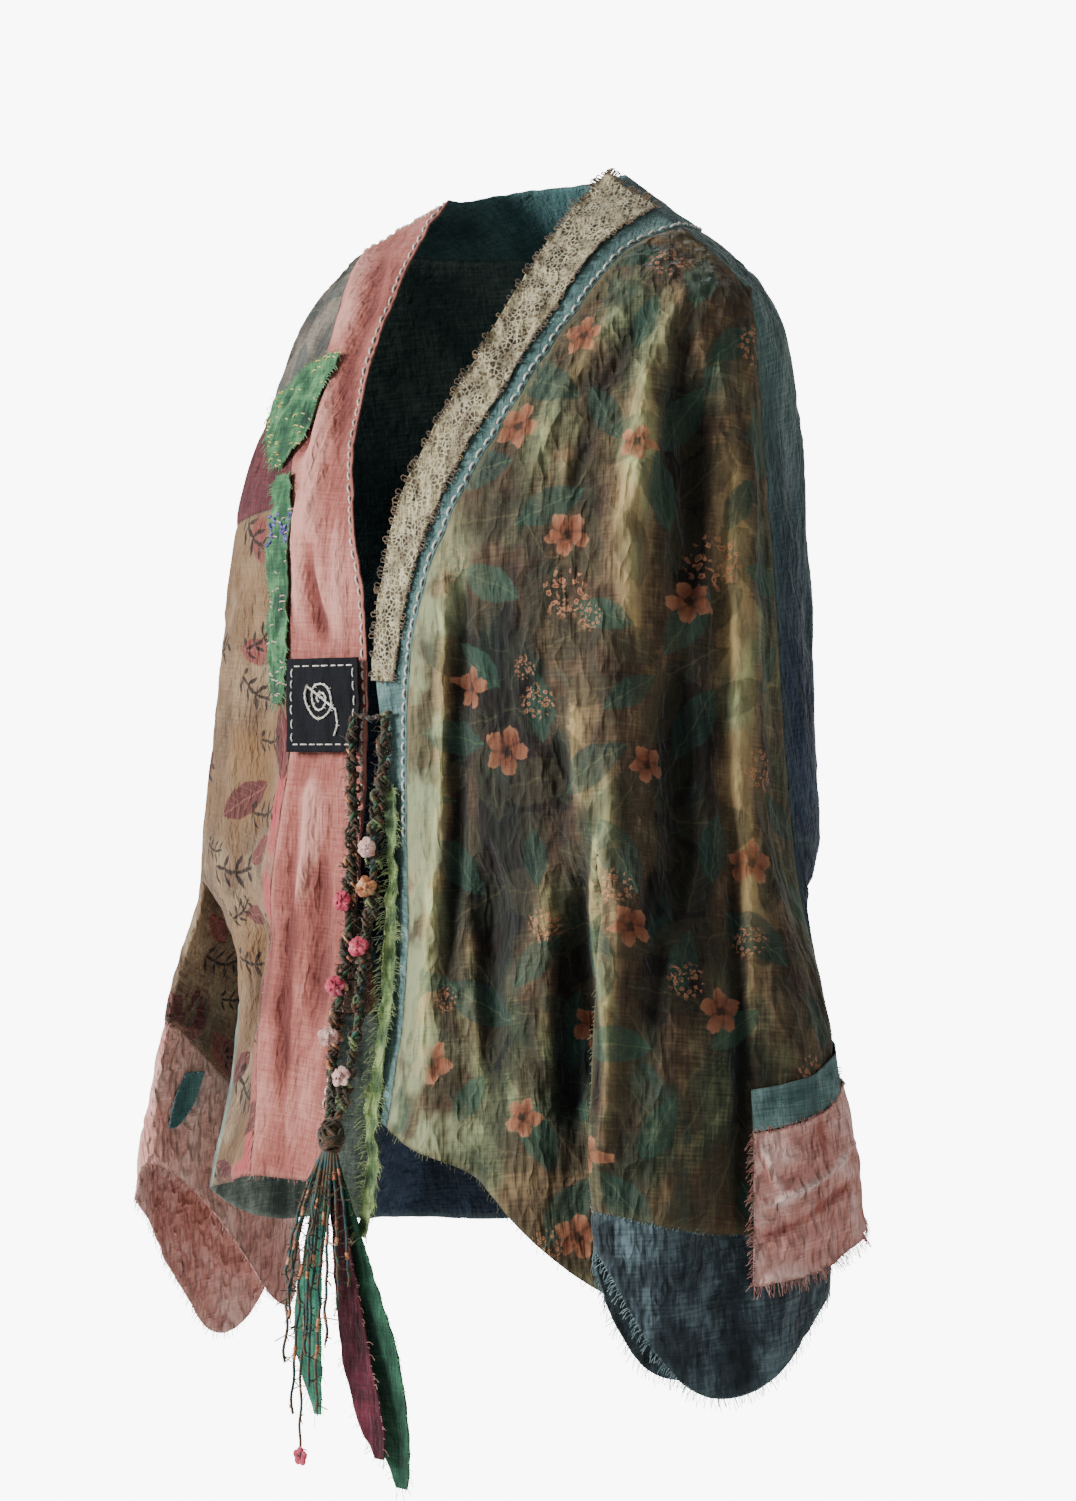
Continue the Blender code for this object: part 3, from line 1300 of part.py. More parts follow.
def add_closure():
    """The loop, the two yarn cords and the flowers of thread on them."""
    cord_object("closure_loop", LOOP_ROUTE, LOOP_THICKNESS, 16)
    routes = {"left": YARN_LEFT_ROUTE, "right": YARN_RIGHT_ROUTE}
    for side, route in routes.items():
        cord_object("yarn_cord_" + side, route, YARN_THICKNESS, 30)
    for number, (side, z, colour) in enumerate(ROSETTES, 1):
        route = np.array(routes[side])[::-1]
        x = np.interp(z, route[:, 2], route[:, 0])
        y = np.interp(z, route[:, 2], route[:, 1])
        middle = (x, y - YARN_THICKNESS / 2 - ROSETTE_DEPTH / 2 - ROSETTE_GAP, z)
        add_rosette("rosette_%d" % number, middle, ROSETTE_COLOURS[colour])


def petal_ring(middle, radius, depth):
    """Points round a flower that faces forward."""
    points = []
    for step in range(ROSETTE_PETALS * 2):
        angle = math.pi * step / ROSETTE_PETALS
        reach = radius * (1.0 if step % 2 == 0 else ROSETTE_NOTCH)
        points.append(Vector((math.cos(angle) * reach, depth, math.sin(angle) * reach)) + Vector(middle))
    return points


def add_rosette(name, middle, colour):
    """A small flower of thread: a ring of petals round a raised middle."""
    mesh = bmesh.new()
    rings = []
    for radius, depth in ROSETTE_RINGS:
        points = petal_ring(middle, ROSETTE_RADIUS * radius, ROSETTE_DEPTH * depth)
        rings.append([mesh.verts.new(point) for point in points])
    count = len(rings[0])
    for ring, following in zip(rings, rings[1:]):
        for step in range(count):
            after = (step + 1) % count
            mesh.faces.new([ring[step], ring[after], following[after], following[step]])
    mesh.faces.new(rings[0][::-1])
    tip = mesh.verts.new(Vector(middle) + Vector((0.0, -ROSETTE_DEPTH * 0.5, 0.0)))
    for step in range(count):
        mesh.faces.new([rings[-1][step], rings[-1][(step + 1) % count], tip])
    bmesh.ops.recalc_face_normals(mesh, faces=mesh.faces)
    return finish_mesh(name, mesh, cloth_material(name, colour))


def add_tails():
    """The three torn strips that hang from the knot."""
    tails = (
        ("tail_green", TAIL_GREEN),
        ("tail_burgundy", TAIL_BURGUNDY),
        ("tail_dark_green", TAIL_DARK_GREEN),
    )
    for name, source in tails:
        top = []
        low = []
        for z in np.linspace(source["z"][-1], source["z"][0], TAIL_ROWS + 1):
            x, y, width = (float(read(source, column, z)) for column in ("x", "y", "width"))
            for share in np.linspace(-1.0, 1.0, TAIL_COLUMNS + 1):
                place = np.array([x + share * width / 2, y, z])
                top.append(place - np.array([0.0, TAIL_WALL / 2, 0.0]))
                low.append(place + np.array([0.0, TAIL_WALL / 2, 0.0]))
        sheet_object(name, top, low, TAIL_ROWS, TAIL_COLUMNS, cloth_material(name, LAID_COLOURS[name]))


def add_tassel():
    """The knot, with its yarn strands drawn out of the lower faces and a small flower on one."""
    mesh = bmesh.new()
    bmesh.ops.create_uvsphere(mesh, u_segments=12, v_segments=7, radius=1.0)
    bmesh.ops.scale(mesh, vec=KNOT_SIZE, verts=mesh.verts)
    bmesh.ops.translate(mesh, vec=KNOT_CENTRE, verts=mesh.verts)
    mesh.faces.ensure_lookup_table()
    ring = [face for face in mesh.faces if len(face.verts) == 4]
    level = min(round(face.calc_center_median().z, 5) for face in ring)
    lower = [face for face in ring if round(face.calc_center_median().z, 5) == level]
    front = [face for face in lower if face.calc_center_median().y < KNOT_CENTRE[1]]
    front.sort(key=lambda face: -face.calc_center_median().x)
    for number, (at, sway_x, sway_y, length) in enumerate(STRANDS):
        draw_strand(mesh, front[at], sway_x, sway_y, length, number == FLOWER_STRAND)
    bmesh.ops.recalc_face_normals(mesh, faces=mesh.faces)
    return finish_mesh("tassel", mesh, cloth_material("tassel", LAID_COLOURS["tassel"]))


def turn_about(centre, place):
    """Direction of a place from a centre, seen from above."""
    return math.atan2(place.y - centre.y, place.x - centre.x)


def draw_strand(mesh, face, sway_x, sway_y, length, flower):
    """Draws one thin strand out of a face of the knot, ending in a flower or a plain tip."""
    start = face.calc_center_median()
    for step in range(1, STRAND_STEPS + 1):
        share = step / STRAND_STEPS
        made = bmesh.ops.extrude_discrete_faces(mesh, faces=[face])
        face = made["faces"][0]
        out = 1.0 - (1.0 - share) ** 2
        middle = start + Vector((sway_x * out, sway_y * out, -length * share))
        wide = STRAND_THICKNESS
        if flower and step >= STRAND_STEPS - 1:
            wide = STRAND_THICKNESS * STRAND_FLOWER
        centre = face.calc_center_median()
        order = sorted(face.verts, key=lambda vertex: turn_about(centre, vertex.co))
        for vertex, (i, j) in zip(order, SQUARE_CORNERS):
            vertex.co = middle + Vector((i * wide / 2, j * wide / 2, 0.0))


def main():
    for item in list(bpy.data.objects):
        bpy.data.objects.remove(item, do_unlink=True)
    cloth = sewn_cloth()
    for name, colour in PIECE_COLOURS.items():
        top, low, quads = cloth.piece(name)
        wall_object(name, top, low, quads, cloth_material(name, colour))
    add_lace(cloth)
    add_ribbon(cloth)
    add_cuff_layers(cloth)
    add_patches(cloth)
    add_closure()
    add_tails()
    add_tassel()


main()
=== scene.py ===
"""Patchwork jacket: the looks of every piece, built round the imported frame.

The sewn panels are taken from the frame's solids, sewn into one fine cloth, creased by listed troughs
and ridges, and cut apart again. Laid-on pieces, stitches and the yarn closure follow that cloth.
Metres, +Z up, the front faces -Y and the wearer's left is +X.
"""

from __future__ import annotations

import logging
import math
import random
from dataclasses import dataclass, field
from enum import Enum

import bmesh
import bpy
import numpy as np
from mathutils import Matrix, Vector, noise
from mathutils.bvhtree import BVHTree
from mathutils.geometry import barycentric_transform
from mathutils.kdtree import KDTree


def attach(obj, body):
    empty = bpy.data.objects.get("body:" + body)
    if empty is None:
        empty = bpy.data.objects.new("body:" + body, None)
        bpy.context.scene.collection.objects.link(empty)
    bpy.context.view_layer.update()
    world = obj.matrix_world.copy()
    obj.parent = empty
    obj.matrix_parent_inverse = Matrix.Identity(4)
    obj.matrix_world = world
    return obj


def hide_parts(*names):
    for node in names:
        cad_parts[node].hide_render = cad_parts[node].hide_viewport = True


LOG = logging.getLogger("jacket")
ROOT = "root"
MM = 0.001
UP = Vector((0.0, 0.0, 1.0))
FORWARD = Vector((0.0, -1.0, 0.0))

MATH = "ShaderNodeMath"
MIX = "ShaderNodeMix"
RAMP = "ShaderNodeValToRGB"
NOISE = "ShaderNodeTexNoise"
CELLS = "ShaderNodeTexVoronoi"
MAPPING = "ShaderNodeMapping"
SPLIT = "ShaderNodeSeparateXYZ"
ATTRIBUTE = "ShaderNodeAttribute"
PLACE = "ShaderNodeTexCoord"
SPAN = "ShaderNodeMapRange"
BUMP = "ShaderNodeBump"
VECTORS = "ShaderNodeVectorMath"

Tree = bpy.types.NodeTree
Socket = bpy.types.NodeSocket


def linear(code: str) -> tuple[float, float, float, float]:
    """Turn an sRGB hex colour into a linear one.

    Args:
        code: the colour as "#RRGGBB".

    Returns:
        Linear red, green, blue and an alpha of 1.
    """
    channels = [int(code[i : i + 2], 16) / 255 for i in (1, 3, 5)]
    red, green, blue = (c / 12.92 if c <= 0.04045 else ((c + 0.055) / 1.055) ** 2.4 for c in channels)
    return (red, green, blue, 1.0)


def smooth_step(values: np.ndarray) -> np.ndarray:
    """Ease values from 0 to 1, clipped at both ends."""
    held = np.clip(values, 0.0, 1.0)
    return held * held * (3.0 - 2.0 * held)


def spline(points: list[Vector], count: int) -> list[Vector]:
    """Resample a smooth curve through points.

    Args:
        points: the points that the curve goes through.
        count: how many points come back.

    Returns:
        Points evenly spaced along a Catmull-Rom curve.
    """
    ends = [points[0] * 2 - points[1], *points, points[-1] * 2 - points[-2]]
    fine = []
    for k in range(len(points) - 1):
        a, b, c, d = ends[k : k + 4]
        for step in range(12):
            t = step / 12
            curve = 2 * b + (c - a) * t + (2 * a - 5 * b + 4 * c - d) * t**2 + (3 * b - a - 3 * c + d) * t**3
            fine.append(0.5 * curve)
    fine.append(points[-1].copy())
    return even(fine, count)


def length_of(points: list[Vector]) -> float:
    """Return the length of a polyline."""
    return sum((b - a).length for a, b in zip(points, points[1:]))


def even(points: list[Vector], count: int) -> list[Vector]:
    """Space points evenly along a polyline.

    Args:
        points: the polyline.
        count: how many points come back.

    Returns:
        The evenly spaced points, with both ends kept.
    """
    steps = [(b - a).length for a, b in zip(points, points[1:])]
    total = sum(steps)
    result = []
    k, gone = 0, 0.0
    for i in range(count):
        target = total * i / (count - 1)
        while k < len(steps) - 1 and gone + steps[k] < target:
            gone += steps[k]
            k += 1
        share = (target - gone) / steps[k] if steps[k] else 0.0
        result.append(points[k].lerp(points[k + 1], min(share, 1.0)))
    return result


@dataclass(frozen=True)
class PhotoView:
    """The photograph's viewpoint: a level camera to the front left of the jacket."""

    azimuth: float = math.radians(42)
    height: float = -0.36
    distance: float = 2.2
    pixel: float = 0.00068
    width_px: int = 1076
    height_px: int = 1501
    axis_px: float = 526.0
    film: float = 36.0

    def eye(self) -> Vector:
        """Return the camera's place."""
        return Vector(
            (self.distance * math.sin(self.azimuth), -self.distance * math.cos(self.azimuth), self.height)
        )

    def toward(self) -> Vector:
        """Return the level direction from the jacket to the camera."""
        return Vector((math.sin(self.azimuth), -math.cos(self.azimuth), 0.0))

    def plane(self, points: np.ndarray) -> np.ndarray:
        """Project points on the plane through the origin that faces the camera.

        Args:
            points: an N by 3 array.

        Returns:
            An N by 2 array of across and high, in metres.
        """
        right = np.array((math.cos(self.azimuth), math.sin(self.azimuth), 0.0))
        scale = self.distance / (self.distance - points @ np.array(self.toward()))
        high = self.height + (points[:, 2] - self.height) * scale
        return np.stack((points @ right * scale, high), axis=1)

    def from_px(self, line: tuple[tuple[float, float], ...]) -> list[Vector]:
        """Turn pixels of the photograph into across and high on the picture plane, in metres.

        Args:
            line: the line's pixels.

        Returns:
            The points.
        """
        middle = self.height_px / 2
        return [
            Vector(((x - self.axis_px) * self.pixel, self.height - (y - middle) * self.pixel, 0.0))
            for x, y in line
        ]

    def ray(self, x: float, y: float) -> Vector:
        """Return the direction from the camera through a pixel of the photograph."""
        across, high, _ = self.from_px(((x, y),))[0]
        right = Vector((math.cos(self.azimuth), math.sin(self.azimuth), 0.0))
        return (right * across + UP * high - self.eye()).normalized()

    def camera(self) -> None:
        """Add the camera with the photograph's framing."""
        data = bpy.data.cameras.new("photo_camera")
        data.sensor_fit = "AUTO"
        data.sensor_width = self.film
        data.lens = self.film * self.distance / (self.height_px * self.pixel)
        data.shift_x = (self.width_px / 2 - self.axis_px) / self.height_px
        camera = linked("photo_camera", data)
        camera.location = self.eye()
        camera.rotation_euler = (math.radians(90), 0.0, self.azimuth)
        bpy.context.scene.camera = camera


@dataclass(frozen=True)
class Studio:
    """A plain pale floor and soft studio light from the camera's left."""

    floor_height: float = -1.48
    floor_radius: float = 2.6
    middle: Vector = field(default_factory=lambda: Vector((0.0, -0.05, -0.40)))

    def light(self, name: str, azimuth: float, rise: float, away: float, size: float, power: float) -> None:
        """Add one soft lamp that looks at the jacket's middle.

        Args:
            name: the lamp's name.
            azimuth: its bearing round the jacket in degrees, 0 at the front.
            rise: its height above the middle, in metres.
            away: its level distance, in metres.
            size: the side of its square, in metres.
            power: its power in watts.
        """
        data = bpy.data.lights.new(name, "AREA")
        data.shape = "SQUARE"
        data.size = size
        data.energy = power
        lamp = linked(name, data)
        angle = math.radians(azimuth)
        lamp.location = self.middle + Vector((away * math.sin(angle), -away * math.cos(angle), rise))
        lamp.rotation_euler = (self.middle - lamp.location).to_track_quat("-Z", "Y").to_euler()

    def build(self) -> None:
        """Add the lamps, the pale surround and the floor."""
        self.light("key", azimuth=-30, rise=0.80, away=2.4, size=0.9, power=112)
        self.light("fill", azimuth=105, rise=0.30, away=2.8, size=2.0, power=12)
        self.light("rear", azimuth=200, rise=0.90, away=2.6, size=1.8, power=38)
        world = bpy.data.worlds.new("surround")
        bpy.context.scene.world = world
        world.use_nodes = True
        tree = world.node_tree
        tree.nodes.clear()
        seen = add(tree, "ShaderNodeLightPath", out="Is Camera Ray")
        strength = add(tree, SPAN, seen, 0.0, 1.0, 0.30, 9.0)
        glow = add(tree, "ShaderNodeBackground", (1.0, 1.0, 1.0, 1.0), strength)
        add(tree, "ShaderNodeOutputWorld", glow, out=None)
        disc = bmesh.new()
        bmesh.ops.create_circle(disc, cap_ends=True, segments=96, radius=self.floor_radius)
        bmesh.ops.translate(disc, verts=disc.verts, vec=(0.0, 0.0, self.floor_height))
        floor = make_object("floor", disc)
        floor.data.materials.append(PlainPaper().build())


def add(
    tree: Tree,
    kind: str,
    *inputs: object,
    at: dict[int, object] | None = None,
    out: int | str | None = 0,
    stops: tuple[tuple[float, str], ...] | None = None,
    **settings: object,
) -> Socket | None:
    """Add a node with its settings and links. A value of an input may be a colour as "#RRGGBB".

    Args:
        tree: the node tree.
        kind: the node's type, or the operation of a maths node.
        inputs: sockets or values for its first inputs, in order.
        at: sockets or values for inputs by number.
        out: the output that comes back, None for a node that has none.
        stops: places and hex colours of a colour ramp.
        settings: the node's own settings, and with a capital letter sockets or values for its inputs.

    Returns:
        The output socket.
    """
    maths = not kind.startswith("ShaderNode")
    node = tree.nodes.new(MATH if maths else kind)
    if maths:
        node.operation = kind
    values = [*enumerate(inputs), *(at or {}).items()]
    for name, value in settings.items():
        if name[0].isupper():
            values.append((name, value))
        else:
            setattr(node, name, value)
    if stops:
        ramp = node.color_ramp
        while len(ramp.elements) < len(stops):
            ramp.elements.new(0.5)
        for element, (place, code) in zip(ramp.elements, stops):
            element.position = place
            element.color = linear(code)
    for key, value in values:
        if isinstance(value, Socket):
            tree.links.new(value, node.inputs[key])
        else:
            node.inputs[key].default_value = linear(value) if isinstance(value, str) else value
    return None if out is None else node.outputs[out]


def new_material(name: str, settings: dict[str, float]) -> tuple[bpy.types.Material, Tree, bpy.types.Node]:
    """Add a material.

    Args:
        name: the material's name.
        settings: values of its shader's inputs.

    Returns:
        The material, its node tree and its shader.
    """
    material = bpy.data.materials.new(name)
    material.use_nodes = True
    shader = material.node_tree.nodes["Principled BSDF"]
    for key, value in settings.items():
        shader.inputs[key].default_value = value
    return material, material.node_tree, shader


def linked(name: str, data: bpy.types.ID) -> bpy.types.Object:
    """Add an object with some data to the scene."""
    obj = bpy.data.objects.new(name, data)
    bpy.context.scene.collection.objects.link(obj)
    return obj


def make_object(name: str, work: bmesh.types.BMesh) -> bpy.types.Object:
    """Turn a bmesh into an object of the scene.

    Args:
        name: the object's name.
        work: the bmesh, which is freed.

    Returns:
        The new object, at the origin.
    """
    mesh = bpy.data.meshes.new(name)
    for face in work.faces:
        face.smooth = True
    work.to_mesh(mesh)
    work.free()
    return linked(name, mesh)


def baked(source: bpy.types.Object) -> bpy.types.Mesh:
    """Return an object's mesh with its modifiers or bevel applied, and remove the object.

    Args:
        source: the object.

    Returns:
        The mesh.
    """
    graph = bpy.context.evaluated_depsgraph_get()
    mesh = bpy.data.meshes.new_from_object(source.evaluated_get(graph))
    bpy.data.objects.remove(source)
    return mesh


def subdivided(coarse: bpy.types.Object, levels: int) -> bpy.types.Mesh:
    """Return a skin's mesh subdivided some times, and remove the skin.

    Args:
        coarse: the skin.
        levels: how many times it is subdivided.

    Returns:
        The finer mesh.
    """
    fine = coarse.modifiers.new("fine", "SUBSURF")
    fine.levels = levels
    fine.render_levels = levels
    fine.boundary_smooth = "PRESERVE_CORNERS"
    fine.uv_smooth = "PRESERVE_BOUNDARIES"
    return baked(coarse)


def thicken(obj: bpy.types.Object, thickness: float) -> None:
    """Give a skin its thickness, inward."""
    shell = obj.modifiers.new("thickness", "SOLIDIFY")
    shell.thickness = thickness
    shell.offset = -1.0


def fasten(obj: bpy.types.Object, node: str | None = None) -> None:
    """Let an object ride on the jacket, in place of a node if it stands for one.

    Args:
        obj: the object.
        node: the node that it replaces, if any.
    """
    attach(obj, ROOT)
    if node:
        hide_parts(node)


def points_of(mesh: bpy.types.Mesh) -> np.ndarray:
    """Return a mesh's points as an N by 3 array."""
    flat = np.empty(len(mesh.vertices) * 3)
    mesh.vertices.foreach_get("co", flat)
    return flat.reshape(-1, 3)


def normals_of(mesh: bpy.types.Mesh) -> np.ndarray:
    """Return the normals at a mesh's points as an N by 3 array."""
    return np.array([tuple(entry.vector) for entry in mesh.vertex_normals])


def surface_of(mesh: bpy.types.Mesh) -> BVHTree:
    """Return a search tree of a mesh's faces."""
    places = [vert.co for vert in mesh.vertices]
    return BVHTree.FromPolygons(places, [tuple(face.vertices) for face in mesh.polygons])


def nearest_of(places: list[Vector]) -> KDTree:
    """Return a search tree of places.

    Args:
        places: the places, in order.

    Returns:
        The tree, whose numbers are the places' own.
    """
    near = KDTree(len(places))
    for k, place in enumerate(places):
        near.insert(place, k)
    near.balance()
    return near


def edge_faces(mesh: bpy.types.Mesh) -> dict[tuple[int, int], list[int]]:
    """Return the numbers of the faces at each edge of a mesh.

    Args:
        mesh: the mesh.

    Returns:
        For each edge's two points, the faces that meet there.
    """
    found: dict[tuple[int, int], list[int]] = {}
    for face in mesh.polygons:
        for key in face.edge_keys:
            found.setdefault(key, []).append(face.index)
    return found


@dataclass(frozen=True)
class PlainPaper:
    """Matt pale paper of the studio floor."""

    colour: str = "#F4F3F0"

    def build(self) -> bpy.types.Material:
        """Return the floor's material, matt with a faint mottle so that it isn't one flat colour.

        Returns:
            The material.
        """
        material, tree, shader = new_material("pale_paper", {"Roughness": 0.9})
        place = add(tree, PLACE, out="Object")
        cloud = add(tree, NOISE, Vector=place, Scale=3.0)
        tone = add(tree, RAMP, cloud, stops=((0.3, "#F1F0EC"), (0.7, self.colour)))
        tree.links.new(tone, shader.inputs["Base Color"])
        return material


BODY_AXIS = (0.0, 0.0)
LEFT_ARM = (0.232, -0.080)
RIGHT_ARM = (-0.285, -0.005)
NECK_AXIS = (0.0, 0.04)


@dataclass(frozen=True)
class Panel:
    """One sewn panel: its node, its cut, and the upright axis that its inner face looks at."""

    node: str
    slot: str
    flat: tuple[float, float]
    area: float
    axis: tuple[float, float] = BODY_AXIS


PANELS = (
    Panel("back", "slate_back", (0.92, 0.74), 0.418),
    Panel("left_front", "olive_print", (0.50, 0.72), 0.178),
    Panel("left_band", "denim_band", (0.064, 0.74), 0.0215),
    Panel("left_cuff", "slate_cuff", (0.27, 0.13), 0.0275, LEFT_ARM),
    Panel("left_sleeve_back", "navy_cloth", (0.20, 0.25), 0.0412, LEFT_ARM),
    Panel("neck_band", "teal_neck", (0.33, 0.075), 0.0189, NECK_AXIS),
    Panel("right_band", "pink_linen", (0.13, 0.74), 0.0517),
    Panel("right_shoulder", "grey_print", (0.13, 0.14), 0.0117),
    Panel("right_burgundy", "burgundy_cloth", (0.15, 0.14), 0.0161),
    Panel("right_front", "tan_print", (0.33, 0.52), 0.133),
    Panel("right_gore", "grey_green_cloth", (0.19, 0.18), 0.0273),
    Panel("right_sleeve_back", "slate_back", (0.12, 0.22), 0.0125, RIGHT_ARM),
    Panel("right_cuff", "pink_linen", (0.28, 0.19), 0.0453, RIGHT_ARM),
)
NODES = [panel.node for panel in PANELS]


@dataclass(frozen=True)
class CadSkin:
    """The outer skin of a cloth node, taken from a merged copy of its wall."""

    node: str
    axis: tuple[float, float] = BODY_AXIS
    wall: float = 0.0015
    merge: float = 2e-6
    rim_slack: float = 6e-6

    def outward(self, faces: list[bmesh.types.BMFace]) -> float:
        """Sum how far a set of faces looks away from the panel's axis.

        Args:
            faces: the faces.

        Returns:
            The sum, positive where they look outward.
        """
        total = 0.0
        for face in faces:
            away = face.calc_center_median() - Vector((*self.axis, 0.0))
            away.z = 0.0
            total += face.calc_area() * face.normal.dot(away)
        return total

    def take(self) -> bmesh.types.BMesh:
        """Copy the node, drop its rims and inner face, and join its triangles into quads.

        Returns:
            The outer skin.
        """
        work = bmesh.new()
        work.from_mesh(bpy.data.objects[self.node].data)
        bmesh.ops.remove_doubles(work, verts=work.verts, dist=self.merge)
        rims = [
            face
            for face in work.faces
            if any(abs(edge.calc_length() - self.wall) < self.rim_slack for edge in face.edges)
        ]
        bmesh.ops.delete(work, geom=rims, context="FACES")
        shells = islands(work)
        outer = max(shells, key=self.outward)
        rest = [face for shell in shells if shell is not outer for face in shell]
        bmesh.ops.delete(work, geom=rest, context="FACES")
        bmesh.ops.join_triangles(
            work, faces=work.faces, angle_face_threshold=math.pi, angle_shape_threshold=math.pi
        )
        return work


def islands(work: bmesh.types.BMesh) -> list[list[bmesh.types.BMFace]]:
    """Group faces that share edges.

    Args:
        work: the bmesh.

    Returns:
        One list of faces for each connected group.
    """
    found: list[list[bmesh.types.BMFace]] = []
    seen: set[bmesh.types.BMFace] = set()
    for start in work.faces:
        if start in seen:
            continue
        seen.add(start)
        group = [start]
        for face in group:
            for edge in face.edges:
                for other in edge.link_faces:
                    if other not in seen:
                        seen.add(other)
                        group.append(other)
        found.append(group)
    return found


def rim_loops(work: bmesh.types.BMesh) -> list[list[bmesh.types.BMVert]]:
    """Walk the open edges of a skin.

    Args:
        work: the skin.

    Returns:
        The vertices of each closed loop of open edges, in order.
    """
    loops = []
    left = {edge for edge in work.edges if edge.is_boundary}
    while left:
        edge = min(left, key=lambda e: e.index)
        left.discard(edge)
        first, last = edge.verts
        loop = [first, last]
        while last is not first:
            edge = next((e for e in last.link_edges if e in left), None)
            if edge is None:
                break
            left.discard(edge)
            last = edge.other_vert(last)
            loop.append(last)
        loops.append(loop)
    return loops


def open_tube(work: bmesh.types.BMesh) -> None:
    """Mark a seam down the rear of a tube, so that it can be laid flat.

    Args:
        work: the skin. It is left alone unless it has two rims.
    """
    work.edges.index_update()
    loops = rim_loops(work)
    if len(loops) != 2:
        return
    start = max(loops[0], key=lambda v: v.co.y)
    goal = set(loops[1])
    came: dict[bmesh.types.BMVert, bmesh.types.BMEdge | None] = {start: None}
    queue = [start]
    for vert in queue:
        if vert in goal:
            break
        for edge in vert.link_edges:
            other = edge.other_vert(vert)
            if other not in came:
                came[other] = edge
                queue.append(other)
    while came[vert] is not None:
        edge = came[vert]
        edge.seam = True
        vert = edge.other_vert(vert)


def lay_flat(obj: bpy.types.Object) -> None:
    """Give a skin a UV map in metres with its second axis up the cloth.

    Args:
        obj: the skin's object.
    """
    bpy.context.view_layer.objects.active = obj
    obj.select_set(True)
    bpy.ops.object.mode_set(mode="EDIT")
    bpy.ops.mesh.select_all(action="SELECT")
    bpy.ops.uv.unwrap(method="ANGLE_BASED", margin=0.0)
    bpy.ops.object.mode_set(mode="OBJECT")
    obj.select_set(False)
    mesh = obj.data
    layer = mesh.uv_layers.active
    flat = np.empty(len(mesh.loops) * 2)
    layer.uv.foreach_get("vector", flat)
    flat = flat.reshape(-1, 2)
    corners = np.empty(len(mesh.loops), dtype=int)
    mesh.loops.foreach_get("vertex_index", corners)
    height = points_of(mesh)[corners, 2]
    real = sum(face.area for face in mesh.polygons)
    drawn = 0.0
    for face in mesh.polygons:
        ring = flat[face.loop_start : face.loop_start + face.loop_total]
        turn = np.roll(ring, -1, axis=0)
        drawn += 0.5 * float(np.sum(ring[:, 0] * turn[:, 1] - ring[:, 1] * turn[:, 0]))
    centred = (flat - flat.mean(axis=0)) * math.sqrt(real / abs(drawn))
    slope = np.linalg.lstsq(centred, height - height.mean(), rcond=None)[0]
    rise = slope / np.linalg.norm(slope)
    side = np.array((rise[1], -rise[0]))
    turned = np.stack((centred @ side, centred @ rise), axis=1)
    layer.uv.foreach_set("vector", turned.ravel())


RIDGE_POWER = 1.45
TROUGH_POWER = 2.0
CREASE_TAPER = 0.28
CREASE_STEPS = 14


@dataclass(frozen=True)
class Crease:
    """One soft trough or ridge in mm, drawn as a line on a view's picture plane."""

    line: tuple[tuple[float, float], ...]
    width: float
    depth: float

    def raise_on(self, plane: np.ndarray, points: list[Vector]) -> np.ndarray:
        """Work out how far the crease lifts each place.

        Args:
            plane: N by 2 places on the picture plane, in metres.
            points: the line's points there.

        Returns:
            N heights in metres, negative in a trough.
        """
        route = np.array([(p.x, p.y) for p in spline(points, CREASE_STEPS)])
        result = np.zeros(len(plane))
        reach = 3.0 * self.width * MM
        low = route.min(axis=0) - reach
        high = route.max(axis=0) + reach
        near = np.flatnonzero(np.all((plane > low) & (plane < high), axis=1))
        here = plane[near]
        best = np.full(len(near), 1e9)
        share = np.zeros(len(near))
        for k, start in enumerate(route[:-1]):
            run = route[k + 1] - start
            length = float(np.hypot(*run))
            gap = here - start
            t = np.clip(gap @ run / length**2, 0.0, 1.0)
            miss = gap - t[:, None] * run
            far = np.hypot(miss[:, 0], miss[:, 1])
            closer = far < best
            best = np.where(closer, far, best)
            share = np.where(closer, (k + t) / (CREASE_STEPS - 1), share)
        taper = smooth_step(share / CREASE_TAPER) * smooth_step((1.0 - share) / CREASE_TAPER)
        wide = self.width * MM * (0.55 + 0.45 * taper)
        power = RIDGE_POWER if self.depth > 0 else TROUGH_POWER
        result[near] = self.depth * MM * np.exp(-((best / wide) ** power)) * taper
        return result


@dataclass(frozen=True)
class CreaseView:
    """A set of creases as one side of the jacket shows them."""

    azimuth: float
    creases: tuple[Crease, ...]
    in_px: bool = False
    deepen: float = 1.45
    starts: float = -0.05

    def relief(
        self, points: np.ndarray, normals: np.ndarray, view: PhotoView
    ) -> tuple[np.ndarray, np.ndarray]:
        """Add up this side's creases.

        Args:
            points: the cloth's points.
            normals: their normals.
            view: the photograph's viewpoint.

        Returns:
            The lift of each point, and how far each point faces this side.
        """
        angle = math.radians(self.azimuth)
        toward = np.array((math.sin(angle), -math.cos(angle), 0.0))
        across = np.array((math.cos(angle), math.sin(angle), 0.0))
        facing = smooth_step((normals @ toward - self.starts) / 0.25)
        plane = view.plane(points) if self.in_px else np.stack((points @ across, points[:, 2]), axis=1)
        lift = np.zeros(len(points))
        for crease in self.creases:
            if self.in_px:
                line = view.from_px(crease.line)
            else:
                line = [Vector((x * MM, z * MM, 0.0)) for x, z in crease.line]
            lift += crease.raise_on(plane, line)
        return lift * facing * self.deepen, facing


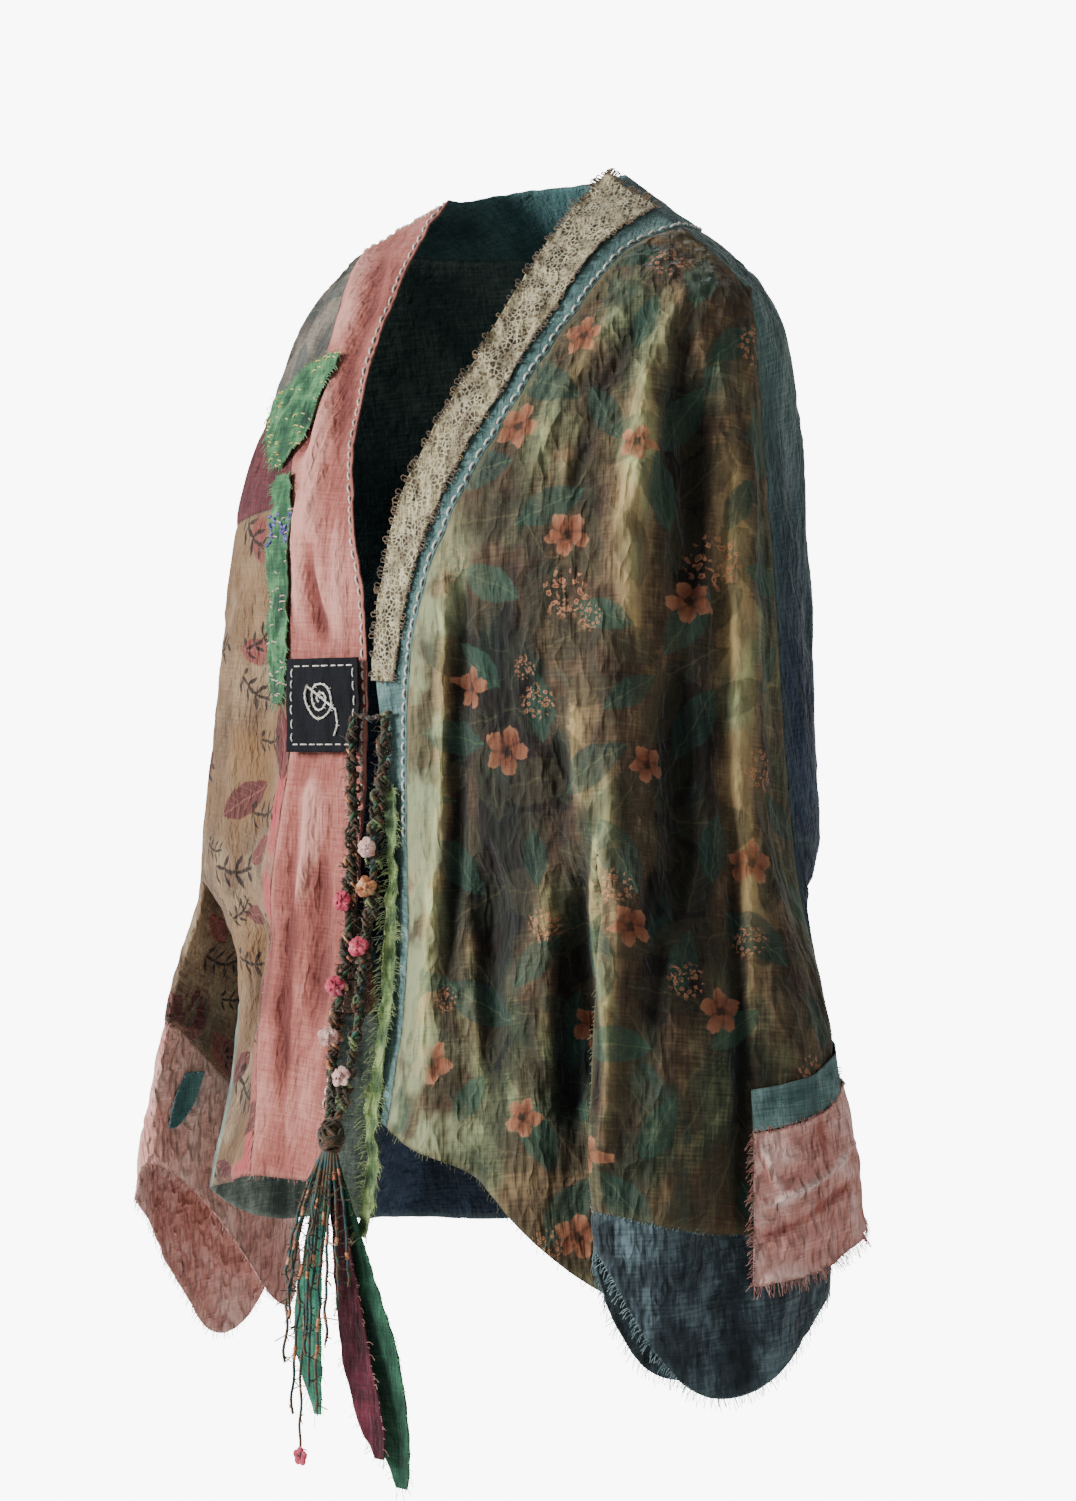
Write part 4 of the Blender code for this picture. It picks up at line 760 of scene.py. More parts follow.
@dataclass(frozen=True)
class Crumple:
    """The small irregular creases that washed linen and crepe keep."""

    across: float = 0.024
    high: float = 0.060
    fine: float = 0.42
    depth: float = 0.0023
    seed: float = 3.7

    def lift(self, points: np.ndarray) -> np.ndarray:
        """Return the crumple's height at each point, in metres.

        Args:
            points: N by 3 points.

        Returns:
            N heights.
        """
        result = np.empty(len(points))
        for k, (x, y, z) in enumerate(points):
            place = Vector((x / self.across, y / self.across, z / self.high + self.seed))
            place.x += 0.7 * noise.noise(place * 0.5 + UP * 8.0)
            broad = 1.0 - 2.0 * abs(noise.noise(place))
            small = 1.0 - 2.6 * abs(noise.noise(place / self.fine + UP * self.seed))
            swell = noise.noise(place * 0.35)
            result[k] = (0.6 * broad + 0.42 * small + 0.5 * swell - 0.40) * self.depth
        return result


@dataclass
class SewnCloth:
    """All the sewn panels as one fine cloth, so that creases run across the seams."""

    view: PhotoView
    sides: tuple[CreaseView, ...]
    crumple: Crumple = field(default_factory=Crumple)
    sew_reach: float = 0.0016
    cuts: int = 3
    seam_sink: float = 0.0009
    seam_width: float = 0.0035
    seam_calm: float = 0.012
    relief_unit: float = 0.006
    thickness: float = 0.0012

    def sew(self) -> bpy.types.Object:
        """Join the skins of all panels at their seams.

        Returns:
            The coarse cloth, with a material index for each panel.
        """
        whole = bmesh.new()
        for number, panel in enumerate(PANELS):
            skin = CadSkin(panel.node, panel.axis).take()
            open_tube(skin)
            obj = make_object("skin", skin)
            lay_flat(obj)
            for face in obj.data.polygons:
                face.material_index = number
            whole.from_mesh(obj.data)
            bpy.data.objects.remove(obj)
        rims = [vert for vert in whole.verts if vert.is_boundary]
        bmesh.ops.remove_doubles(whole, verts=rims, dist=self.sew_reach)
        return make_object("whole_cloth", whole)

    def refine(self) -> None:
        """Subdivide the sewn cloth and keep its plain and its creased points."""
        coarse = self.sew()
        for _ in PANELS:
            coarse.data.materials.append(None)
        self.mesh = subdivided(coarse, self.cuts)
        self.plain = points_of(self.mesh)
        self.normals = normals_of(self.mesh)
        self.owner = np.empty(len(self.mesh.polygons), dtype=int)
        self.mesh.polygons.foreach_get("material_index", self.owner)
        self.tree = surface_of(self.mesh)
        self.find_seams()
        self.worn = self.plain + self.normals * self.relief()[:, None]
        LOG.info("sewn cloth: %d faces", len(self.mesh.polygons))

    def find_seams(self) -> None:
        """Measure how far each point lies from the nearest seam or raw edge."""
        self.seams: dict[tuple[int, int], tuple[int, int]] = {}
        self.edges: dict[tuple[int, int], int] = {}
        for key, faces in edge_faces(self.mesh).items():
            owners = {int(self.owner[k]) for k in faces}
            if len(faces) == 1:
                self.edges[key] = int(self.owner[faces[0]])
            elif len(owners) == 2:
                self.seams[key] = tuple(sorted(owners))
        self.seam_gap = self.gap_to({k for key in self.seams for k in key})
        self.edge_gap = self.gap_to({k for key in self.edges for k in key})

    def gap_to(self, marks: set[int]) -> np.ndarray:
        """Return each point's distance to the nearest of some points."""
        near = nearest_of([self.plain[k] for k in sorted(marks)])
        return np.array([near.find(point)[2] for point in self.plain])

    def relief(self) -> np.ndarray:
        """Add the creases of all sides, the crumple and the sunk seams.

        Returns:
            The lift of each point along its normal, in metres.
        """
        total = np.zeros(len(self.plain))
        free = np.ones(len(self.plain))
        for side in self.sides:
            lift, facing = side.relief(self.plain, self.normals, self.view)
            total += lift * free
            free = free * (1.0 - facing)
        self.creased = total
        sunk = -self.seam_sink * np.exp(-((self.seam_gap / self.seam_width) ** 2))
        calm = 0.35 + 0.65 * smooth_step(self.seam_gap / self.seam_calm)
        return total * calm + self.crumple.lift(self.plain) * calm + sunk

    def chain(self, first: str, second: str | None = None) -> list[list[Vector]]:
        """Follow the seam between two panels, or a panel's raw edges.

        Args:
            first: the panel's node.
            second: the other panel's node, or None for raw edges.

        Returns:
            The runs of point numbers, longest first.
        """
        if second is None:
            keys = [key for key, owner in self.edges.items() if NODES[owner] == first]
        else:
            pair = tuple(sorted((NODES.index(first), NODES.index(second))))
            keys = [key for key, owners in self.seams.items() if owners == pair]
        return link_runs(keys)

    def nearest(self, point: Vector) -> tuple[Vector, Vector, int]:
        """Find the creased cloth under a point of the plain one.

        Args:
            point: a point near the plain cloth.

        Returns:
            The matching point of the creased cloth, the plain one, and the face's number.
        """
        hit, _, number, _ = self.tree.find_nearest(point)
        corners = self.mesh.polygons[number].vertices
        a, b, c = (Vector(self.plain[k]) for k in corners[:3])
        p, q, r = (Vector(self.worn[k]) for k in corners[:3])
        return barycentric_transform(hit, a, b, c, p, q, r), hit, number

    def settle(self, points: list[Vector], least: float) -> list[Vector]:
        """Move points from the plain cloth to the creased one.

        Args:
            points: points near the plain cloth.
            least: the least height above the cloth that they keep.

        Returns:
            The moved points.
        """
        moved = []
        for point in points:
            worn, plain, number = self.nearest(point)
            normal = self.mesh.polygons[number].normal
            offset = point - plain
            rise = offset.dot(normal)
            moved.append(worn + offset - normal * rise + normal * max(rise, least))
        return moved

    def cut(self, panel: Panel) -> bpy.types.Object:
        """Cut one panel from the creased cloth as a thin shell.

        Args:
            panel: the panel.

        Returns:
            Its object, which rides on the jacket and replaces the panel's node.
        """
        number = NODES.index(panel.node)
        work = bmesh.new()
        work.from_mesh(self.mesh)
        work.verts.ensure_lookup_table()
        # The relief layer holds the crease height that the material turns into painted light on ridges and
        # painted shade in troughs.
        layers = {
            "relief": self.creased / self.relief_unit,
            "seam": np.minimum(self.seam_gap, self.edge_gap) / MM,
            "raw": self.edge_gap / MM,
        }
        for name, values in layers.items():
            layer = work.verts.layers.float.new(name)
            for vert in work.verts:
                vert[layer] = float(values[vert.index])
        for vert in work.verts:
            vert.co = self.worn[vert.index]
        others = [face for face in work.faces if face.material_index != number]
        bmesh.ops.delete(work, geom=others, context="FACES")
        for face in work.faces:
            face.material_index = 0
        obj = make_object(f"cloth_{panel.node}", work)
        thicken(obj, self.thickness)
        fasten(obj, panel.node)
        return obj


def link_runs(keys: list[tuple[int, int]]) -> list[list[int]]:
    """Link edges end to end.

    Args:
        keys: pairs of point numbers.

    Returns:
        Runs of point numbers, longest first.
    """
    beside: dict[int, list[int]] = {}
    for a, b in keys:
        beside.setdefault(a, []).append(b)
        beside.setdefault(b, []).append(a)
    left = {tuple(sorted(key)) for key in keys}
    runs = []
    starts = sorted(beside, key=lambda k: (len(beside[k]) != 1, k))
    for start in starts:
        while True:
            run = [start]
            while True:
                step = next((k for k in beside[run[-1]] if tuple(sorted((run[-1], k))) in left), None)
                if step is None:
                    break
                left.discard(tuple(sorted((run[-1], step))))
                run.append(step)
            if len(run) < 2:
                break
            runs.append(run)
    return sorted(runs, key=len, reverse=True)


TONES = (0.12, 0.48, 0.88)


@dataclass(frozen=True)
class Woven:
    """Washed plain-woven linen or cotton: uneven threads, worn edges, ridges paled by wear and by painted
    light, and troughs darkened by painted shade.

    The thread's real spacing is about 0.5 mm. It is drawn about three times as coarse, so that it shows.
    """

    name: str
    shade: str
    body: str
    worn_and_lit: str
    thread: float = 1.6
    mottle: float = 38.0
    blotch: float = 0.55
    grain: float = 0.50
    relief_wear_and_shade: float = 0.42
    roughness: float = 0.86
    sheen: float = 0.12
    weave_depth: float = 0.0011
    crinkle: float = 7.0
    crinkle_depth: float = 0.004

    def build(self) -> bpy.types.Material:
        """Make the material.

        Returns:
            The finished cloth material.
        """
        feel = {"Roughness": self.roughness, "Sheen Weight": self.sheen, "Sheen Roughness": 0.5}
        material, tree, shader = new_material(self.name, {**feel, "Specular IOR Level": 0.25})
        threads = self.threads(tree)
        colour = self.paint(tree, self.dye(tree, self.tone(tree, threads)))
        tree.links.new(self.worn_edge(tree, colour), shader.inputs["Base Color"])
        tree.links.new(self.surface(tree, threads), shader.inputs["Normal"])
        return material

    def threads(self, tree: Tree) -> Socket:
        """Return the slubby warp and weft as one value round 0.5.

        Args:
            tree: the material's node tree.

        Returns:
            The value.
        """
        cloth = add(tree, PLACE, out="UV")
        close = 1 / (self.thread * MM)
        warp_place = add(tree, MAPPING, cloth, Scale=(close, close / 16, 1.0))
        weft_place = add(tree, MAPPING, cloth, Scale=(close / 16, close, 1.0))
        warp = add(tree, NOISE, Vector=warp_place, Scale=1.0, Detail=2.0)
        weft = add(tree, NOISE, Vector=weft_place, Scale=1.0, Detail=2.0)
        return add(tree, "MULTIPLY", add(tree, "ADD", warp, weft), 0.5)

    def tone(self, tree: Tree, threads: Socket) -> Socket:
        """Return the tone: 0 in troughs darkened by painted shade, 1 on ridges paled by wear and by painted
        light.

        Args:
            tree: the material's node tree.
            threads: the value of the warp and weft.

        Returns:
            The tone.
        """
        relief = add(tree, ATTRIBUTE, attribute_name="relief", out="Fac")
        place = add(tree, PLACE, out="Object")
        patch = add(tree, MAPPING, place, Scale=(1.0, 1.0, 0.55))
        cloud = add(tree, NOISE, Vector=patch, Scale=1000 / self.mottle, Detail=5.0, Roughness=0.6)
        # The relief lightens the ridges and darkens the troughs: partly wear, partly painted light on the
        # ridges and painted shade in the troughs.
        lift = add(tree, "MULTIPLY_ADD", relief, self.relief_wear_and_shade, 0.5)
        mottled = add(tree, "MULTIPLY_ADD", add(tree, "SUBTRACT", cloud, 0.5), self.blotch * 2, lift)
        return add(tree, "MULTIPLY_ADD", add(tree, "SUBTRACT", threads, 0.5), self.grain * 2, mottled)

    def dye(self, tree: Tree, tone: Socket) -> Socket:
        """Return the ground colour for a tone."""
        return add(tree, RAMP, tone, stops=tuple(zip(TONES, (self.shade, self.body, self.worn_and_lit))))

    def paint(self, tree: Tree, colour: Socket) -> Socket:
        """Return the colour with nothing printed on it."""
        return colour

    def worn_edge(self, tree: Tree, colour: Socket) -> Socket:
        """Darken the sunk seam line and lighten the worn cloth beside it."""
        gap = add(tree, ATTRIBUTE, attribute_name="seam", out="Fac")
        dark = over(tree, add(tree, SPAN, gap, 0.2, 2.2, 0.35, 0.0), colour, self.shade)
        return over(tree, add(tree, SPAN, gap, 2.0, 7.0, 0.16, 0.0), dark, self.worn_and_lit)

    def surface(self, tree: Tree, threads: Socket) -> Socket:
        """Return the normal: fine crinkles with the threads on them.

        Args:
            tree: the material's node tree.
            threads: the value of the warp and weft.

        Returns:
            The normal.
        """
        place = add(tree, PLACE, out="Object")
        drawn = add(tree, MAPPING, place, Scale=(1.0, 1.0, 0.45))
        crinkle = add(tree, NOISE, Vector=drawn, Scale=1000 / self.crinkle, Detail=2.0, Roughness=0.5)
        middle = add(tree, "SUBTRACT", crinkle, 0.5)
        ridged = add(tree, "MULTIPLY_ADD", add(tree, "ABSOLUTE", middle), -1.0, 1.0)
        crinkled = add(tree, BUMP, Height=ridged, Distance=self.crinkle_depth, Strength=1.0)
        return add(tree, BUMP, Height=threads, Distance=self.weave_depth, Strength=1.0, Normal=crinkled)


def over(tree: Tree, share: object, below: object, above: object, blend: str = "MIX") -> Socket:
    """Lay one colour over another.

    Args:
        tree: the node tree.
        share: how much of the upper colour shows.
        below: the lower colour.
        above: the upper colour.
        blend: the way they mix.

    Returns:
        The mixed colour.
    """
    return add(tree, MIX, at={0: share, 6: below, 7: above}, out=2, data_type="RGBA", blend_type=blend)


@dataclass(frozen=True)
class Motif:
    """A printed motif, drawn in its own stamped coordinates."""

    stamp: str
    wobble: float = 0.10

    def local(self, tree: Tree) -> tuple[Socket, ...]:
        """Return the stamp's own two coordinates and its kind, wobbled like a hand-cut block.

        Args:
            tree: the material's node tree.

        Returns:
            The three values.
        """
        raw = add(tree, ATTRIBUTE, attribute_name=self.stamp, out="Vector")
        shake = add(tree, NOISE, Vector=raw, Scale=3.0, Detail=2.0, out="Color")
        centred = add(tree, VECTORS, shake, (0.5, 0.5, 0.5), operation="SUBTRACT")
        sway = (self.wobble * 2, self.wobble * 2, 0.0)
        moved = add(tree, VECTORS, centred, sway, raw, operation="MULTIPLY_ADD")
        x = add(tree, SPLIT, moved, out="X")
        y = add(tree, SPLIT, moved, out="Y")
        return x, y, add(tree, SPLIT, raw, out="Z")

    def draw(self, tree: Tree, colour: Socket) -> Socket:
        """Lay the motif over a colour.

        Args:
            tree: the node tree.
            colour: the colour under it.

        Returns:
            The colour with the motif on it.
        """
        mask, ink = self.shape(tree, *self.local(tree))
        return over(tree, mask, colour, ink)


@dataclass(frozen=True)
class LeafMotif(Motif):
    """A pointed leaf with a rib and side veins."""

    broad: float = 0.46
    dark: str = "#1C3D36"
    light: str = "#345645"
    vein: str = "#6E8766"
    strength: float = 0.85

    def shape(self, tree: Tree, x: Socket, y: Socket, kind: Socket) -> tuple[Socket, Socket | str]:
        """Return where the motif is printed, and its colour there.

        Args:
            tree: the material's node tree.
            x: the first of the motif's own two coordinates.
            y: the second.
            kind: the number that tells a stamp's motifs apart.

        Returns:
            The share of print, and the colour as a socket or a hex code.
        """
        side = add(tree, "ABSOLUTE", y)
        round_off = add(tree, "MULTIPLY_ADD", add(tree, "MULTIPLY", x, x), -1.0, 1.0)
        edge = add(tree, "MULTIPLY", round_off, self.broad)
        inside = add(tree, "SUBTRACT", edge, side)
        mask = add(tree, SPAN, inside, 0.0, 0.05, 0.0, self.strength)
        rib = add(tree, SPAN, side, 0.012, 0.035, 0.7, 0.0)
        slant = add(tree, "MULTIPLY_ADD", side, -1.3, x)
        row = add(tree, "SINE", add(tree, "MULTIPLY", slant, 22.0))
        veins = add(tree, SPAN, row, 0.86, 1.0, 0.0, 0.38)
        shade = over(tree, kind, self.dark, self.light)
        veined = over(tree, add(tree, "MAXIMUM", rib, veins), shade, self.vein)
        return mask, veined


@dataclass(frozen=True)
class BloomMotif(Motif):
    """A five-petalled blossom with a dark heart, or a head of small ones."""

    petal: str = "#8E5238"
    tip: str = "#B67E5E"
    fold: str = "#5E3222"
    heart: str = "#33160D"
    strength: float = 0.80
    wobble: float = 0.22

    def shape(self, tree: Tree, x: Socket, y: Socket, kind: Socket) -> tuple[Socket, Socket | str]:
        """Return where the motif is printed, and its colour there.

        Args:
            tree: the material's node tree.
            x: the first of the motif's own two coordinates.
            y: the second.
            kind: the number that tells a stamp's motifs apart.

        Returns:
            The share of print, and the colour as a socket or a hex code.
        """
        flat = add(tree, "ShaderNodeCombineXYZ", x, y)
        radius = add(tree, VECTORS, flat, operation="LENGTH", out="Value")
        turn = add(tree, "ARCTAN2", y, x)
        beat = add(tree, "COSINE", add(tree, "MULTIPLY", turn, 2.5))
        lobe = add(tree, "POWER", add(tree, "ABSOLUTE", beat), 0.55)
        reach = add(tree, "MULTIPLY_ADD", lobe, 0.52, 0.42)
        inside = add(tree, "SUBTRACT", reach, radius)
        open_mask = add(tree, SPAN, inside, 0.0, 0.06, 0.0, self.strength)
        single = add(tree, "LESS_THAN", kind, 1.5)
        is_print = add(tree, "GREATER_THAN", kind, 0.5)
        head = add(tree, CELLS, Vector=flat, Scale=4.2, out="Distance", feature="F1")
        dot = add(tree, SPAN, head, 0.36, 0.46, 1.0, 0.0)
        near = add(tree, SPAN, radius, 0.74, 0.96, self.strength, 0.0)
        head_mask = add(tree, "MULTIPLY", dot, near)
        chosen = add(tree, MIX, at={0: single, 2: head_mask, 3: open_mask}, out=0, data_type="FLOAT")
        mask = add(tree, "MULTIPLY", chosen, is_print)
        rays = add(tree, "SINE", add(tree, "MULTIPLY", turn, 35.0))
        streak = add(tree, SPAN, rays, -0.2, 1.0, 0.0, 0.30)
        petal = over(tree, lobe, self.fold, over(tree, streak, self.petal, self.fold))
        tipped = over(tree, add(tree, SPAN, radius, 0.45, 0.95, 0.0, 0.8), petal, self.tip)
        hearted = over(tree, add(tree, SPAN, radius, 0.15, 0.27, 0.95, 0.0), tipped, self.heart)
        berry = over(tree, add(tree, SPAN, head, 0.10, 0.3, 0.8, 0.0), self.tip, self.fold)
        return mask, over(tree, single, berry, hearted)


@dataclass(frozen=True)
class TwigMotif(Motif):
    """A plain brushed twig: one bowed stroke with pairs of slim leaves."""

    ink: str = "#2B211D"
    strength: float = 0.95

    def shape(self, tree: Tree, x: Socket, y: Socket, kind: Socket) -> tuple[Socket, Socket | str]:
        """Return where the motif is printed, and its colour there.

        Args:
            tree: the material's node tree.
            x: the first of the motif's own two coordinates.
            y: the second.
            kind: the number that tells a stamp's motifs apart.

        Returns:
            The share of print, and the colour as a socket or a hex code.
        """
        bow = add(tree, "MULTIPLY_ADD", add(tree, "MULTIPLY", x, x), -0.22, y)
        side = add(tree, "ABSOLUTE", bow)
        stem = add(tree, SPAN, side, 0.04, 0.08, 1.0, 0.0)
        cell = add(tree, "FRACT", add(tree, "MULTIPLY_ADD", x, 1.9, 0.2))
        lean = add(tree, "MULTIPLY_ADD", side, -1.15, add(tree, "SUBTRACT", cell, 0.42))
        from_mid = add(tree, "MULTIPLY", add(tree, "SUBTRACT", side, 0.27), 4.0)
        swell = add(tree, "MULTIPLY_ADD", add(tree, "MULTIPLY", from_mid, from_mid), -1.0, 1.0)
        slim = add(tree, "MULTIPLY", swell, 0.19)
        leaf_in = add(tree, "SUBTRACT", slim, add(tree, "ABSOLUTE", lean))
        leaf = add(tree, SPAN, leaf_in, 0.0, 0.03, 0.0, 1.0)
        both = add(tree, "MAXIMUM", stem, leaf)
        ends = add(tree, SPAN, add(tree, "ABSOLUTE", x), 0.82, 0.92, self.strength, 0.0)
        here = add(tree, "GREATER_THAN", kind, 0.5)
        return add(tree, "MULTIPLY", add(tree, "MULTIPLY", both, ends), here), self.ink


@dataclass(frozen=True)
class OlivePrint(Woven):
    """Crepe-crinkled cotton voile, block-printed with leaves, stems and orange blossoms, worn pale, with
    painted highlights on its ridges and painted shade in its troughs.
    """

    browns: tuple[str, str, str] = ("#1A130D", "#4A3A2A", "#8A7452")
    greens: tuple[str, str, str] = ("#111D18", "#33432F", "#8D9A70")
    teal: str = "#24483F"
    lit_edge: str = "#9CA47C"
    stem: str = "#5E6A48"

    def dye(self, tree: Tree, tone: Socket) -> Socket:
        """Return blotches of brown, green and teal, each paler on the ridges by wear and painted light,
        darker in the troughs by painted shade.

        Args:
            tree: the material's node tree.
            tone: how light the cloth is.

        Returns:
            The ground colour.
        """
        place = add(tree, PLACE, out="Object")
        patch = add(tree, MAPPING, place, Scale=(1.0, 1.0, 0.6))
        big = add(tree, NOISE, Vector=patch, Scale=16.0, Detail=4.0, Roughness=0.6)
        small = add(tree, NOISE, Vector=patch, Scale=34.0, Detail=3.0)
        brown = add(tree, RAMP, tone, stops=tuple(zip((0.16, 0.50, 0.92), self.browns)))
        green = add(tree, RAMP, tone, stops=tuple(zip((0.16, 0.50, 0.88), self.greens)))
        mixed = over(tree, add(tree, SPAN, big, 0.51, 0.64, 0.0, 0.80), brown, green)
        return over(tree, add(tree, SPAN, small, 0.60, 0.70, 0.0, 0.55), mixed, self.teal)

    def paint(self, tree: Tree, colour: Socket) -> Socket:
        """Print stems, two layers of leaves and the blossoms, then add painted light on the lower front edge
        and the ridges and painted shade in the troughs.

        Args:
            tree: the material's node tree.
            colour: the cloth's colour so far.

        Returns:
            The printed colour.
        """
        cloth = add(tree, PLACE, out="UV")
        drift = add(tree, NOISE, Vector=cloth, Scale=20.0, Detail=1.5)
        off = add(tree, "ABSOLUTE", add(tree, "SUBTRACT", drift, 0.5))
        stem = add(tree, SPAN, off, 0.003, 0.007, 0.14, 0.0)
        result = over(tree, stem, colour, self.stem)
        low_leaf = LeafMotif("leaf_low", dark="#262C20", light="#433F2C", vein="#5E5A40", strength=0.50)
        high_leaf = LeafMotif("leaf_high", vein="#50694F", strength=0.60)
        for motif in (low_leaf, high_leaf, BloomMotif("bloom")):
            result = motif.draw(tree, result)
        relief = add(tree, ATTRIBUTE, attribute_name="relief", out="Fac")
        gap = add(tree, ATTRIBUTE, attribute_name="seam", out="Fac")
        place = add(tree, PLACE, out="Object")
        across = add(tree, SPLIT, place, out="X")
        high = add(tree, SPLIT, place, out="Z")
        # Painted light: a pale strip along the lower front edge, broken into patches.
        near = add(tree, SPAN, gap, 25.0, 34.0, 1.0, 0.0)
        front = add(tree, SPAN, across, 0.06, 0.10, 1.0, 0.0)
        low = add(tree, SPAN, high, -0.26, -0.18, 1.0, 0.0)
        strip = add(tree, "MULTIPLY", add(tree, "MULTIPLY", near, front), low)
        patchy = add(tree, NOISE, Vector=place, Scale=32.0, Detail=3.0)
        washed = add(tree, SPAN, patchy, 0.43, 0.55, 0.10, 0.72)
        worn_and_lit = add(tree, "MULTIPLY", strip, washed)
        result = over(tree, worn_and_lit, result, self.lit_edge)
        # Painted highlights on the ridges, broken into streaks and palest on the highest ridges.
        streaked = add(tree, MAPPING, place, Scale=(1.0, 1.0, 0.30))
        streaks = add(tree, NOISE, Vector=streaked, Scale=95.0, Detail=3.0)
        broken = add(tree, SPAN, streaks, 0.42, 0.60, 0.15, 1.0)
        raised = add(tree, SPAN, relief, 0.25, 1.05, 0.0, 1.0)
        painted_highlight = add(tree, "MULTIPLY", raised, broken)
        lighter = over(tree, painted_highlight, result, (2.1, 2.15, 1.8, 1.0), "MULTIPLY")
        worn = add(tree, "MULTIPLY", add(tree, SPAN, relief, 0.7, 1.6, 0.0, 0.4), broken)
        highlighted = over(tree, worn, lighter, "#A6AE88")
        # Painted shade: darken the troughs.
        deep = add(tree, SPAN, relief, -0.9, -0.15, 0.6, 0.0)
        return over(tree, deep, highlighted, (0.42, 0.38, 0.34, 1.0), "MULTIPLY")


@dataclass(frozen=True)
class TanPrint(Woven):
    """Tan cotton, blotched with ochre and printed with brushed twigs, red leaves and a pink-red edge."""

    ochre: str = "#7E5E3E"
    pale: str = "#A08B70"
    stripe: str = "#B04A50"

    def paint(self, tree: Tree, colour: Socket) -> Socket:
        """Print ochre clouds, red leaves and dark twigs.

        Args:
            tree: the material's node tree.
            colour: the cloth's colour so far.

        Returns:
            The printed colour.
        """
        place = add(tree, PLACE, out="Object")
        cloud = add(tree, NOISE, Vector=place, Scale=13.0, Detail=3.0)
        high = add(tree, SPLIT, place, out="Z")
        upper = add(tree, SPAN, high, -0.42, -0.26, 0.0, 0.6)
        clouded = add(tree, SPAN, cloud, 0.46, 0.62, 0.0, 0.7)
        ochre = over(tree, add(tree, "ADD", clouded, upper, use_clamp=True), colour, self.ochre)
        other = add(tree, NOISE, Vector=place, Scale=21.0, Detail=2.0)
        pale = over(tree, add(tree, SPAN, other, 0.55, 0.72, 0.0, 0.55), ochre, self.pale)
        gap = add(tree, ATTRIBUTE, attribute_name="seam", out="Fac")
        near = add(tree, SPAN, gap, 9.0, 14.0, 0.9, 0.0)
        inner = add(tree, SPAN, add(tree, SPLIT, place, out="X"), -0.15, -0.13, 0.0, 1.0)
        under = add(tree, SPAN, high, -0.345, -0.335, 1.0, 0.0)
        edge = add(tree, "MULTIPLY", add(tree, "MULTIPLY", near, inner), under)
        ragged = add(tree, SPAN, other, 0.36, 0.50, 0.2, 1.0)
        pale = over(tree, add(tree, "MULTIPLY", edge, ragged), pale, self.stripe)
        leaf = LeafMotif("leaf_low", dark="#4A1C24", light="#7A3A38", vein="#8C5850")
        return TwigMotif("twig").draw(tree, leaf.draw(tree, pale))


@dataclass(frozen=True)
class GreyPrint(Woven):
    """Grey-brown cotton with faint leaf prints."""

    def paint(self, tree: Tree, colour: Socket) -> Socket:
        """Print faint leaves."""
        low = LeafMotif("leaf_low", dark="#1E2422", light="#3E4A48", vein="#6A6A5C", strength=0.75)
        return low.draw(tree, colour)


@dataclass(frozen=True)
class DippedCloth(Woven):
    """Cotton dyed slate-teal at the shoulder and dipped to navy below."""

    deep: tuple[str, str, str] = ("#0F1622", "#1E2A3A", "#3C4B60")
    dip_top: float = -0.10
    dip_end: float = -0.30

    def dye(self, tree: Tree, tone: Socket) -> Socket:
        """Return slate-teal that turns to navy down the cloth.

        Args:
            tree: the material's node tree.
            tone: how light the cloth is.

        Returns:
            The ground colour.
        """
        upper = super().dye(tree, tone)
        lower = add(tree, RAMP, tone, stops=tuple(zip(TONES, self.deep)))
        place = add(tree, PLACE, out="Object")
        high = add(tree, SPLIT, place, out="Z")
        creep = add(tree, NOISE, Vector=place, Scale=14.0, Detail=4.0)
        level = add(tree, "MULTIPLY_ADD", add(tree, "SUBTRACT", creep, 0.5), 0.16, high)
        dipped = add(tree, SPAN, level, self.dip_end, self.dip_top, 1.0, 0.0)
        return over(tree, dipped, upper, lower)


@dataclass(frozen=True)
class Lace(Woven):
    """Cotton lace laid on a brownish strip: cream cords round small cells and close blossoms of thread.

    The mesh's cells are about 2 mm across in the real lace and are drawn at 3.2 mm, so that they show.
    """

    cord: str = "#D8CFAC"
    cell: float = 3.2
    blossom: float = 11.0

    def paint(self, tree: Tree, colour: Socket) -> Socket:
        """Lay the cream cords and blossoms over the ground.

        Args:
            tree: the material's node tree.
            colour: the cloth's colour so far.

        Returns:
            The printed colour.
        """
        cloth = add(tree, PLACE, out="UV")
        rims = "DISTANCE_TO_EDGE"
        net = add(tree, CELLS, Vector=cloth, Scale=1000 / self.cell, out="Distance", feature=rims)
        mesh = add(tree, SPAN, net, 0.06, 0.16, 0.75, 0.0)
        heads = add(tree, CELLS, Vector=cloth, Scale=1000 / self.blossom, out="Distance", feature="F1")
        ring = add(tree, "SINE", add(tree, "MULTIPLY", heads, 26.0))
        petals = add(tree, SPAN, ring, 0.1, 0.8, 0.0, 0.8)
        near = add(tree, SPAN, heads, 0.30, 0.50, 1.0, 0.0)
        close = add(tree, "MULTIPLY", petals, near)
        cords = add(tree, "MAXIMUM", mesh, close)
        worn = add(tree, NOISE, Vector=cloth, Scale=60.0, Detail=3.0)
        kept = add(tree, SPAN, worn, 0.35, 0.60, 0.25, 1.0)
        return over(tree, add(tree, "MULTIPLY", cords, kept), colour, self.cord)


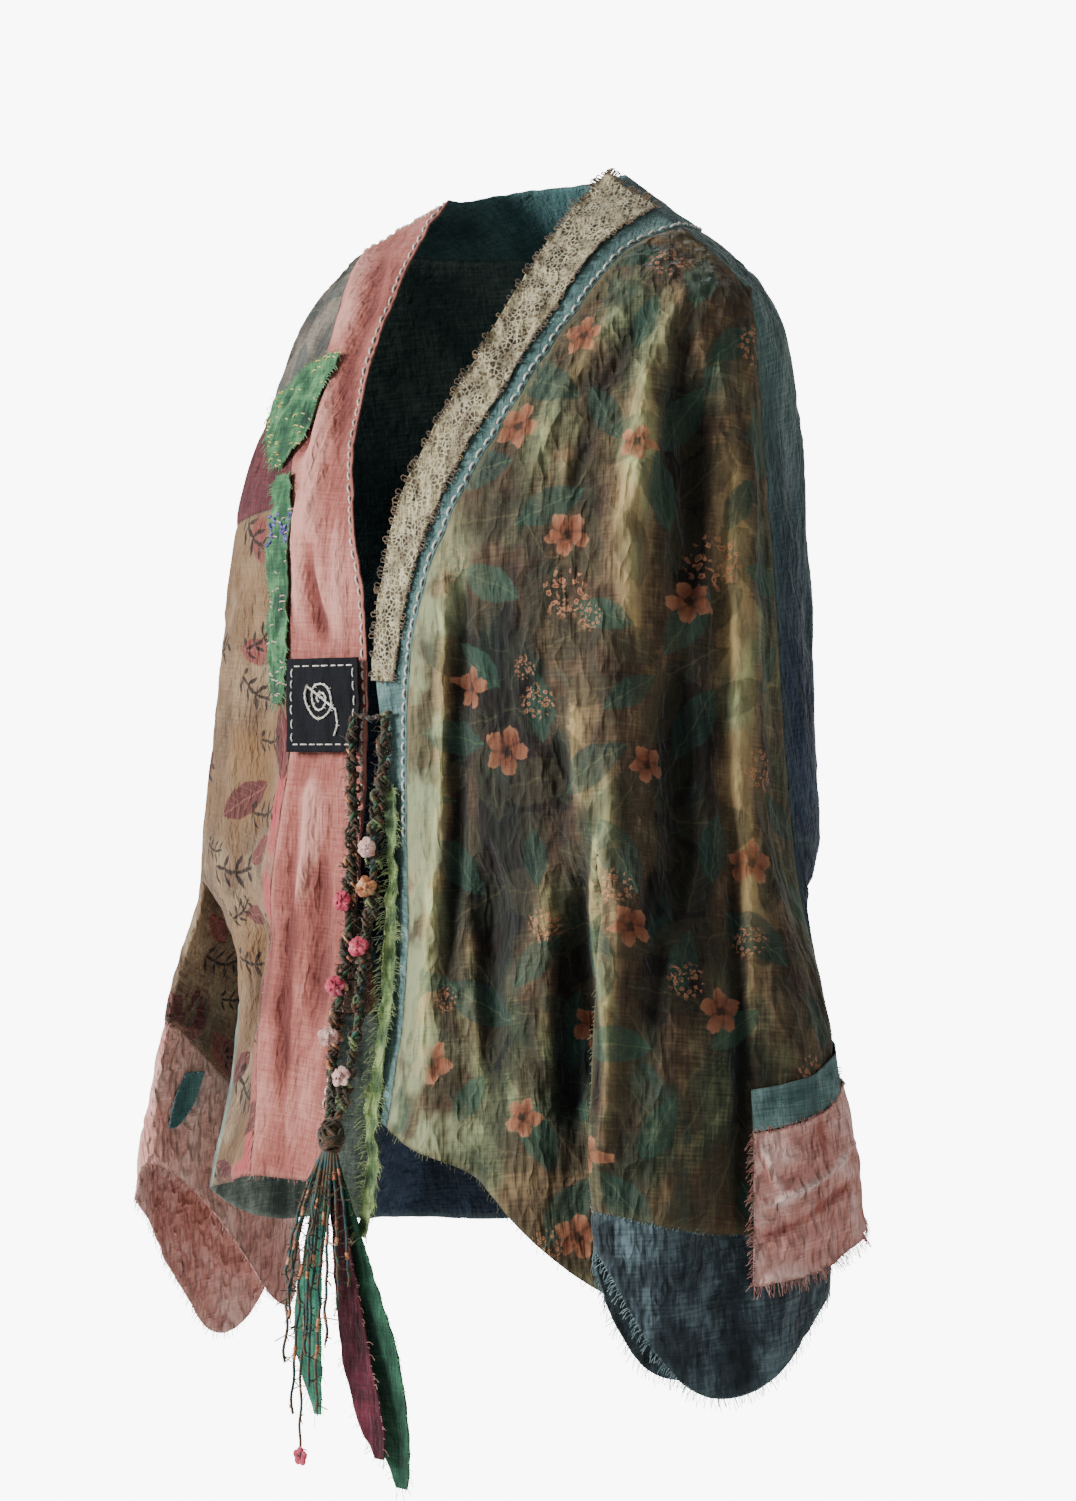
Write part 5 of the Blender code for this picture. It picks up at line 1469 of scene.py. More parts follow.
class Finish(Enum):
    """The cloth finishes of the jacket, by what each one is."""

    OLIVE_PRINT = OlivePrint("cotton_voile_block_printed_olive", "#1B160F", "#463A26", "#857A54", relief_wear_and_shade=0.72,
                             grain=0.35, mottle=26.0, blotch=0.75, crinkle=15.0, crinkle_depth=0.012)
    PINK_LINEN = Woven("linen_washed_salmon_pink", "#6A3530", "#9C5A50", "#CE9184", thread=1.5, relief_wear_and_shade=0.55,
                       grain=0.38, crinkle=10.0, crinkle_depth=0.006)
    # A lighter copy of the pink linen, painted light on the cuffs, with deeper crinkles.
    PINK_CUFF = Woven("linen_crinkled_salmon_pink_painted_light", "#AC665B", "#DB9C90", "#F6D0C6", thread=1.5, grain=0.4,
                      crinkle=13.0, crinkle_depth=0.030)
    DENIM = Woven("cotton_garment_dyed_denim_blue", "#263838", "#476462", "#82A09C", thread=1.2, relief_wear_and_shade=0.3)
    SLATE_CUFF = Woven("cotton_overdyed_slate_blue", "#171E22", "#303C42", "#64787F", mottle=18.0, blotch=1.0,
                       crinkle=12.0, crinkle_depth=0.014)
    NAVY = DippedCloth("cotton_dip_dyed_navy", "#263A3E", "#3C5552", "#64807B", dip_top=-0.12, dip_end=-0.34)
    SLATE_BACK = DippedCloth("cotton_dip_dyed_slate_teal", "#2A3C40", "#47605C", "#7C938D", relief_wear_and_shade=0.50,
                             crinkle_depth=0.008)
    TEAL = Woven("cotton_dyed_dark_teal", "#1D3839", "#325556", "#5B8280", thread=1.2)
    GREY_PRINT = GreyPrint("cotton_printed_grey_brown", "#38332F", "#5E574F", "#8A8274", blotch=0.9)
    BURGUNDY = Woven("cotton_dyed_burgundy", "#35141A", "#54242A", "#784044")
    TAN_PRINT = TanPrint("cotton_printed_tan", "#3E3026", "#6E5A48", "#A08A6E", mottle=30.0, blotch=1.0,
                         crinkle_depth=0.008)
    GREY_GREEN = Woven("cotton_streaked_grey_green", "#3C4A45", "#66746B", "#98A69B", mottle=18.0, blotch=1.0)
    LACE = Lace("lace_cotton_cream", "#2E251B", "#584A37", "#988C6B", thread=1.3, grain=0.7, mottle=9.0,
                blotch=1.5)
    GREEN_SCRAP = Woven("cotton_scrap_bright_green", "#16352A", "#2D5A3A", "#5F9062", mottle=12.0, blotch=1.0)
    NAVY_PATCH = Woven("wool_felted_near_black_navy", "#020306", "#05070E", "#10141F", thread=1.4, sheen=0.0,
                       crinkle_depth=0.002)
    YELLOW_GREEN = Woven("ribbon_hand_dyed_yellow_green", "#1F382A", "#557042", "#98A86E", mottle=11.0,
                         blotch=1.5)
    GREEN_TAIL = Woven("cotton_torn_strip_green", "#124534", "#236850", "#4F957A", mottle=20.0)
    BURGUNDY_TAIL = Woven("cotton_torn_strip_burgundy", "#1A050B", "#3A0D19", "#682638", mottle=20.0)
    DARK_GREEN_TAIL = Woven("voile_torn_strip_dark_green", "#0B2A20", "#16402E", "#33694C", mottle=20.0)

    def material(self) -> bpy.types.Material:
        """Return the finish's material, made once."""
        made = bpy.data.materials.get(self.value.name)
        return made or self.value.build()


@dataclass(frozen=True)
class Stamps:
    """Where a motif is stamped on a panel: each mark gets its own flat coordinates on the faces round it."""

    name: str
    least: float
    most: float
    spacing: float
    seed: int
    marks: tuple[tuple[float, float, float, float], ...] = ()
    fill: int = 400
    fill_kinds: tuple[float, ...] = (1.0,)
    spread: float = 1.0
    reach: float = 1.35

    def stamp(self, obj: bpy.types.Object, view: PhotoView) -> None:
        """Write the motif's coordinates on a panel.

        Args:
            obj: the panel, cut from the creased cloth.
            view: the photograph's viewpoint, for marks given by its pixels.
        """
        mesh = obj.data
        points = points_of(mesh)
        normals = normals_of(mesh)
        centres = np.array([tuple(face.center) for face in mesh.polygons])
        faces_out = np.array([tuple(face.normal) for face in mesh.polygons])
        spots = self.places(mesh, view, centres)
        count = len(spots)
        middle = np.array([tuple(spot[0]) for spot in spots])
        size = np.array([spot[1] for spot in spots])
        kind = np.array([spot[2] for spot in spots])
        across = np.empty((count, 3))
        along = np.empty((count, 3))
        out = np.empty((count, 3))
        draw = random.Random(self.seed + 1)
        for k in range(count):
            near = np.linalg.norm(points - middle[k], axis=1) < size[k] * 0.8
            mean = Vector(normals[near].mean(axis=0) if near.any() else (0, -1, 0)).normalized()
            side = UP.cross(mean).normalized()
            rise = mean.cross(side)
            turn = draw.uniform(-math.pi, math.pi) * self.spread
            across[k] = side * math.cos(turn) + rise * math.sin(turn)
            along[k] = rise * math.cos(turn) - side * math.sin(turn)
            out[k] = mean
        best = np.full(len(centres), -1)
        closest = np.full(len(centres), self.reach)
        for k in range(count):
            far = np.linalg.norm(centres - middle[k], axis=1) / size[k]
            take = (far < closest) & (faces_out @ out[k] > 0.0)
            best[take] = k
            closest[take] = far[take]
        layer = mesh.attributes.new(self.name, "FLOAT_VECTOR", "CORNER")
        values = np.zeros((len(mesh.loops), 3))
        values[:, 0] = 9.0
        for face in mesh.polygons:
            k = best[face.index]
            if k < 0:
                continue
            for corner in face.loop_indices:
                gap = points[mesh.loops[corner].vertex_index] - middle[k]
                values[corner] = (gap @ across[k] / size[k], gap @ along[k] / size[k], kind[k])
        layer.data.foreach_set("vector", values.ravel())

    def places(
        self, mesh: bpy.types.Mesh, view: PhotoView, centres: np.ndarray
    ) -> list[tuple[Vector, float, float]]:
        """Choose the marks: those that the photograph shows, then others spaced over the rest.

        Args:
            mesh: the panel's mesh.
            view: the photograph's viewpoint.
            centres: the middles of its faces.

        Returns:
            Each mark's middle, radius and kind.
        """
        draw = random.Random(self.seed)
        tree = surface_of(mesh)
        found: list[tuple[Vector, float, float]] = []
        for x, y, radius, kind in self.marks:
            hit = tree.ray_cast(view.eye(), view.ray(x, y))[0]
            if hit is not None:
                found.append((hit, radius * MM, kind))
        for _ in range(self.fill):
            place = Vector(centres[draw.randrange(len(centres))])
            if all((place - spot[0]).length > self.spacing for spot in found):
                found.append((place, draw.uniform(self.least, self.most), draw.choice(self.fill_kinds)))
        return found


LEAVES_LOW = Stamps("leaf_low", 0.024, 0.036, 0.030, 11, fill=900, fill_kinds=(0.0, 0.4, 0.8))
LEAVES_HIGH = Stamps("leaf_high", 0.019, 0.030, 0.045, 23, marks=((647, 321, 20, 0.2), (605, 412, 22, 0.1)),
                     fill=500, fill_kinds=(0.0, 0.3, 0.7))
BLOOMS = Stamps(
    "bloom", 0.013, 0.017, 0.070, 37, fill=260, fill_kinds=(1.0, 1.0, 2.0),
    marks=(
        (567, 534, 16, 1), (566, 592, 18, 2), (472, 688, 16, 1), (538, 702, 13, 2), (506, 751, 18, 1),
        (615, 885, 13, 2), (630, 926, 15, 1), (688, 980, 14, 2), (722, 1011, 16, 1), (430, 1062, 16, 1),
        (446, 1000, 9, 2), (492, 1207, 15, 1), (577, 1237, 16, 1), (548, 1245, 12, 2), (755, 348, 16, 2),
        (712, 560, 20, 2), (690, 602, 16, 1), (760, 770, 16, 2), (752, 862, 15, 1), (750, 940, 12, 2),
        (541, 925, 12, 2), (524, 668, 9, 2), (590, 616, 10, 2),
    ),
)
TWIGS = Stamps(
    "twig", 0.018, 0.025, 0.046, 53, fill=200, spread=0.22,
    marks=(
        (262, 640, 19, 1), (254, 692, 20, 1), (272, 742, 16, 1), (232, 872, 23, 1), (242, 912, 15, 1),
        (222, 964, 21, 1), (252, 964, 18, 1), (236, 1000, 16, 1), (214, 850, 15, 1),
    ),
)
TAN_LEAVES = Stamps("leaf_low", 0.016, 0.028, 0.060, 71, fill=160, fill_kinds=(0.0, 0.5, 1.0),
                    marks=((245, 800, 26, 0.1), (262, 850, 18, 0.5), (258, 915, 16, 0.3)))
GREY_LEAVES = Stamps("leaf_low", 0.020, 0.030, 0.032, 83, fill=120, fill_kinds=(0.0, 0.5, 1.0))
PRINTS: dict[str, tuple[Stamps, ...]] = {
    "left_front": (LEAVES_LOW, LEAVES_HIGH, BLOOMS),
    "right_front": (TAN_LEAVES, TWIGS),
    "right_shoulder": (GREY_LEAVES,),
}
PANEL_FINISH = {
    "back": Finish.SLATE_BACK,
    "left_front": Finish.OLIVE_PRINT,
    "left_band": Finish.DENIM,
    "left_cuff": Finish.SLATE_CUFF,
    "left_sleeve_back": Finish.NAVY,
    "neck_band": Finish.TEAL,
    "right_band": Finish.PINK_LINEN,
    "right_shoulder": Finish.GREY_PRINT,
    "right_burgundy": Finish.BURGUNDY,
    "right_front": Finish.TAN_PRINT,
    "right_gore": Finish.GREY_GREEN,
    "right_sleeve_back": Finish.SLATE_BACK,
    "right_cuff": Finish.PINK_CUFF,
}


@dataclass
class Threads:
    """Many short threads gathered into one mesh, each a thin tube along its own points."""

    name: str
    radius: float
    sides: int = 0
    runs: list[tuple[list[Vector], float]] = field(default_factory=list)

    def lay(self, points: list[Vector], thick: float = 1.0) -> None:
        """Add one thread along some points, thick times the usual radius."""
        self.runs.append((points, thick))

    def spun(self, thread: Spun) -> bpy.types.Object:
        """Turn the threads into one object.

        Args:
            thread: what they are spun from.

        Returns:
            The object, not yet fastened to the jacket.
        """
        curve = bpy.data.curves.new(self.name, "CURVE")
        curve.dimensions = "3D"
        curve.bevel_depth = self.radius
        curve.bevel_resolution = self.sides
        curve.use_fill_caps = True
        for points, thick in self.runs:
            line = curve.splines.new("POLY")
            line.points.add(len(points) - 1)
            for entry, place in zip(line.points, points):
                entry.co = (*place, 1.0)
                entry.radius = thick
        mesh = baked(linked(self.name, curve))
        mesh.name = self.name
        mesh.materials.clear()
        mesh.materials.append(thread.build())
        mesh.shade_smooth()
        return linked(self.name, mesh)

    def build(self, thread: Spun, slot: str, node: str | None = None) -> bpy.types.Object:
        """Turn the threads into one object that rides on the jacket.

        Args:
            thread: what they are spun from.
            slot: the record's material slot; not used.
            node: the node that they stand for.

        Returns:
            The object.
        """
        obj = self.spun(thread)
        fasten(obj, node)
        return obj


@dataclass(frozen=True)
class Spun:
    """Spun thread or yarn: dyed in short lengths, with a soft halo on its edges."""

    name: str
    tones: tuple[str, ...]
    length: float = 14.0
    roughness: float = 0.8
    sheen: float = 0.3
    ply: float = 0.9

    def build(self) -> bpy.types.Material:
        """Return the thread's material, made once.

        Returns:
            The material.
        """
        made = bpy.data.materials.get(self.name)
        if made:
            return made
        feel = {"Roughness": self.roughness, "Sheen Weight": self.sheen, "Specular IOR Level": 0.3}
        material, tree, shader = new_material(self.name, feel)
        place = add(tree, PLACE, out="Object")
        drift = add(tree, NOISE, Vector=place, Scale=1000 / self.length, Detail=3.0)
        step = 0.36 / max(len(self.tones) - 1, 1)
        stops = tuple((0.32 + k * step, tone) for k, tone in enumerate(self.tones))
        tone = add(tree, RAMP, drift, stops=stops)
        strands = add(tree, NOISE, Vector=place, Scale=1000 / self.ply, Detail=1.0)
        shade = add(tree, SPAN, strands, 0.35, 0.65, 0.0, 0.45)
        tree.links.new(over(tree, shade, tone, (0.02, 0.015, 0.012, 1.0)), shader.inputs["Base Color"])
        bump = add(tree, BUMP, Height=strands, Distance=0.0004, Strength=0.8)
        tree.links.new(bump, shader.inputs["Normal"])
        return material


CREAM_THREAD = Spun("thread_cotton_cream", ("#D6CFB6", "#F1EEE4", "#FBFAF4"), 9.0)
BLUE_THREAD = Spun("thread_faded_blue", ("#5E8590", "#7FA0A5", "#A9C0C2"), 9.0)
PINK_THREAD = Spun("thread_linen_pink", ("#A9655C", "#CF9084", "#E7BEB2"), 9.0)
BROWN_THREAD = Spun("thread_cotton_brown", ("#4A382A", "#6E583F", "#8A7350"), 9.0)
OLIVE_THREAD = Spun("thread_voile_olive", ("#3A3A26", "#6A6B42", "#99A070"), 9.0)
LIME_THREAD = Spun("thread_ribbon_yellow_green", ("#3A5832", "#748850", "#AAB67A"), 9.0)
GREEN_THREAD = Spun("thread_silk_green", ("#2F6B44", "#5FA56E", "#9BCB93"), 9.0)
YELLOW_THREAD = Spun("thread_silk_yellow", ("#B79A3F", "#D9C76A", "#EBDD98"), 9.0)
VIOLET_BEAD = Spun("bead_glass_violet", ("#3C3F8A", "#6A5FB0", "#8F8AC8"), 5.0, roughness=0.25, sheen=0.0)
YARN_BROWN = Spun("yarn_mohair_brown_green", ("#22160F", "#4A2E1C", "#2A3520", "#6E4428", "#3A2416"), 9.0)
YARN_GREEN = Spun("yarn_mohair_green", ("#12261A", "#2A4A30", "#3F6A45", "#4A3220", "#1A3A34"), 12.0)
YARN_TEAL = Spun("yarn_mohair_teal", ("#0F2A2C", "#245A58", "#6A4426", "#2F6A5A"), 10.0)
FLOWER_PINK = Spun("thread_satin_pink", ("#A01F3C", "#D63E5C", "#F07F92"), 5.0, roughness=0.6)
FLOWER_PALE = Spun("thread_satin_pale_pink", ("#C98C84", "#E8B7AE", "#F6DCD4"), 5.0, roughness=0.6)
FLOWER_ORANGE = Spun("thread_satin_orange", ("#A85A2E", "#D98A5A", "#EBB487"), 5.0, roughness=0.6)


@dataclass(frozen=True)
class Fray:
    """How a raw edge frays: the threads' spacing and usual length, looped if they go back in as picots do."""

    thread: Spun
    spacing: float
    length: float
    looped: bool = False


@dataclass
class Edging:
    """Stitches, frayed threads and picots, laid along seams and raw edges of the creased cloth."""

    cloth: SewnCloth
    stitch: float = 0.0056
    gap: float = 0.0026
    arch: float = 0.0007
    sunk: float = 0.0006
    probe: float = 0.004
    close: float = 0.0015
    spacing: float = 0.002

    def inset(self, run: list[int], panel: str, inward: float) -> list[tuple[Vector, Vector]]:
        """Shift a seam's points into one of its panels.

        Args:
            run: the point numbers along the seam.
            panel: the panel's node.
            inward: how far, in metres.

        Returns:
            Points on the creased cloth with their normals.
        """
        number = NODES.index(panel)
        plain = [Vector(self.cloth.plain[k]) for k in run]
        count = max(int(length_of(plain) / self.spacing), 4)
        line = even(plain, count)
        votes = 0
        sides = []
        for k, place in enumerate(line):
            ahead = line[min(k + 1, count - 1)] - line[max(k - 1, 0)]
            _, _, face = self.cloth.nearest(place)
            side = Vector(self.cloth.mesh.polygons[face].normal).cross(ahead).normalized()
            sides.append(side)
            if k % 8 == 0:
                _, hit, beyond = self.cloth.nearest(place + side * self.probe)
                close = (hit - place - side * self.probe).length < self.close
                votes += 1 if close and self.cloth.owner[beyond] == number else -1
        sign = 1.0 if votes > 0 else -1.0
        result = []
        for place, side in zip(line, sides):
            worn, _, face = self.cloth.nearest(place + side * (sign * inward))
            result.append((worn, Vector(self.cloth.mesh.polygons[face].normal)))
        return result

    def running(self, threads: Threads, line: list[tuple[Vector, Vector]], stand: float = 0.0) -> None:
        """Lay running stitches along a line.

        Args:
            threads: where the stitches are gathered.
            line: points about 2 mm apart, with their normals.
            stand: how far the surface lies above the points.
        """
        draw = random.Random(len(line))
        points = [place + normal * stand for place, normal in line]
        length = length_of(points)
        gone = self.spacing
        while gone + self.stitch < length:
            reach = self.stitch * draw.uniform(0.82, 1.15)
            stops = [gone + reach * share for share in (0.0, 0.18, 0.5, 0.82, 1.0)]
            lifts = (-self.sunk, 0.35 * self.arch, self.arch, 0.35 * self.arch, -self.sunk)
            laid = []
            for stop, lift in zip(stops, lifts):
                place = min(int(stop / length * (len(points) - 1)), len(points) - 2)
                share = stop / length * (len(points) - 1) - place
                laid.append(points[place].lerp(points[place + 1], share) + line[place][1] * lift)
            threads.lay(laid)
            gone += reach + self.gap * draw.uniform(0.7, 1.4)

    def fray(
        self, threads: Threads, obj: bpy.types.Object, fray: Fray, seed: int, below: float = math.inf
    ) -> None:
        """Draw loose threads out of the raw edges of a piece.

        Args:
            threads: where they are gathered.
            obj: the piece, whose mesh is still a single skin.
            fray: how its edges fray.
            seed: the random draws' seed.
            below: the height under which the edges are frayed.
        """
        draw = random.Random(seed)
        mesh = obj.data
        for (first, second), faces in sorted(edge_faces(mesh).items()):
            a, b = mesh.vertices[first].co, mesh.vertices[second].co
            middle = (a + b) / 2
            if len(faces) != 1 or middle.z >= below:
                continue
            face = mesh.polygons[faces[0]]
            along = (b - a).normalized()
            out = middle - face.center
            out = (out - along * out.dot(along)).normalized()
            for _ in range(int((b - a).length / fray.spacing + draw.random())):
                root = a.lerp(b, draw.random()) - out * 0.001
                reach = fray.length * draw.uniform(0.4, 1.5)
                if fray.looped:
                    tip = root + out * (reach + 0.001)
                    wide = along * reach * 0.5
                    crown = tip + out * reach * 0.3
                    threads.lay([root - wide * 0.6, tip - wide, crown, tip + wide, root + wide * 0.6])
                    continue
                drift = along * draw.uniform(-0.5, 0.5) + face.normal * draw.uniform(-0.25, 0.35)
                sag = Vector((0.0, 0.0, -0.4 * reach))
                middle = root + (out + drift * 0.5).normalized() * reach * 0.5
                tip = root + (out + drift).normalized() * reach + sag
                threads.lay([root, middle, tip], draw.uniform(0.7, 1.2))


@dataclass(frozen=True)
class LaidPiece:
    """A scrap, band or ribbon that lies on the sewn cloth, frayed at its raw edges."""

    node: str
    slot: str
    finish: Finish
    flat: tuple[float, float]
    area: float
    axis: tuple[float, float] = BODY_AXIS
    wall: float = 0.0015
    levels: int = 3
    stand: float = 0.0013
    ripple: float = 0.0006
    fray: Fray | None = None
    on_cloth: bool = True
    seed: int = 5
    folds: tuple[Crease, ...] = ()
    thickness: float = 0.0009
    swell_size: float = 0.012
    curl_size: float = 0.009
    curl_reach: float = 0.003
    relief_unit: float = 0.002
    lies_within: float = 0.006
    frees_over: float = 0.010

    def build(self, cloth: SewnCloth, edging: Edging) -> bpy.types.Object:
        """Fit the piece to the creased cloth and finish it.

        Args:
            cloth: the sewn cloth.
            edging: lays its loose threads.

        Returns:
            The piece.
        """
        skin = self.skin()
        open_tube(skin)
        coarse = make_object(f"laid_{self.node}", skin)
        lay_flat(coarse)
        mesh = subdivided(coarse, self.levels)
        obj = linked(f"laid_{self.node}", mesh)
        plain = [vert.co.copy() for vert in mesh.vertices]
        normals = [entry.vector.copy() for entry in mesh.vertex_normals]
        placed = self.placed(cloth, plain)
        own = CreaseView(42.0, self.folds, in_px=True, deepen=1.0)
        folded, _ = own.relief(np.array(placed), np.array(normals), cloth.view)
        gap = self.rim_gap(mesh)
        work = bmesh.new()
        work.from_mesh(mesh)
        raw = work.verts.layers.float.new("raw")
        seam = work.verts.layers.float.new("seam")
        relief = work.verts.layers.float.new("relief")
        work.verts.ensure_lookup_table()
        for k, vert in enumerate(work.verts):
            swell = noise.noise(plain[k] / self.swell_size + UP * self.seed)
            rim = math.exp(-gap[k] / self.curl_reach)
            curl = rim * (0.5 + noise.noise(plain[k] / self.curl_size))
            vert.co = placed[k] + normals[k] * (self.ripple * (swell + 1.6 * curl) + float(folded[k]))
            vert[raw] = gap[k] / MM
            vert[seam] = max(gap[k] / MM, 2.3)
            # The relief holds a random swell and the folds, which the material turns into painted light and
            # shade.
            vert[relief] = swell * 0.6 + float(folded[k]) / self.relief_unit
        work.to_mesh(mesh)
        work.free()
        mesh.shade_smooth()
        obj.data.materials.clear()
        obj.data.materials.append(self.finish.material())
        if self.fray:
            threads = Threads(f"fray_{self.node}", 0.00045 if self.fray.looped else 0.00022)
            edging.fray(threads, obj, self.fray, self.seed)
            threads.build(self.fray.thread, self.slot)
        thicken(obj, self.thickness)
        fasten(obj, self.node)
        LOG.info("laid %s: %d faces", self.node, len(mesh.polygons))
        return obj

    def skin(self) -> bmesh.types.BMesh:
        """Return the outer face of the node."""
        return CadSkin(self.node, self.axis, self.wall).take()

    def placed(self, cloth: SewnCloth, plain: list[Vector]) -> list[Vector]:
        """Return the points on the creased cloth, or as they hang where the piece leaves it.

        Args:
            cloth: the sewn cloth.
            plain: the points before the cloth was creased.

        Returns:
            The places, one for each point.
        """
        if not self.on_cloth:
            return plain
        settled = cloth.settle(plain, self.stand)
        result = []
        for place, moved in zip(plain, settled):
            away = (place - cloth.nearest(place)[1]).length
            free = float(smooth_step(np.array((away - self.lies_within) / self.frees_over)))
            result.append(moved.lerp(place, free))
        return result

    def rim_gap(self, mesh: bpy.types.Mesh) -> list[float]:
        """Return each point's distance to the piece's edge."""
        rim = sorted({k for key, faces in edge_faces(mesh).items() if len(faces) == 1 for k in key})
        near = nearest_of([mesh.vertices[k].co for k in rim])
        return [near.find(vert.co)[2] for vert in mesh.vertices]


@dataclass(frozen=True)
class SquarePatch(LaidPiece):
    """The navy square, with a border of running stitches and a couched cream cord."""

    half: tuple[float, float] = (0.034, 0.031)
    centre: tuple[float, float] = (-0.058, -0.330)
    front: float = -0.1365
    border: float = 0.005
    spiral_centre: tuple[float, float] = (-0.0590, -0.3260)
    spiral_radius: float = 0.015
    spiral_turns: float = 2.6
    spiral_start: float = 0.35
    spiral_tail: tuple[tuple[float, float], ...] = ((-0.044, -0.333), (-0.042, -0.342), (-0.046, -0.350))
    cord_lift: float = 0.0008
    cord_twist: float = 0.0003

    def skin(self) -> bmesh.types.BMesh:
        """Return a square grid in front of the plain cloth.

        Returns:
            The skin as a bmesh.
        """
        work = bmesh.new()
        bmesh.ops.create_grid(work, x_segments=8, y_segments=8, size=1.0)
        spin = Matrix.Rotation(math.radians(90), 4, "X")
        bmesh.ops.transform(work, matrix=spin, verts=work.verts)
        bmesh.ops.scale(work, verts=work.verts, vec=(self.half[0], 1.0, self.half[1]))
        bmesh.ops.translate(work, verts=work.verts, vec=(self.centre[0], self.front, self.centre[1]))
        return work

    def sew_on(self, obj: bpy.types.Object, edging: Edging) -> None:
        """Add the border stitches and the couched cord.

        Args:
            obj: the finished square.
            edging: lays the stitches.
        """
        front = surface_of(obj.data)
        stitches = Threads("stitches_square", 0.00055, 1)
        reach_x, reach_z = self.half[0] - self.border, self.half[1] - self.border
        corners = [(-1, 1), (1, 1), (1, -1), (-1, -1), (-1, 1)]
        for (a, b), (c, d) in zip(corners, corners[1:]):
            line = []
            for share in (k / 33 for k in range(34)):
                x = self.centre[0] + reach_x * (a + (c - a) * share)
                z = self.centre[1] + reach_z * (b + (d - b) * share)
                line.append(self.face_of(front, x, z))
            edging.running(stitches, line)
        stitches.build(CREAM_THREAD, "cream_cord")
        laid = []
        for place in even(self.spiral(), 110):
            hit, normal = self.face_of(front, place.x, place.z)
            laid.append(hit + normal * self.cord_lift)
        cord = Threads("couched_cord", 0.0007, 2)
        for phase in (0.0, 0.5):
            wound = []
            for k, place in enumerate(laid):
                angle = math.tau * (k / 5.0 + phase)
                across = self.cord_twist * math.cos(angle)
                wound.append(place + Vector((across, -self.cord_twist * math.sin(angle), across)))
            cord.lay(wound, 0.75)
        low, high = Vector((0, 0.0008, 0)), Vector((0, -0.0011, 0))
        for k in range(5, len(laid) - 3, 9):
            side = (laid[k + 1] - laid[k]).normalized().cross(FORWARD) * 0.0016
            cord.lay([laid[k] + side + low, laid[k] + high, laid[k] - side + low], 0.45)
        cord.build(CREAM_THREAD, "cream_cord", "spiral_cord")

    def face_of(self, front: BVHTree, x: float, z: float) -> tuple[Vector, Vector]:
        """Return the square's front at a place, and its normal.

        Args:
            front: the square's front skin.
            x: how far to the wearer's left, in metres.
            z: how high, in metres.

        Returns:
            The place and its normal.
        """
        hit, normal, _, _ = front.ray_cast(Vector((x, -1.0, z)), Vector((0.0, 1.0, 0.0)))
        if hit is None:
            hit, normal, _, _ = front.find_nearest(Vector((x, self.front, z)))
        return hit, normal if normal.y < 0 else -normal

    def spiral(self) -> list[Vector]:
        """Return the couched cord's route across and up the square, from the inner end to the tail.

        Returns:
            The route's points.
        """
        route = []
        for k in range(90):
            turn = self.spiral_start + (self.spiral_turns - self.spiral_start) * k / 89
            radius = self.spiral_radius * turn / self.spiral_turns
            x = self.spiral_centre[0] + radius * math.cos(math.tau * turn)
            z = self.spiral_centre[1] - radius * math.sin(math.tau * turn)
            route.append((x, z))
        return [Vector((x, 0.0, z)) for x, z in [*route, *self.spiral_tail]]


GREEN_FRAY = Fray(GREEN_THREAD, 0.0015, 0.004)
CUFF_FOLDS = (
    Crease(((742, 1216), (785, 1199), (830, 1172), (866, 1128)), 2.6, 2.4),
    Crease(((760, 1136), (772, 1168), (785, 1199)), 2.2, 1.8),
    Crease(((750, 1240), (800, 1222), (868, 1170)), 3.0, -1.6),
    Crease(((812, 1086), (822, 1130), (826, 1172)), 2.4, -1.6),
)
LAID = (
    LaidPiece("lace_strip", "lace", Finish.LACE, (0.032, 0.40), 0.0115, levels=4, ripple=0.0009, seed=3,
              fray=Fray(BROWN_THREAD, 0.0034, 0.0022, looped=True)),
    LaidPiece("opening_ribbon", "yellow_green_ribbon", Finish.YELLOW_GREEN, (0.012, 0.30), 0.0027,
              ripple=0.0026, seed=7, fray=Fray(LIME_THREAD, 0.0010, 0.006)),
    LaidPiece("cuff_band", "denim_band", Finish.DENIM, (0.13, 0.03), 0.0029, LEFT_ARM, levels=4, seed=9),
    LaidPiece("cuff_patch", "pink_linen", Finish.PINK_CUFF, (0.14, 0.12), 0.0153, LEFT_ARM, levels=4,
              ripple=0.0016, seed=13, fray=Fray(PINK_THREAD, 0.0008, 0.005), folds=CUFF_FOLDS),
    LaidPiece("green_leaf", "green_scrap", Finish.GREEN_SCRAP, (0.06, 0.10), 0.0044, ripple=0.0012, seed=17,
              fray=GREEN_FRAY),
    LaidPiece("green_strip", "green_scrap", Finish.GREEN_SCRAP, (0.030, 0.17), 0.0046, levels=4,
              ripple=0.0012, seed=19, fray=GREEN_FRAY),
    LaidPiece("cuff_gusset", "teal_neck", Finish.TEAL, (0.022, 0.04), 0.0006, RIGHT_ARM, levels=4, seed=29,
              fray=Fray(BLUE_THREAD, 0.0018, 0.003)),
    LaidPiece("tail_green", "green_strip", Finish.GREEN_TAIL, (0.028, 0.18), 0.0031, wall=0.0014, levels=4,
              ripple=0.0008, seed=31, fray=Fray(GREEN_THREAD, 0.003, 0.005), on_cloth=False),
    LaidPiece("tail_burgundy", "burgundy_cloth", Finish.BURGUNDY_TAIL, (0.030, 0.20), 0.0040, wall=0.0014,
              levels=4, ripple=0.0008, seed=37, fray=Fray(PINK_THREAD, 0.005, 0.004), on_cloth=False),
    LaidPiece("tail_dark_green", "dark_green_strip", Finish.DARK_GREEN_TAIL, (0.030, 0.22), 0.0042,
              wall=0.0014, levels=4, ripple=0.0008, seed=41, fray=Fray(GREEN_THREAD, 0.005, 0.005),
              on_cloth=False),
)
SQUARE = SquarePatch("square_patch", "navy_patch", Finish.NAVY_PATCH, (0.068, 0.062), 0.0042, levels=2,
                     stand=0.0016, ripple=0.0004, seed=43)


YARN_STEP = 0.0022


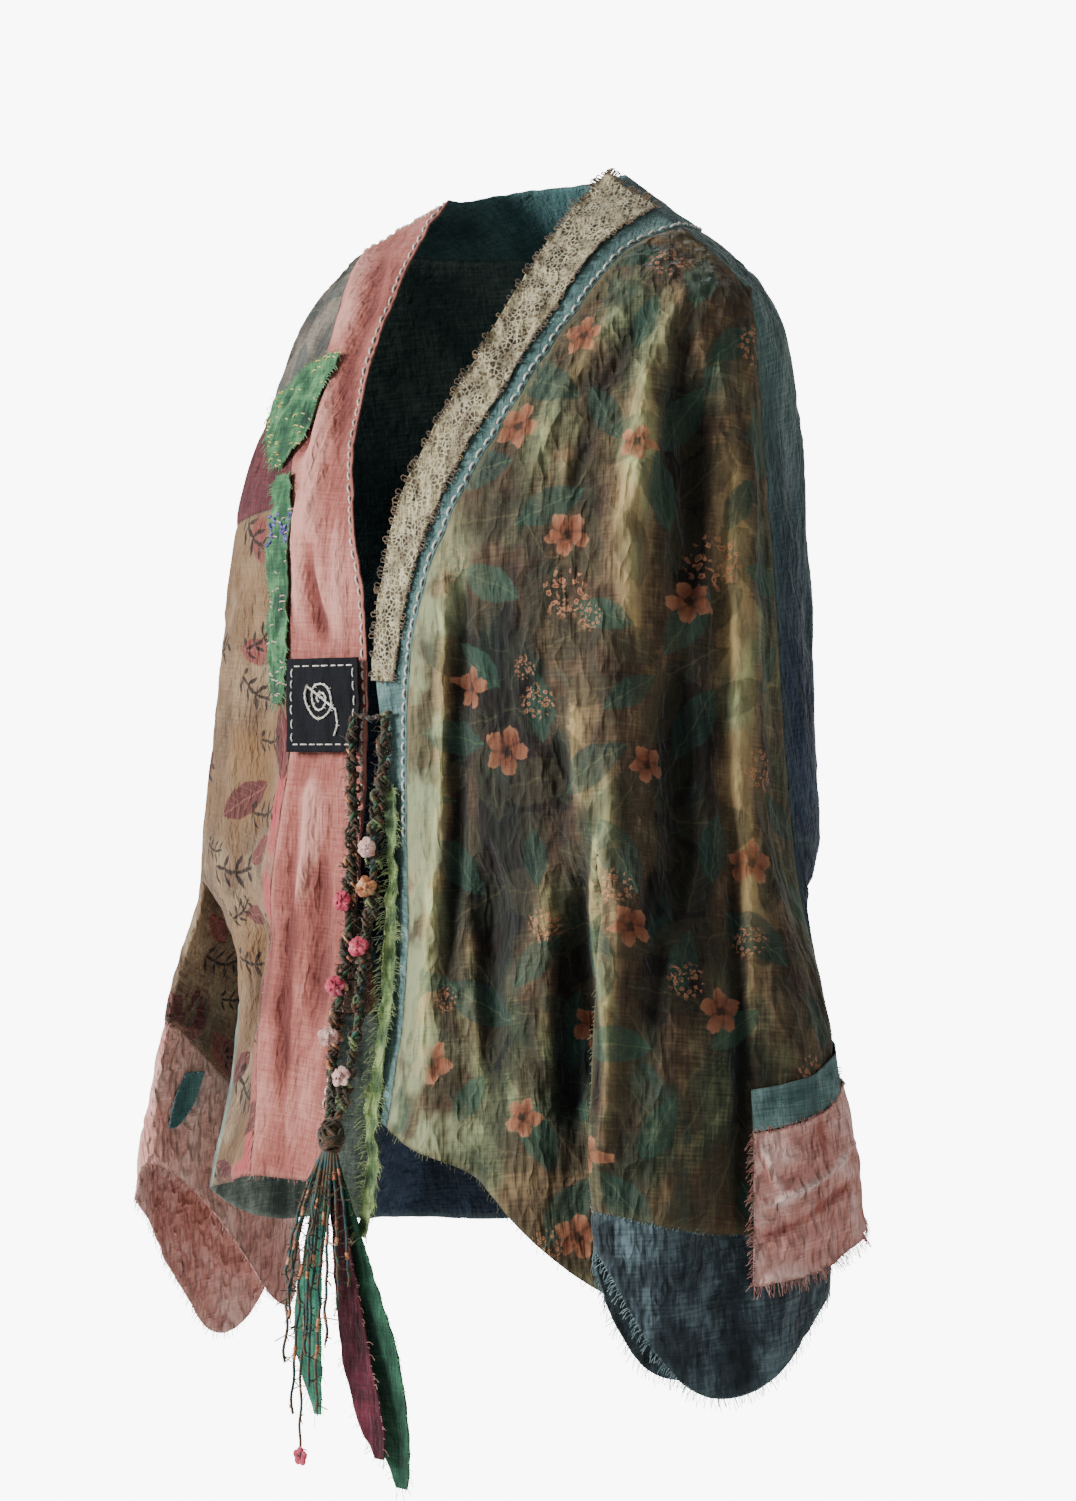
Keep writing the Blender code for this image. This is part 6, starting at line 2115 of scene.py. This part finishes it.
@dataclass(frozen=True)
class CordRoute:
    """One yarn cord: the route that its solid follows, its thickness and its plies."""

    node: str
    points: tuple[tuple[float, float, float], ...]
    thickness: float
    plies: tuple[Spun, ...]
    pitch: float
    far_end: str
    lay: str

    def path(self, count: int) -> list[Vector]:
        """Return evenly spaced points along the cord's middle."""
        return spline([Vector(p) for p in self.points], count)

    def build(self, extra: list[bpy.types.Object]) -> bpy.types.Object:
        """Twist the plies along the route.

        Args:
            extra: the flowers and the fuzz on the cord; not used.

        Returns:
            The cord.
        """
        count = int(length_of(self.path(60)) / YARN_STEP) + 2
        middle = self.path(count)
        twist = self.thickness * 0.26
        whole = bmesh.new()
        for number, ply in enumerate(self.plies):
            threads = Threads("ply", self.thickness * 0.24, 1)
            curve_points = []
            for k, place in enumerate(middle):
                ahead = (middle[min(k + 1, count - 1)] - middle[max(k - 1, 0)]).normalized()
                side = ahead.cross(FORWARD)
                side = side.normalized() if side.length > 0.1 else Vector((1.0, 0.0, 0.0))
                front = ahead.cross(side).normalized()
                angle = math.tau * (k * YARN_STEP / self.pitch + number / len(self.plies))
                bulge = twist * (1.0 + 0.25 * noise.noise(place * 160 + UP * number * 9))
                curve_points.append(place + side * bulge * math.cos(angle) + front * bulge * math.sin(angle))
            threads.lay(curve_points)
            obj = threads.spun(ply)
            self.lump(obj, curve_points, number)
            for face in obj.data.polygons:
                face.material_index = number
            whole.from_mesh(obj.data)
            bpy.data.objects.remove(obj)
        cord = make_object(f"yarn_{self.node}", whole)
        for ply in self.plies:
            cord.data.materials.append(ply.build())
        fasten(cord, self.node)
        path = self.path(36)
        LOG.info("cord %s: %d faces", self.node, len(cord.data.polygons))
        return cord

    def lump(self, obj: bpy.types.Object, middle: list[Vector], seed: int) -> None:
        """Swell and pinch a ply, as handspun yarn does.

        Args:
            obj: the ply.
            middle: points along the ply's middle.
            seed: the random draws' seed.
        """
        near = nearest_of(middle)
        for vert in obj.data.vertices:
            place, _, _ = near.find(vert.co)
            swell = 1.0 + 0.35 * noise.noise(place * 210 + UP * seed * 5)
            vert.co = place + (vert.co - place) * swell

    def loops(self, seed: int, count: int) -> bpy.types.Object:
        """Return the boucle loops that stand out of the yarn.

        Args:
            seed: the random draws' seed.
            count: how many loops there are.

        Returns:
            The loops.
        """
        draw = random.Random(seed)
        threads = Threads(f"loops_{self.node}", 0.0012, 1)
        middle = self.path(240)
        for _ in range(count):
            k = draw.randrange(4, 232)
            angle = draw.uniform(0, math.tau)
            out = Vector((math.cos(angle), math.sin(angle), 0.0))
            side = Vector((-out.y, out.x, 0.0))
            wide = draw.uniform(0.0015, 0.0032)
            reach = self.thickness * draw.uniform(0.42, 0.75)
            low = middle[k] + out * self.thickness * 0.30
            high = middle[k + 4] + out * self.thickness * 0.30
            foot = side * wide * 0.4
            rise = out * (reach - 0.002)
            crown = low.lerp(high, 0.5) + out * (reach - 0.001)
            loop = [low - foot, low + rise - side * wide, crown, high + rise + side * wide, high + foot]
            threads.lay(loop, draw.uniform(0.6, 1.25))
        return threads.build(YARN_BROWN, "yarn")

    def fuzz(self, seed: int, count: int, reach: float) -> bpy.types.Object:
        """Return the short hairs round the cord.

        Args:
            seed: the random draws' seed.
            count: how many hairs there are.
            reach: the hairs' usual length.

        Returns:
            The hairs.
        """
        draw = random.Random(seed)
        threads = Threads(f"fuzz_{self.node}", 0.00020)
        middle = self.path(200)
        for _ in range(count):
            k = draw.randrange(2, 198)
            angle = draw.uniform(0, math.tau)
            out = Vector((math.cos(angle), math.sin(angle), draw.uniform(-0.5, 0.5))).normalized()
            root = middle[k] + out * self.thickness * 0.4
            long = reach * draw.uniform(0.4, 1.4)
            bend = Vector((draw.uniform(-1, 1), draw.uniform(-1, 1), draw.uniform(-1, 1))) * long * 0.35
            threads.lay([root, root + out * long * 0.55 + bend, root + out * long - bend])
        return threads.build(YARN_BROWN, "yarn")


LOOP = CordRoute(
    "closure_loop",
    (
        (-0.0290, -0.1351, -0.3350), (-0.0240, -0.1361, -0.3368), (-0.0190, -0.1369, -0.3382),
        (-0.0140, -0.1373, -0.3388), (-0.0090, -0.1373, -0.3386), (-0.0040, -0.1371, -0.3378),
        (0.0010, -0.1369, -0.3366), (0.0060, -0.1367, -0.3352),
    ),
    0.0038, (YARN_BROWN, YARN_TEAL), 0.008, "object", "taut",
)
YARN_LEFT = CordRoute(
    "yarn_cord_left",
    (
        (-0.0300, -0.1362, -0.3376), (-0.0290, -0.1378, -0.3580), (-0.0270, -0.1395, -0.3800),
        (-0.0245, -0.1405, -0.4000), (-0.0250, -0.1415, -0.4200), (-0.0265, -0.1425, -0.4400),
        (-0.0260, -0.1440, -0.4600), (-0.0240, -0.1460, -0.4800), (-0.0250, -0.1480, -0.5000),
        (-0.0270, -0.1505, -0.5200), (-0.0275, -0.1535, -0.5400), (-0.0265, -0.1570, -0.5600),
        (-0.0245, -0.1610, -0.5780), (-0.0222, -0.1655, -0.5981),
    ),
    0.0060, (YARN_BROWN, YARN_GREEN, YARN_BROWN), 0.015, "knot", "hanging",
)
YARN_RIGHT = CordRoute(
    "yarn_cord_right",
    (
        (0.0010, -0.1374, -0.3392), (0.0005, -0.1386, -0.3590), (-0.0015, -0.1395, -0.3800),
        (-0.0040, -0.1405, -0.4000), (-0.0055, -0.1415, -0.4200), (-0.0045, -0.1425, -0.4400),
        (-0.0050, -0.1440, -0.4600), (-0.0075, -0.1460, -0.4800), (-0.0090, -0.1480, -0.5000),
        (-0.0085, -0.1505, -0.5200), (-0.0090, -0.1535, -0.5400), (-0.0105, -0.1570, -0.5600),
        (-0.0120, -0.1610, -0.5780), (-0.0139, -0.1655, -0.5981),
    ),
    0.0060, (YARN_TEAL, YARN_BROWN, YARN_GREEN), 0.014, "knot", "hanging",
)


@dataclass(frozen=True)
class Rosette:
    """A small gathered flower of satin thread, sewn to a yarn cord."""

    number: int
    cord: CordRoute
    height: float
    thread: Spun
    forward: float = 0.0066
    rings: tuple[tuple[int, float, float, float], ...] = ((5, 0.0040, 0.0038, 0.30), (4, 0.0018, 0.0029, 0.8))

    def middle(self) -> Vector:
        """Return the flower's middle, in front of its cord."""
        path = self.cord.path(300)
        place = min(path, key=lambda p: abs(p.z - self.height))
        return place + Vector((0.0, -self.forward, 0.0))

    def build(self) -> bpy.types.Object:
        """Gather two rings of petals round a heart.

        Returns:
            The flower.
        """
        draw = random.Random(self.number)
        work = bmesh.new()
        middle = self.middle()
        facing = Matrix.Rotation(draw.uniform(0.2, 0.7), 4, "Z")
        facing = facing @ Matrix.Rotation(draw.uniform(-0.3, 0.2), 4, "X")
        for ring, (count, out, size, tilt) in enumerate(self.rings):
            for k in range(count):
                angle = math.tau * (k + 0.5 * ring) / count + draw.uniform(-0.15, 0.15)
                made = bmesh.ops.create_uvsphere(work, u_segments=10, v_segments=7, radius=size)
                verts = made["verts"]
                shape = (draw.uniform(0.8, 1.25), 0.24, draw.uniform(0.7, 1.0))
                bmesh.ops.scale(work, verts=verts, vec=shape)
                for vert in verts:
                    vert.co.y += 0.0007 * math.sin(vert.co.x / size * 4.5) - 0.10 * abs(vert.co.x)
                petal = (
                    facing @ Matrix.Rotation(angle, 4, "Y") @ Matrix.Translation((0.0, -0.0006 * ring, out))
                    @ Matrix.Rotation(-tilt + draw.uniform(-0.4, 0.4), 4, "X")
                )
                bmesh.ops.transform(work, matrix=petal, verts=verts)
        heart = bmesh.ops.create_uvsphere(work, u_segments=8, v_segments=6, radius=0.0016)["verts"]
        bmesh.ops.translate(work, verts=heart, vec=facing @ Vector((0.0, -0.0018, 0.0)))
        bmesh.ops.translate(work, verts=work.verts, vec=middle)
        obj = make_object(f"flower_{self.number}", work)
        obj.data.materials.append(self.thread.build())
        fasten(obj, f"rosette_{self.number}")
        return obj


ROSETTES = (
    Rosette(1, YARN_RIGHT, -0.4230, FLOWER_PALE), Rosette(2, YARN_RIGHT, -0.4480, FLOWER_ORANGE),
    Rosette(3, YARN_LEFT, -0.4580, FLOWER_PINK), Rosette(4, YARN_RIGHT, -0.4860, FLOWER_PINK),
    Rosette(5, YARN_LEFT, -0.5140, FLOWER_PINK), Rosette(6, YARN_LEFT, -0.5460, FLOWER_PALE),
    Rosette(7, YARN_RIGHT, -0.5700, FLOWER_PALE),
)


@dataclass(frozen=True)
class Tassel:
    """The knot that gathers both cords, wound with yarn, and the strands below it."""

    centre: Vector = field(default_factory=lambda: Vector((-0.0180, -0.1680, -0.6090)))
    size: Vector = field(default_factory=lambda: Vector((0.0085, 0.0075, 0.0115)))
    flower_drop: Vector = field(default_factory=lambda: Vector((-0.0104, -0.0175, -0.205)))
    winds: int = 15
    strand: float = 0.0010
    strands: tuple[tuple[float, float, float, float], ...] = (
        (15, 0.016, -0.004, 0.085), (45, 0.007, -0.012, 0.120), (75, -0.003, -0.014, 0.150),
        (30, 0.012, -0.008, 0.100), (60, 0.002, -0.014, 0.165), (90, -0.006, -0.012, 0.130),
        (120, -0.016, -0.012, 0.170), (150, -0.026, -0.008, 0.095), (100, -0.001, -0.015, 0.090),
        (105, -0.010, -0.013, 0.196), (135, -0.022, -0.010, 0.110), (165, -0.030, -0.006, 0.140),
    )

    def build(self) -> None:
        """Wind the knot, hang the strands and tie on the flower and the orange bits."""
        draw = random.Random(61)
        core = bmesh.new()
        bmesh.ops.create_uvsphere(core, u_segments=20, v_segments=12, radius=0.86)
        bmesh.ops.scale(core, verts=core.verts, vec=self.size)
        bmesh.ops.translate(core, verts=core.verts, vec=self.centre)
        knot = make_object("knot_core", core)
        knot.data.materials.append(YARN_BROWN.build())
        fasten(knot)
        winds = Threads("knot_winds", 0.0011, 1)
        for k in range(self.winds):
            tilt = Matrix.Rotation(draw.uniform(-0.7, 0.7), 3, "X")
            tilt = tilt @ Matrix.Rotation(draw.uniform(-0.7, 0.7), 3, "Y")
            level = -0.75 + 1.5 * k / (self.winds - 1)
            ring = math.sqrt(max(1.0 - level * level, 0.05))
            points = []
            for step in range(25):
                angle = math.tau * step / 24
                unit = tilt @ Vector((ring * math.cos(angle), ring * math.sin(angle), level))
                points.append(self.centre + Vector(a * b for a, b in zip(unit.normalized(), self.size)))
            winds.lay(points, draw.uniform(0.8, 1.2))
        winds.build(YARN_BROWN, "yarn")
        hanging = Threads("tassel_strands", self.strand, 1)
        bits = Threads("tassel_bits", 0.0011, 1)
        wisps = Threads("tassel_wisps", 0.0004)
        for number, (degrees, sway_x, sway_y, length) in enumerate(self.strands):
            angle = math.radians(degrees)
            start = self.centre + Vector((0.0053 * math.cos(angle), -0.0047 * math.sin(angle), -0.009))
            line = []
            for k in range(40):
                share = k / 39
                out = 1.0 - (1.0 - share) ** 2
                kink_x = noise.noise(Vector((share * 9, number, 0)))
                kink_y = noise.noise(Vector((0, number, share * 9)))
                kink = Vector((kink_x, kink_y, 0))
                hang = Vector((sway_x * out, sway_y * out, -length * share))
                line.append(start + hang + kink * 0.003 * share)
            hanging.lay(line)
            for k in range(6, 39, 4):
                if draw.random() < 0.40:
                    bits.lay([line[k - 1], line[k], line[min(k + 1, 39)]], draw.uniform(0.7, 1.3))
                for _ in range(3):
                    tip = Vector((draw.uniform(-1, 1), draw.uniform(-1, 1), draw.uniform(-1, 0.3))) * 0.006
                    wisps.lay([line[k], line[k] + tip * 0.6, line[k] + tip])
        hanging.build(YARN_TEAL, "yarn", "tassel")
        bits.build(FLOWER_ORANGE, "thread_flower")
        wisps.build(YARN_BROWN, "yarn")
        self.end_flower(self.centre + self.flower_drop)

    def end_flower(self, end: Vector) -> None:
        """Tie a small red flower to the longest strand's end.

        Args:
            end: the strand's end.
        """
        petal = 0.0034
        work = bmesh.new()
        for k in range(5):
            verts = bmesh.ops.create_uvsphere(work, u_segments=10, v_segments=7, radius=petal)["verts"]
            bmesh.ops.scale(work, verts=verts, vec=(0.9, 0.4, 0.9))
            turn = Matrix.Rotation(math.tau * k / 5, 4, "Y") @ Matrix.Translation((0.0, 0.0, petal))
            bmesh.ops.transform(work, matrix=turn, verts=verts)
        bmesh.ops.translate(work, verts=work.verts, vec=end)
        flower = make_object("tassel_flower", work)
        flower.data.materials.append(FLOWER_PINK.build())
        fasten(flower)


@dataclass
class Trim:
    """Every stitched line and frayed edge of the sewn panels."""

    cloth: SewnCloth
    edging: Edging
    hems: float = -0.50
    left_stitches_end: float = -0.42
    right_stitches_end: float = -0.60
    frays: tuple[tuple[str, str, Fray], ...] = (
        ("left_cuff", "slate_cuff", Fray(BLUE_THREAD, 0.0011, 0.0045)),
        ("right_cuff", "pink_linen", Fray(PINK_THREAD, 0.0015, 0.0035)),
        ("left_front", "olive_print", Fray(OLIVE_THREAD, 0.0035, 0.0030)),
        ("right_band", "pink_linen", Fray(PINK_THREAD, 0.0040, 0.0025)),
    )

    def stitch_bands(self) -> None:
        """Run cream stitches down the left band's outer edge and the right band's inner edge."""
        left = Threads("stitches_left_band", 0.00080, 1)
        for run in self.cloth.chain("left_band", "left_front")[:1]:
            sewn = [k for k in run if self.cloth.plain[k][2] > self.left_stitches_end]
            self.edging.running(left, self.edging.inset(sewn, "left_band", 0.0030), 0.0003)
        for run in self.cloth.chain("neck_band", "back")[:1]:
            self.edging.running(left, self.edging.inset(run, "neck_band", 0.0030), 0.0003)
        left.build(CREAM_THREAD, "cream_cord")
        right = Threads("stitches_right_band", 0.00080, 1)
        for run in self.cloth.chain("right_band")[:3]:
            places = [k for k in run if self.cloth.plain[k][2] > self.right_stitches_end]
            if len(places) > 20:
                self.edging.running(right, self.edging.inset(places, "right_band", 0.0036), 0.0003)
        right.build(CREAM_THREAD, "cream_cord")

    def fray_panels(self, made: dict[str, bpy.types.Object]) -> None:
        """Fray the raw hems and cuffs.

        Args:
            made: the cut panels by node, still single skins.
        """
        for node, slot, fray in self.frays:
            threads = Threads(f"fray_{node}", 0.00021)
            self.edging.fray(threads, made[node], fray, len(node), below=self.hems)
            threads.build(fray.thread, slot)

    def stitch_scraps(self, made: dict[str, bpy.types.Object]) -> None:
        """Add the coloured stitches on the green leaf and its strip.

        Args:
            made: the laid pieces by node.
        """
        draw = random.Random(97)
        yellow = Threads("stitches_leaf", 0.0005, 1)
        pale = Threads("stitches_strip", 0.0005, 1)
        beads = Threads("beads_strip", 0.0010, 1)
        for node, threads, count in (("green_leaf", yellow, 46), ("green_strip", pale, 30)):
            faces = made[node].data.polygons
            for _ in range(count):
                face = faces[draw.randrange(len(faces))]
                along = (UP + Vector((draw.uniform(-0.5, 0.5), 0, 0))).cross(face.normal).normalized()
                reach = along * draw.uniform(0.002, 0.0038)
                lift = face.normal * 0.0008
                threads.lay([face.center - reach - lift, face.center + lift, face.center + reach - lift])
        for face in made["green_strip"].data.polygons:
            if -0.222 < face.center.z < -0.200 and draw.random() < 0.030:
                tip = Vector((draw.uniform(-1, 1), 0, draw.uniform(-1, 1))).normalized() * 0.0012
                beads.lay([face.center - tip, face.center + face.normal * 0.0010, face.center + tip])
        yellow.build(YELLOW_THREAD, "green_scrap")
        pale.build(FLOWER_PALE, "green_scrap")
        beads.build(VIOLET_BEAD, "green_scrap")


def creases(*rows: tuple) -> tuple[Crease, ...]:
    """Return the creases of rows that hold a line's points, then a width and a depth in mm."""
    return tuple(Crease(tuple(line), width, depth) for *line, width, depth in rows)


PHOTO_SIDE = CreaseView(42.0, creases(
    ((452, 480), (447, 600), (447, 680), (444, 820), (435, 912), (428, 1005), (419, 1155), 7, 4),
    ((462, 520), (458, 700), (455, 850), (448, 960), (440, 1060), 6, -4.5),
    ((500, 540), (506, 760), (500, 1010), 20, -4.5),
    ((690, 620), (692, 800), (690, 1040), 18, -4.5),
    ((562, 900), (574, 1150), 13, -3.5),
    ((640, 339), (647, 416), (640, 472), (626, 521), (622, 542), (633, 556), (626, 591),
     (640, 644), (650, 679), 8, 4.5),
    ((571, 433), (561, 504), 4, 1.8),
    ((682, 346), (689, 451), (691, 556), (686, 634), 9, -5),
    ((673, 640), (677, 820), (673, 960), 9, -5),
    ((717, 328), (724, 398), (731, 469), (735, 556), (738, 627), (738, 727), (742, 843),
     (749, 936), (749, 1076), 9, 5),
    ((731, 773), (738, 959), (742, 1099), (738, 1262), 6, -4),
    ((593, 727), (612, 796), (603, 857), (593, 913), (603, 983), (605, 1099), (593, 1206), 7, 4),
    ((582, 820), (586, 959), (598, 1076), (598, 1169), 6, -4),
    ((575, 680), (580, 773), (589, 820), 6, 3),
    ((556, 727), (566, 820), 6, -3),
    ((617, 796), (612, 866), (617, 941), (612, 1006), 5, 2.5),
    ((649, 857), (659, 941), (654, 1052), 7, -4),
    ((484, 820), (486, 959), (496, 1099), 8, -4),
    ((468, 890), (477, 1006), (486, 1122), 6, 3),
    ((547, 843), (551, 959), (547, 1099), 8, 3.5),
    ((566, 959), (575, 1146), 6, -3),
    ((465, 1169), (482, 1220), 6, -4),
    ((690, 270), (640, 400), (620, 520), 7, 2.2),
    ((700, 280), (672, 420), (664, 560), 7, -2.5),
    ((670, 270), (600, 400), (565, 520), 6, -2),
    ((650, 270), (560, 400), (520, 520), 6, 2),
    ((322, 364), (296, 466), 6, -3.5),
    ((366, 230), (352, 300), (330, 360), 7, 2.5),
    ((392, 232), (372, 300), (350, 372), (338, 470), 6, -2.5),
    ((336, 361), (311, 481), (314, 553), (336, 644), 6, 3.5),
    ((311, 517), (314, 590), (329, 655), 4.5, -4),
    ((300, 480), (298, 560), (306, 650), 5, 3),
    ((342, 500), (338, 580), (344, 650), 4.5, 2.2),
    ((317, 759), (307, 864), (290, 920), 6, 4.5),
    ((300, 790), (292, 880), (284, 1000), (282, 1150), 5, -3),
    ((330, 820), (322, 900), (318, 1060), 6, -2.5),
    ((269, 897), (250, 1041), 6, -3.5),
), in_px=True)
FRONT_RIGHT_SIDE = CreaseView(-35.0, creases(
    ((-150, -200), (-160, -360), (-148, -520), 9, 4.5),
    ((-110, -230), (-100, -400), (-118, -580), 9, -4.5),
    ((-70, -260), (-62, -430), (-74, -640), 8, 4),
    ((-200, -300), (-210, -460), (-196, -620), 9, -4),
    ((-240, -420), (-236, -560), (-246, -700), 8, 3.5),
    ((-30, -420), (-24, -560), (-34, -650), 7, -3),
    ((-220, -600), (-212, -700), (-224, -770), 8, 4),
    ((-180, -640), (-190, -740), 7, -3),
))
RIGHT_SIDE = CreaseView(-95.0, creases(
    ((-30, -160), (-20, -330), (-34, -500), 9, 4.5),
    ((20, -200), (30, -380), (18, -560), 9, -4.5),
    ((70, -240), (62, -420), (74, -600), 9, 4),
    ((110, -300), (120, -450), 8, -3),
    ((0, -600), (10, -700), (-4, -780), 8, 4),
    ((40, -620), (50, -740), 8, -4),
    ((-40, -640), (-34, -740), 7, 3),
    ((-20, -560), (40, -585), (90, -570), 7, 3),
))
BACK_SIDE = CreaseView(180.0, creases(
    ((-150, -120), (-165, -300), (-150, -480), (-165, -660), 12, 5),
    ((-120, -180), (-128, -360), (-118, -560), (-125, -690), 10, -5),
    ((-70, -90), (-62, -260), (-75, -430), 9, 3.5),
    ((-40, -300), (-30, -480), (-42, -690), 12, -4.5),
    ((10, -60), (4, -200), (14, -380), 10, -3),
    ((30, -360), (22, -520), (34, -700), 11, 5),
    ((75, -110), (88, -280), (76, -470), 9, 4),
    ((105, -220), (98, -420), (112, -640), 10, -5.5),
    ((150, -130), (168, -330), (152, -520), (170, -660), 12, 5),
    ((190, -240), (200, -400), (188, -560), 9, -4),
    ((-195, -260), (-205, -430), (-190, -600), 9, 4),
    ((60, -60), (130, -110), (190, -190), 8, 2.5),
    ((-50, -50), (-120, -100), (-185, -180), 8, 2.5),
    ((-30, -140), (40, -165), (120, -230), 7, -2),
    ((-95, -60), (-100, -240), (-90, -420), (-98, -560), 18, -4),
    ((50, -80), (56, -260), (48, -440), (60, -600), 20, -3.5),
    ((130, -380), (124, -540), (138, -700), 14, -3.5),
    ((-10, -480), (-4, -600), (-14, -720), 8, 3),
), deepen=1.7, starts=0.4)
LEFT_SIDE = CreaseView(105.0, creases(
    ((-120, -150), (-128, -320), (-110, -500), (-125, -620), 9, 4.5),
    ((-70, -100), (-62, -280), (-80, -470), (-66, -640), 10, -5),
    ((-20, -120), (-30, -330), (-18, -520), 9, 4.5),
    ((30, -200), (20, -380), (34, -560), 9, -4),
    ((60, -260), (52, -420), 8, 3),
    ((-100, -640), (-92, -720), 6, 3),
    ((-40, -640), (-48, -720), 6, -3),
    ((-110, -430), (-60, -455), (0, -440), 8, 3),
))
SIDES = (PHOTO_SIDE, FRONT_RIGHT_SIDE, BACK_SIDE, LEFT_SIDE, RIGHT_SIDE)


def main() -> None:
    """Build the camera, the cords, the studio, the cloth and every piece on it."""
    logging.basicConfig(level=logging.INFO, format="%(message)s")
    view = PhotoView()
    view.camera()
    Studio().build()
    for seed, route in enumerate((LOOP, YARN_LEFT, YARN_RIGHT)):
        flowers = [rosette.build() for rosette in ROSETTES if rosette.cord is route]
        fuzz = route.fuzz(seed + 5, 40 if route is LOOP else 420, 0.004)
        loops = route.loops(seed + 11, 8 if route is LOOP else 110)
        flecks = route.loops(seed + 23, 3 if route is LOOP else 24)
        flecks.data.materials[0] = FLOWER_ORANGE.build() if seed == 1 else LIME_THREAD.build()
        flecks.name = f"flecks_{route.node}"
        route.build([*flowers, fuzz, loops, flecks])
    Tassel().build()
    cloth = SewnCloth(view, SIDES)
    cloth.refine()
    edging = Edging(cloth)
    panels = {}
    for panel in PANELS:
        obj = cloth.cut(panel)
        for stamps in PRINTS.get(panel.node, ()):
            stamps.stamp(obj, view)
        obj.data.materials.clear()
        obj.data.materials.append(PANEL_FINISH[panel.node].material())
        panels[panel.node] = obj
        LOG.info("%s: %d faces", panel.node, len(obj.data.polygons))
    laid = {piece.node: piece.build(cloth, edging) for piece in LAID}
    square = SQUARE.build(cloth, edging)
    SQUARE.sew_on(square, edging)
    trim = Trim(cloth, edging)
    trim.stitch_bands()
    trim.fray_panels(panels)
    trim.stitch_scraps(laid)


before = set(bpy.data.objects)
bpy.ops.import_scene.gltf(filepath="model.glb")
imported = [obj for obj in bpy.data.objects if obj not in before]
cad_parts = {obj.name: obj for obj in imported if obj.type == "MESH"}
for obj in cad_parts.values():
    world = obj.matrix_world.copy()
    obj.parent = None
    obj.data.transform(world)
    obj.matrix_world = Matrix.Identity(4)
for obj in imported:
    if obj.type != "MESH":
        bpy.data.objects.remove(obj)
for startup in ("Cube", "Camera", "Light"):
    if startup in bpy.data.objects:
        bpy.data.objects.remove(bpy.data.objects[startup])
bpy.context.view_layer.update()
if __name__ == "__main__":
    main()
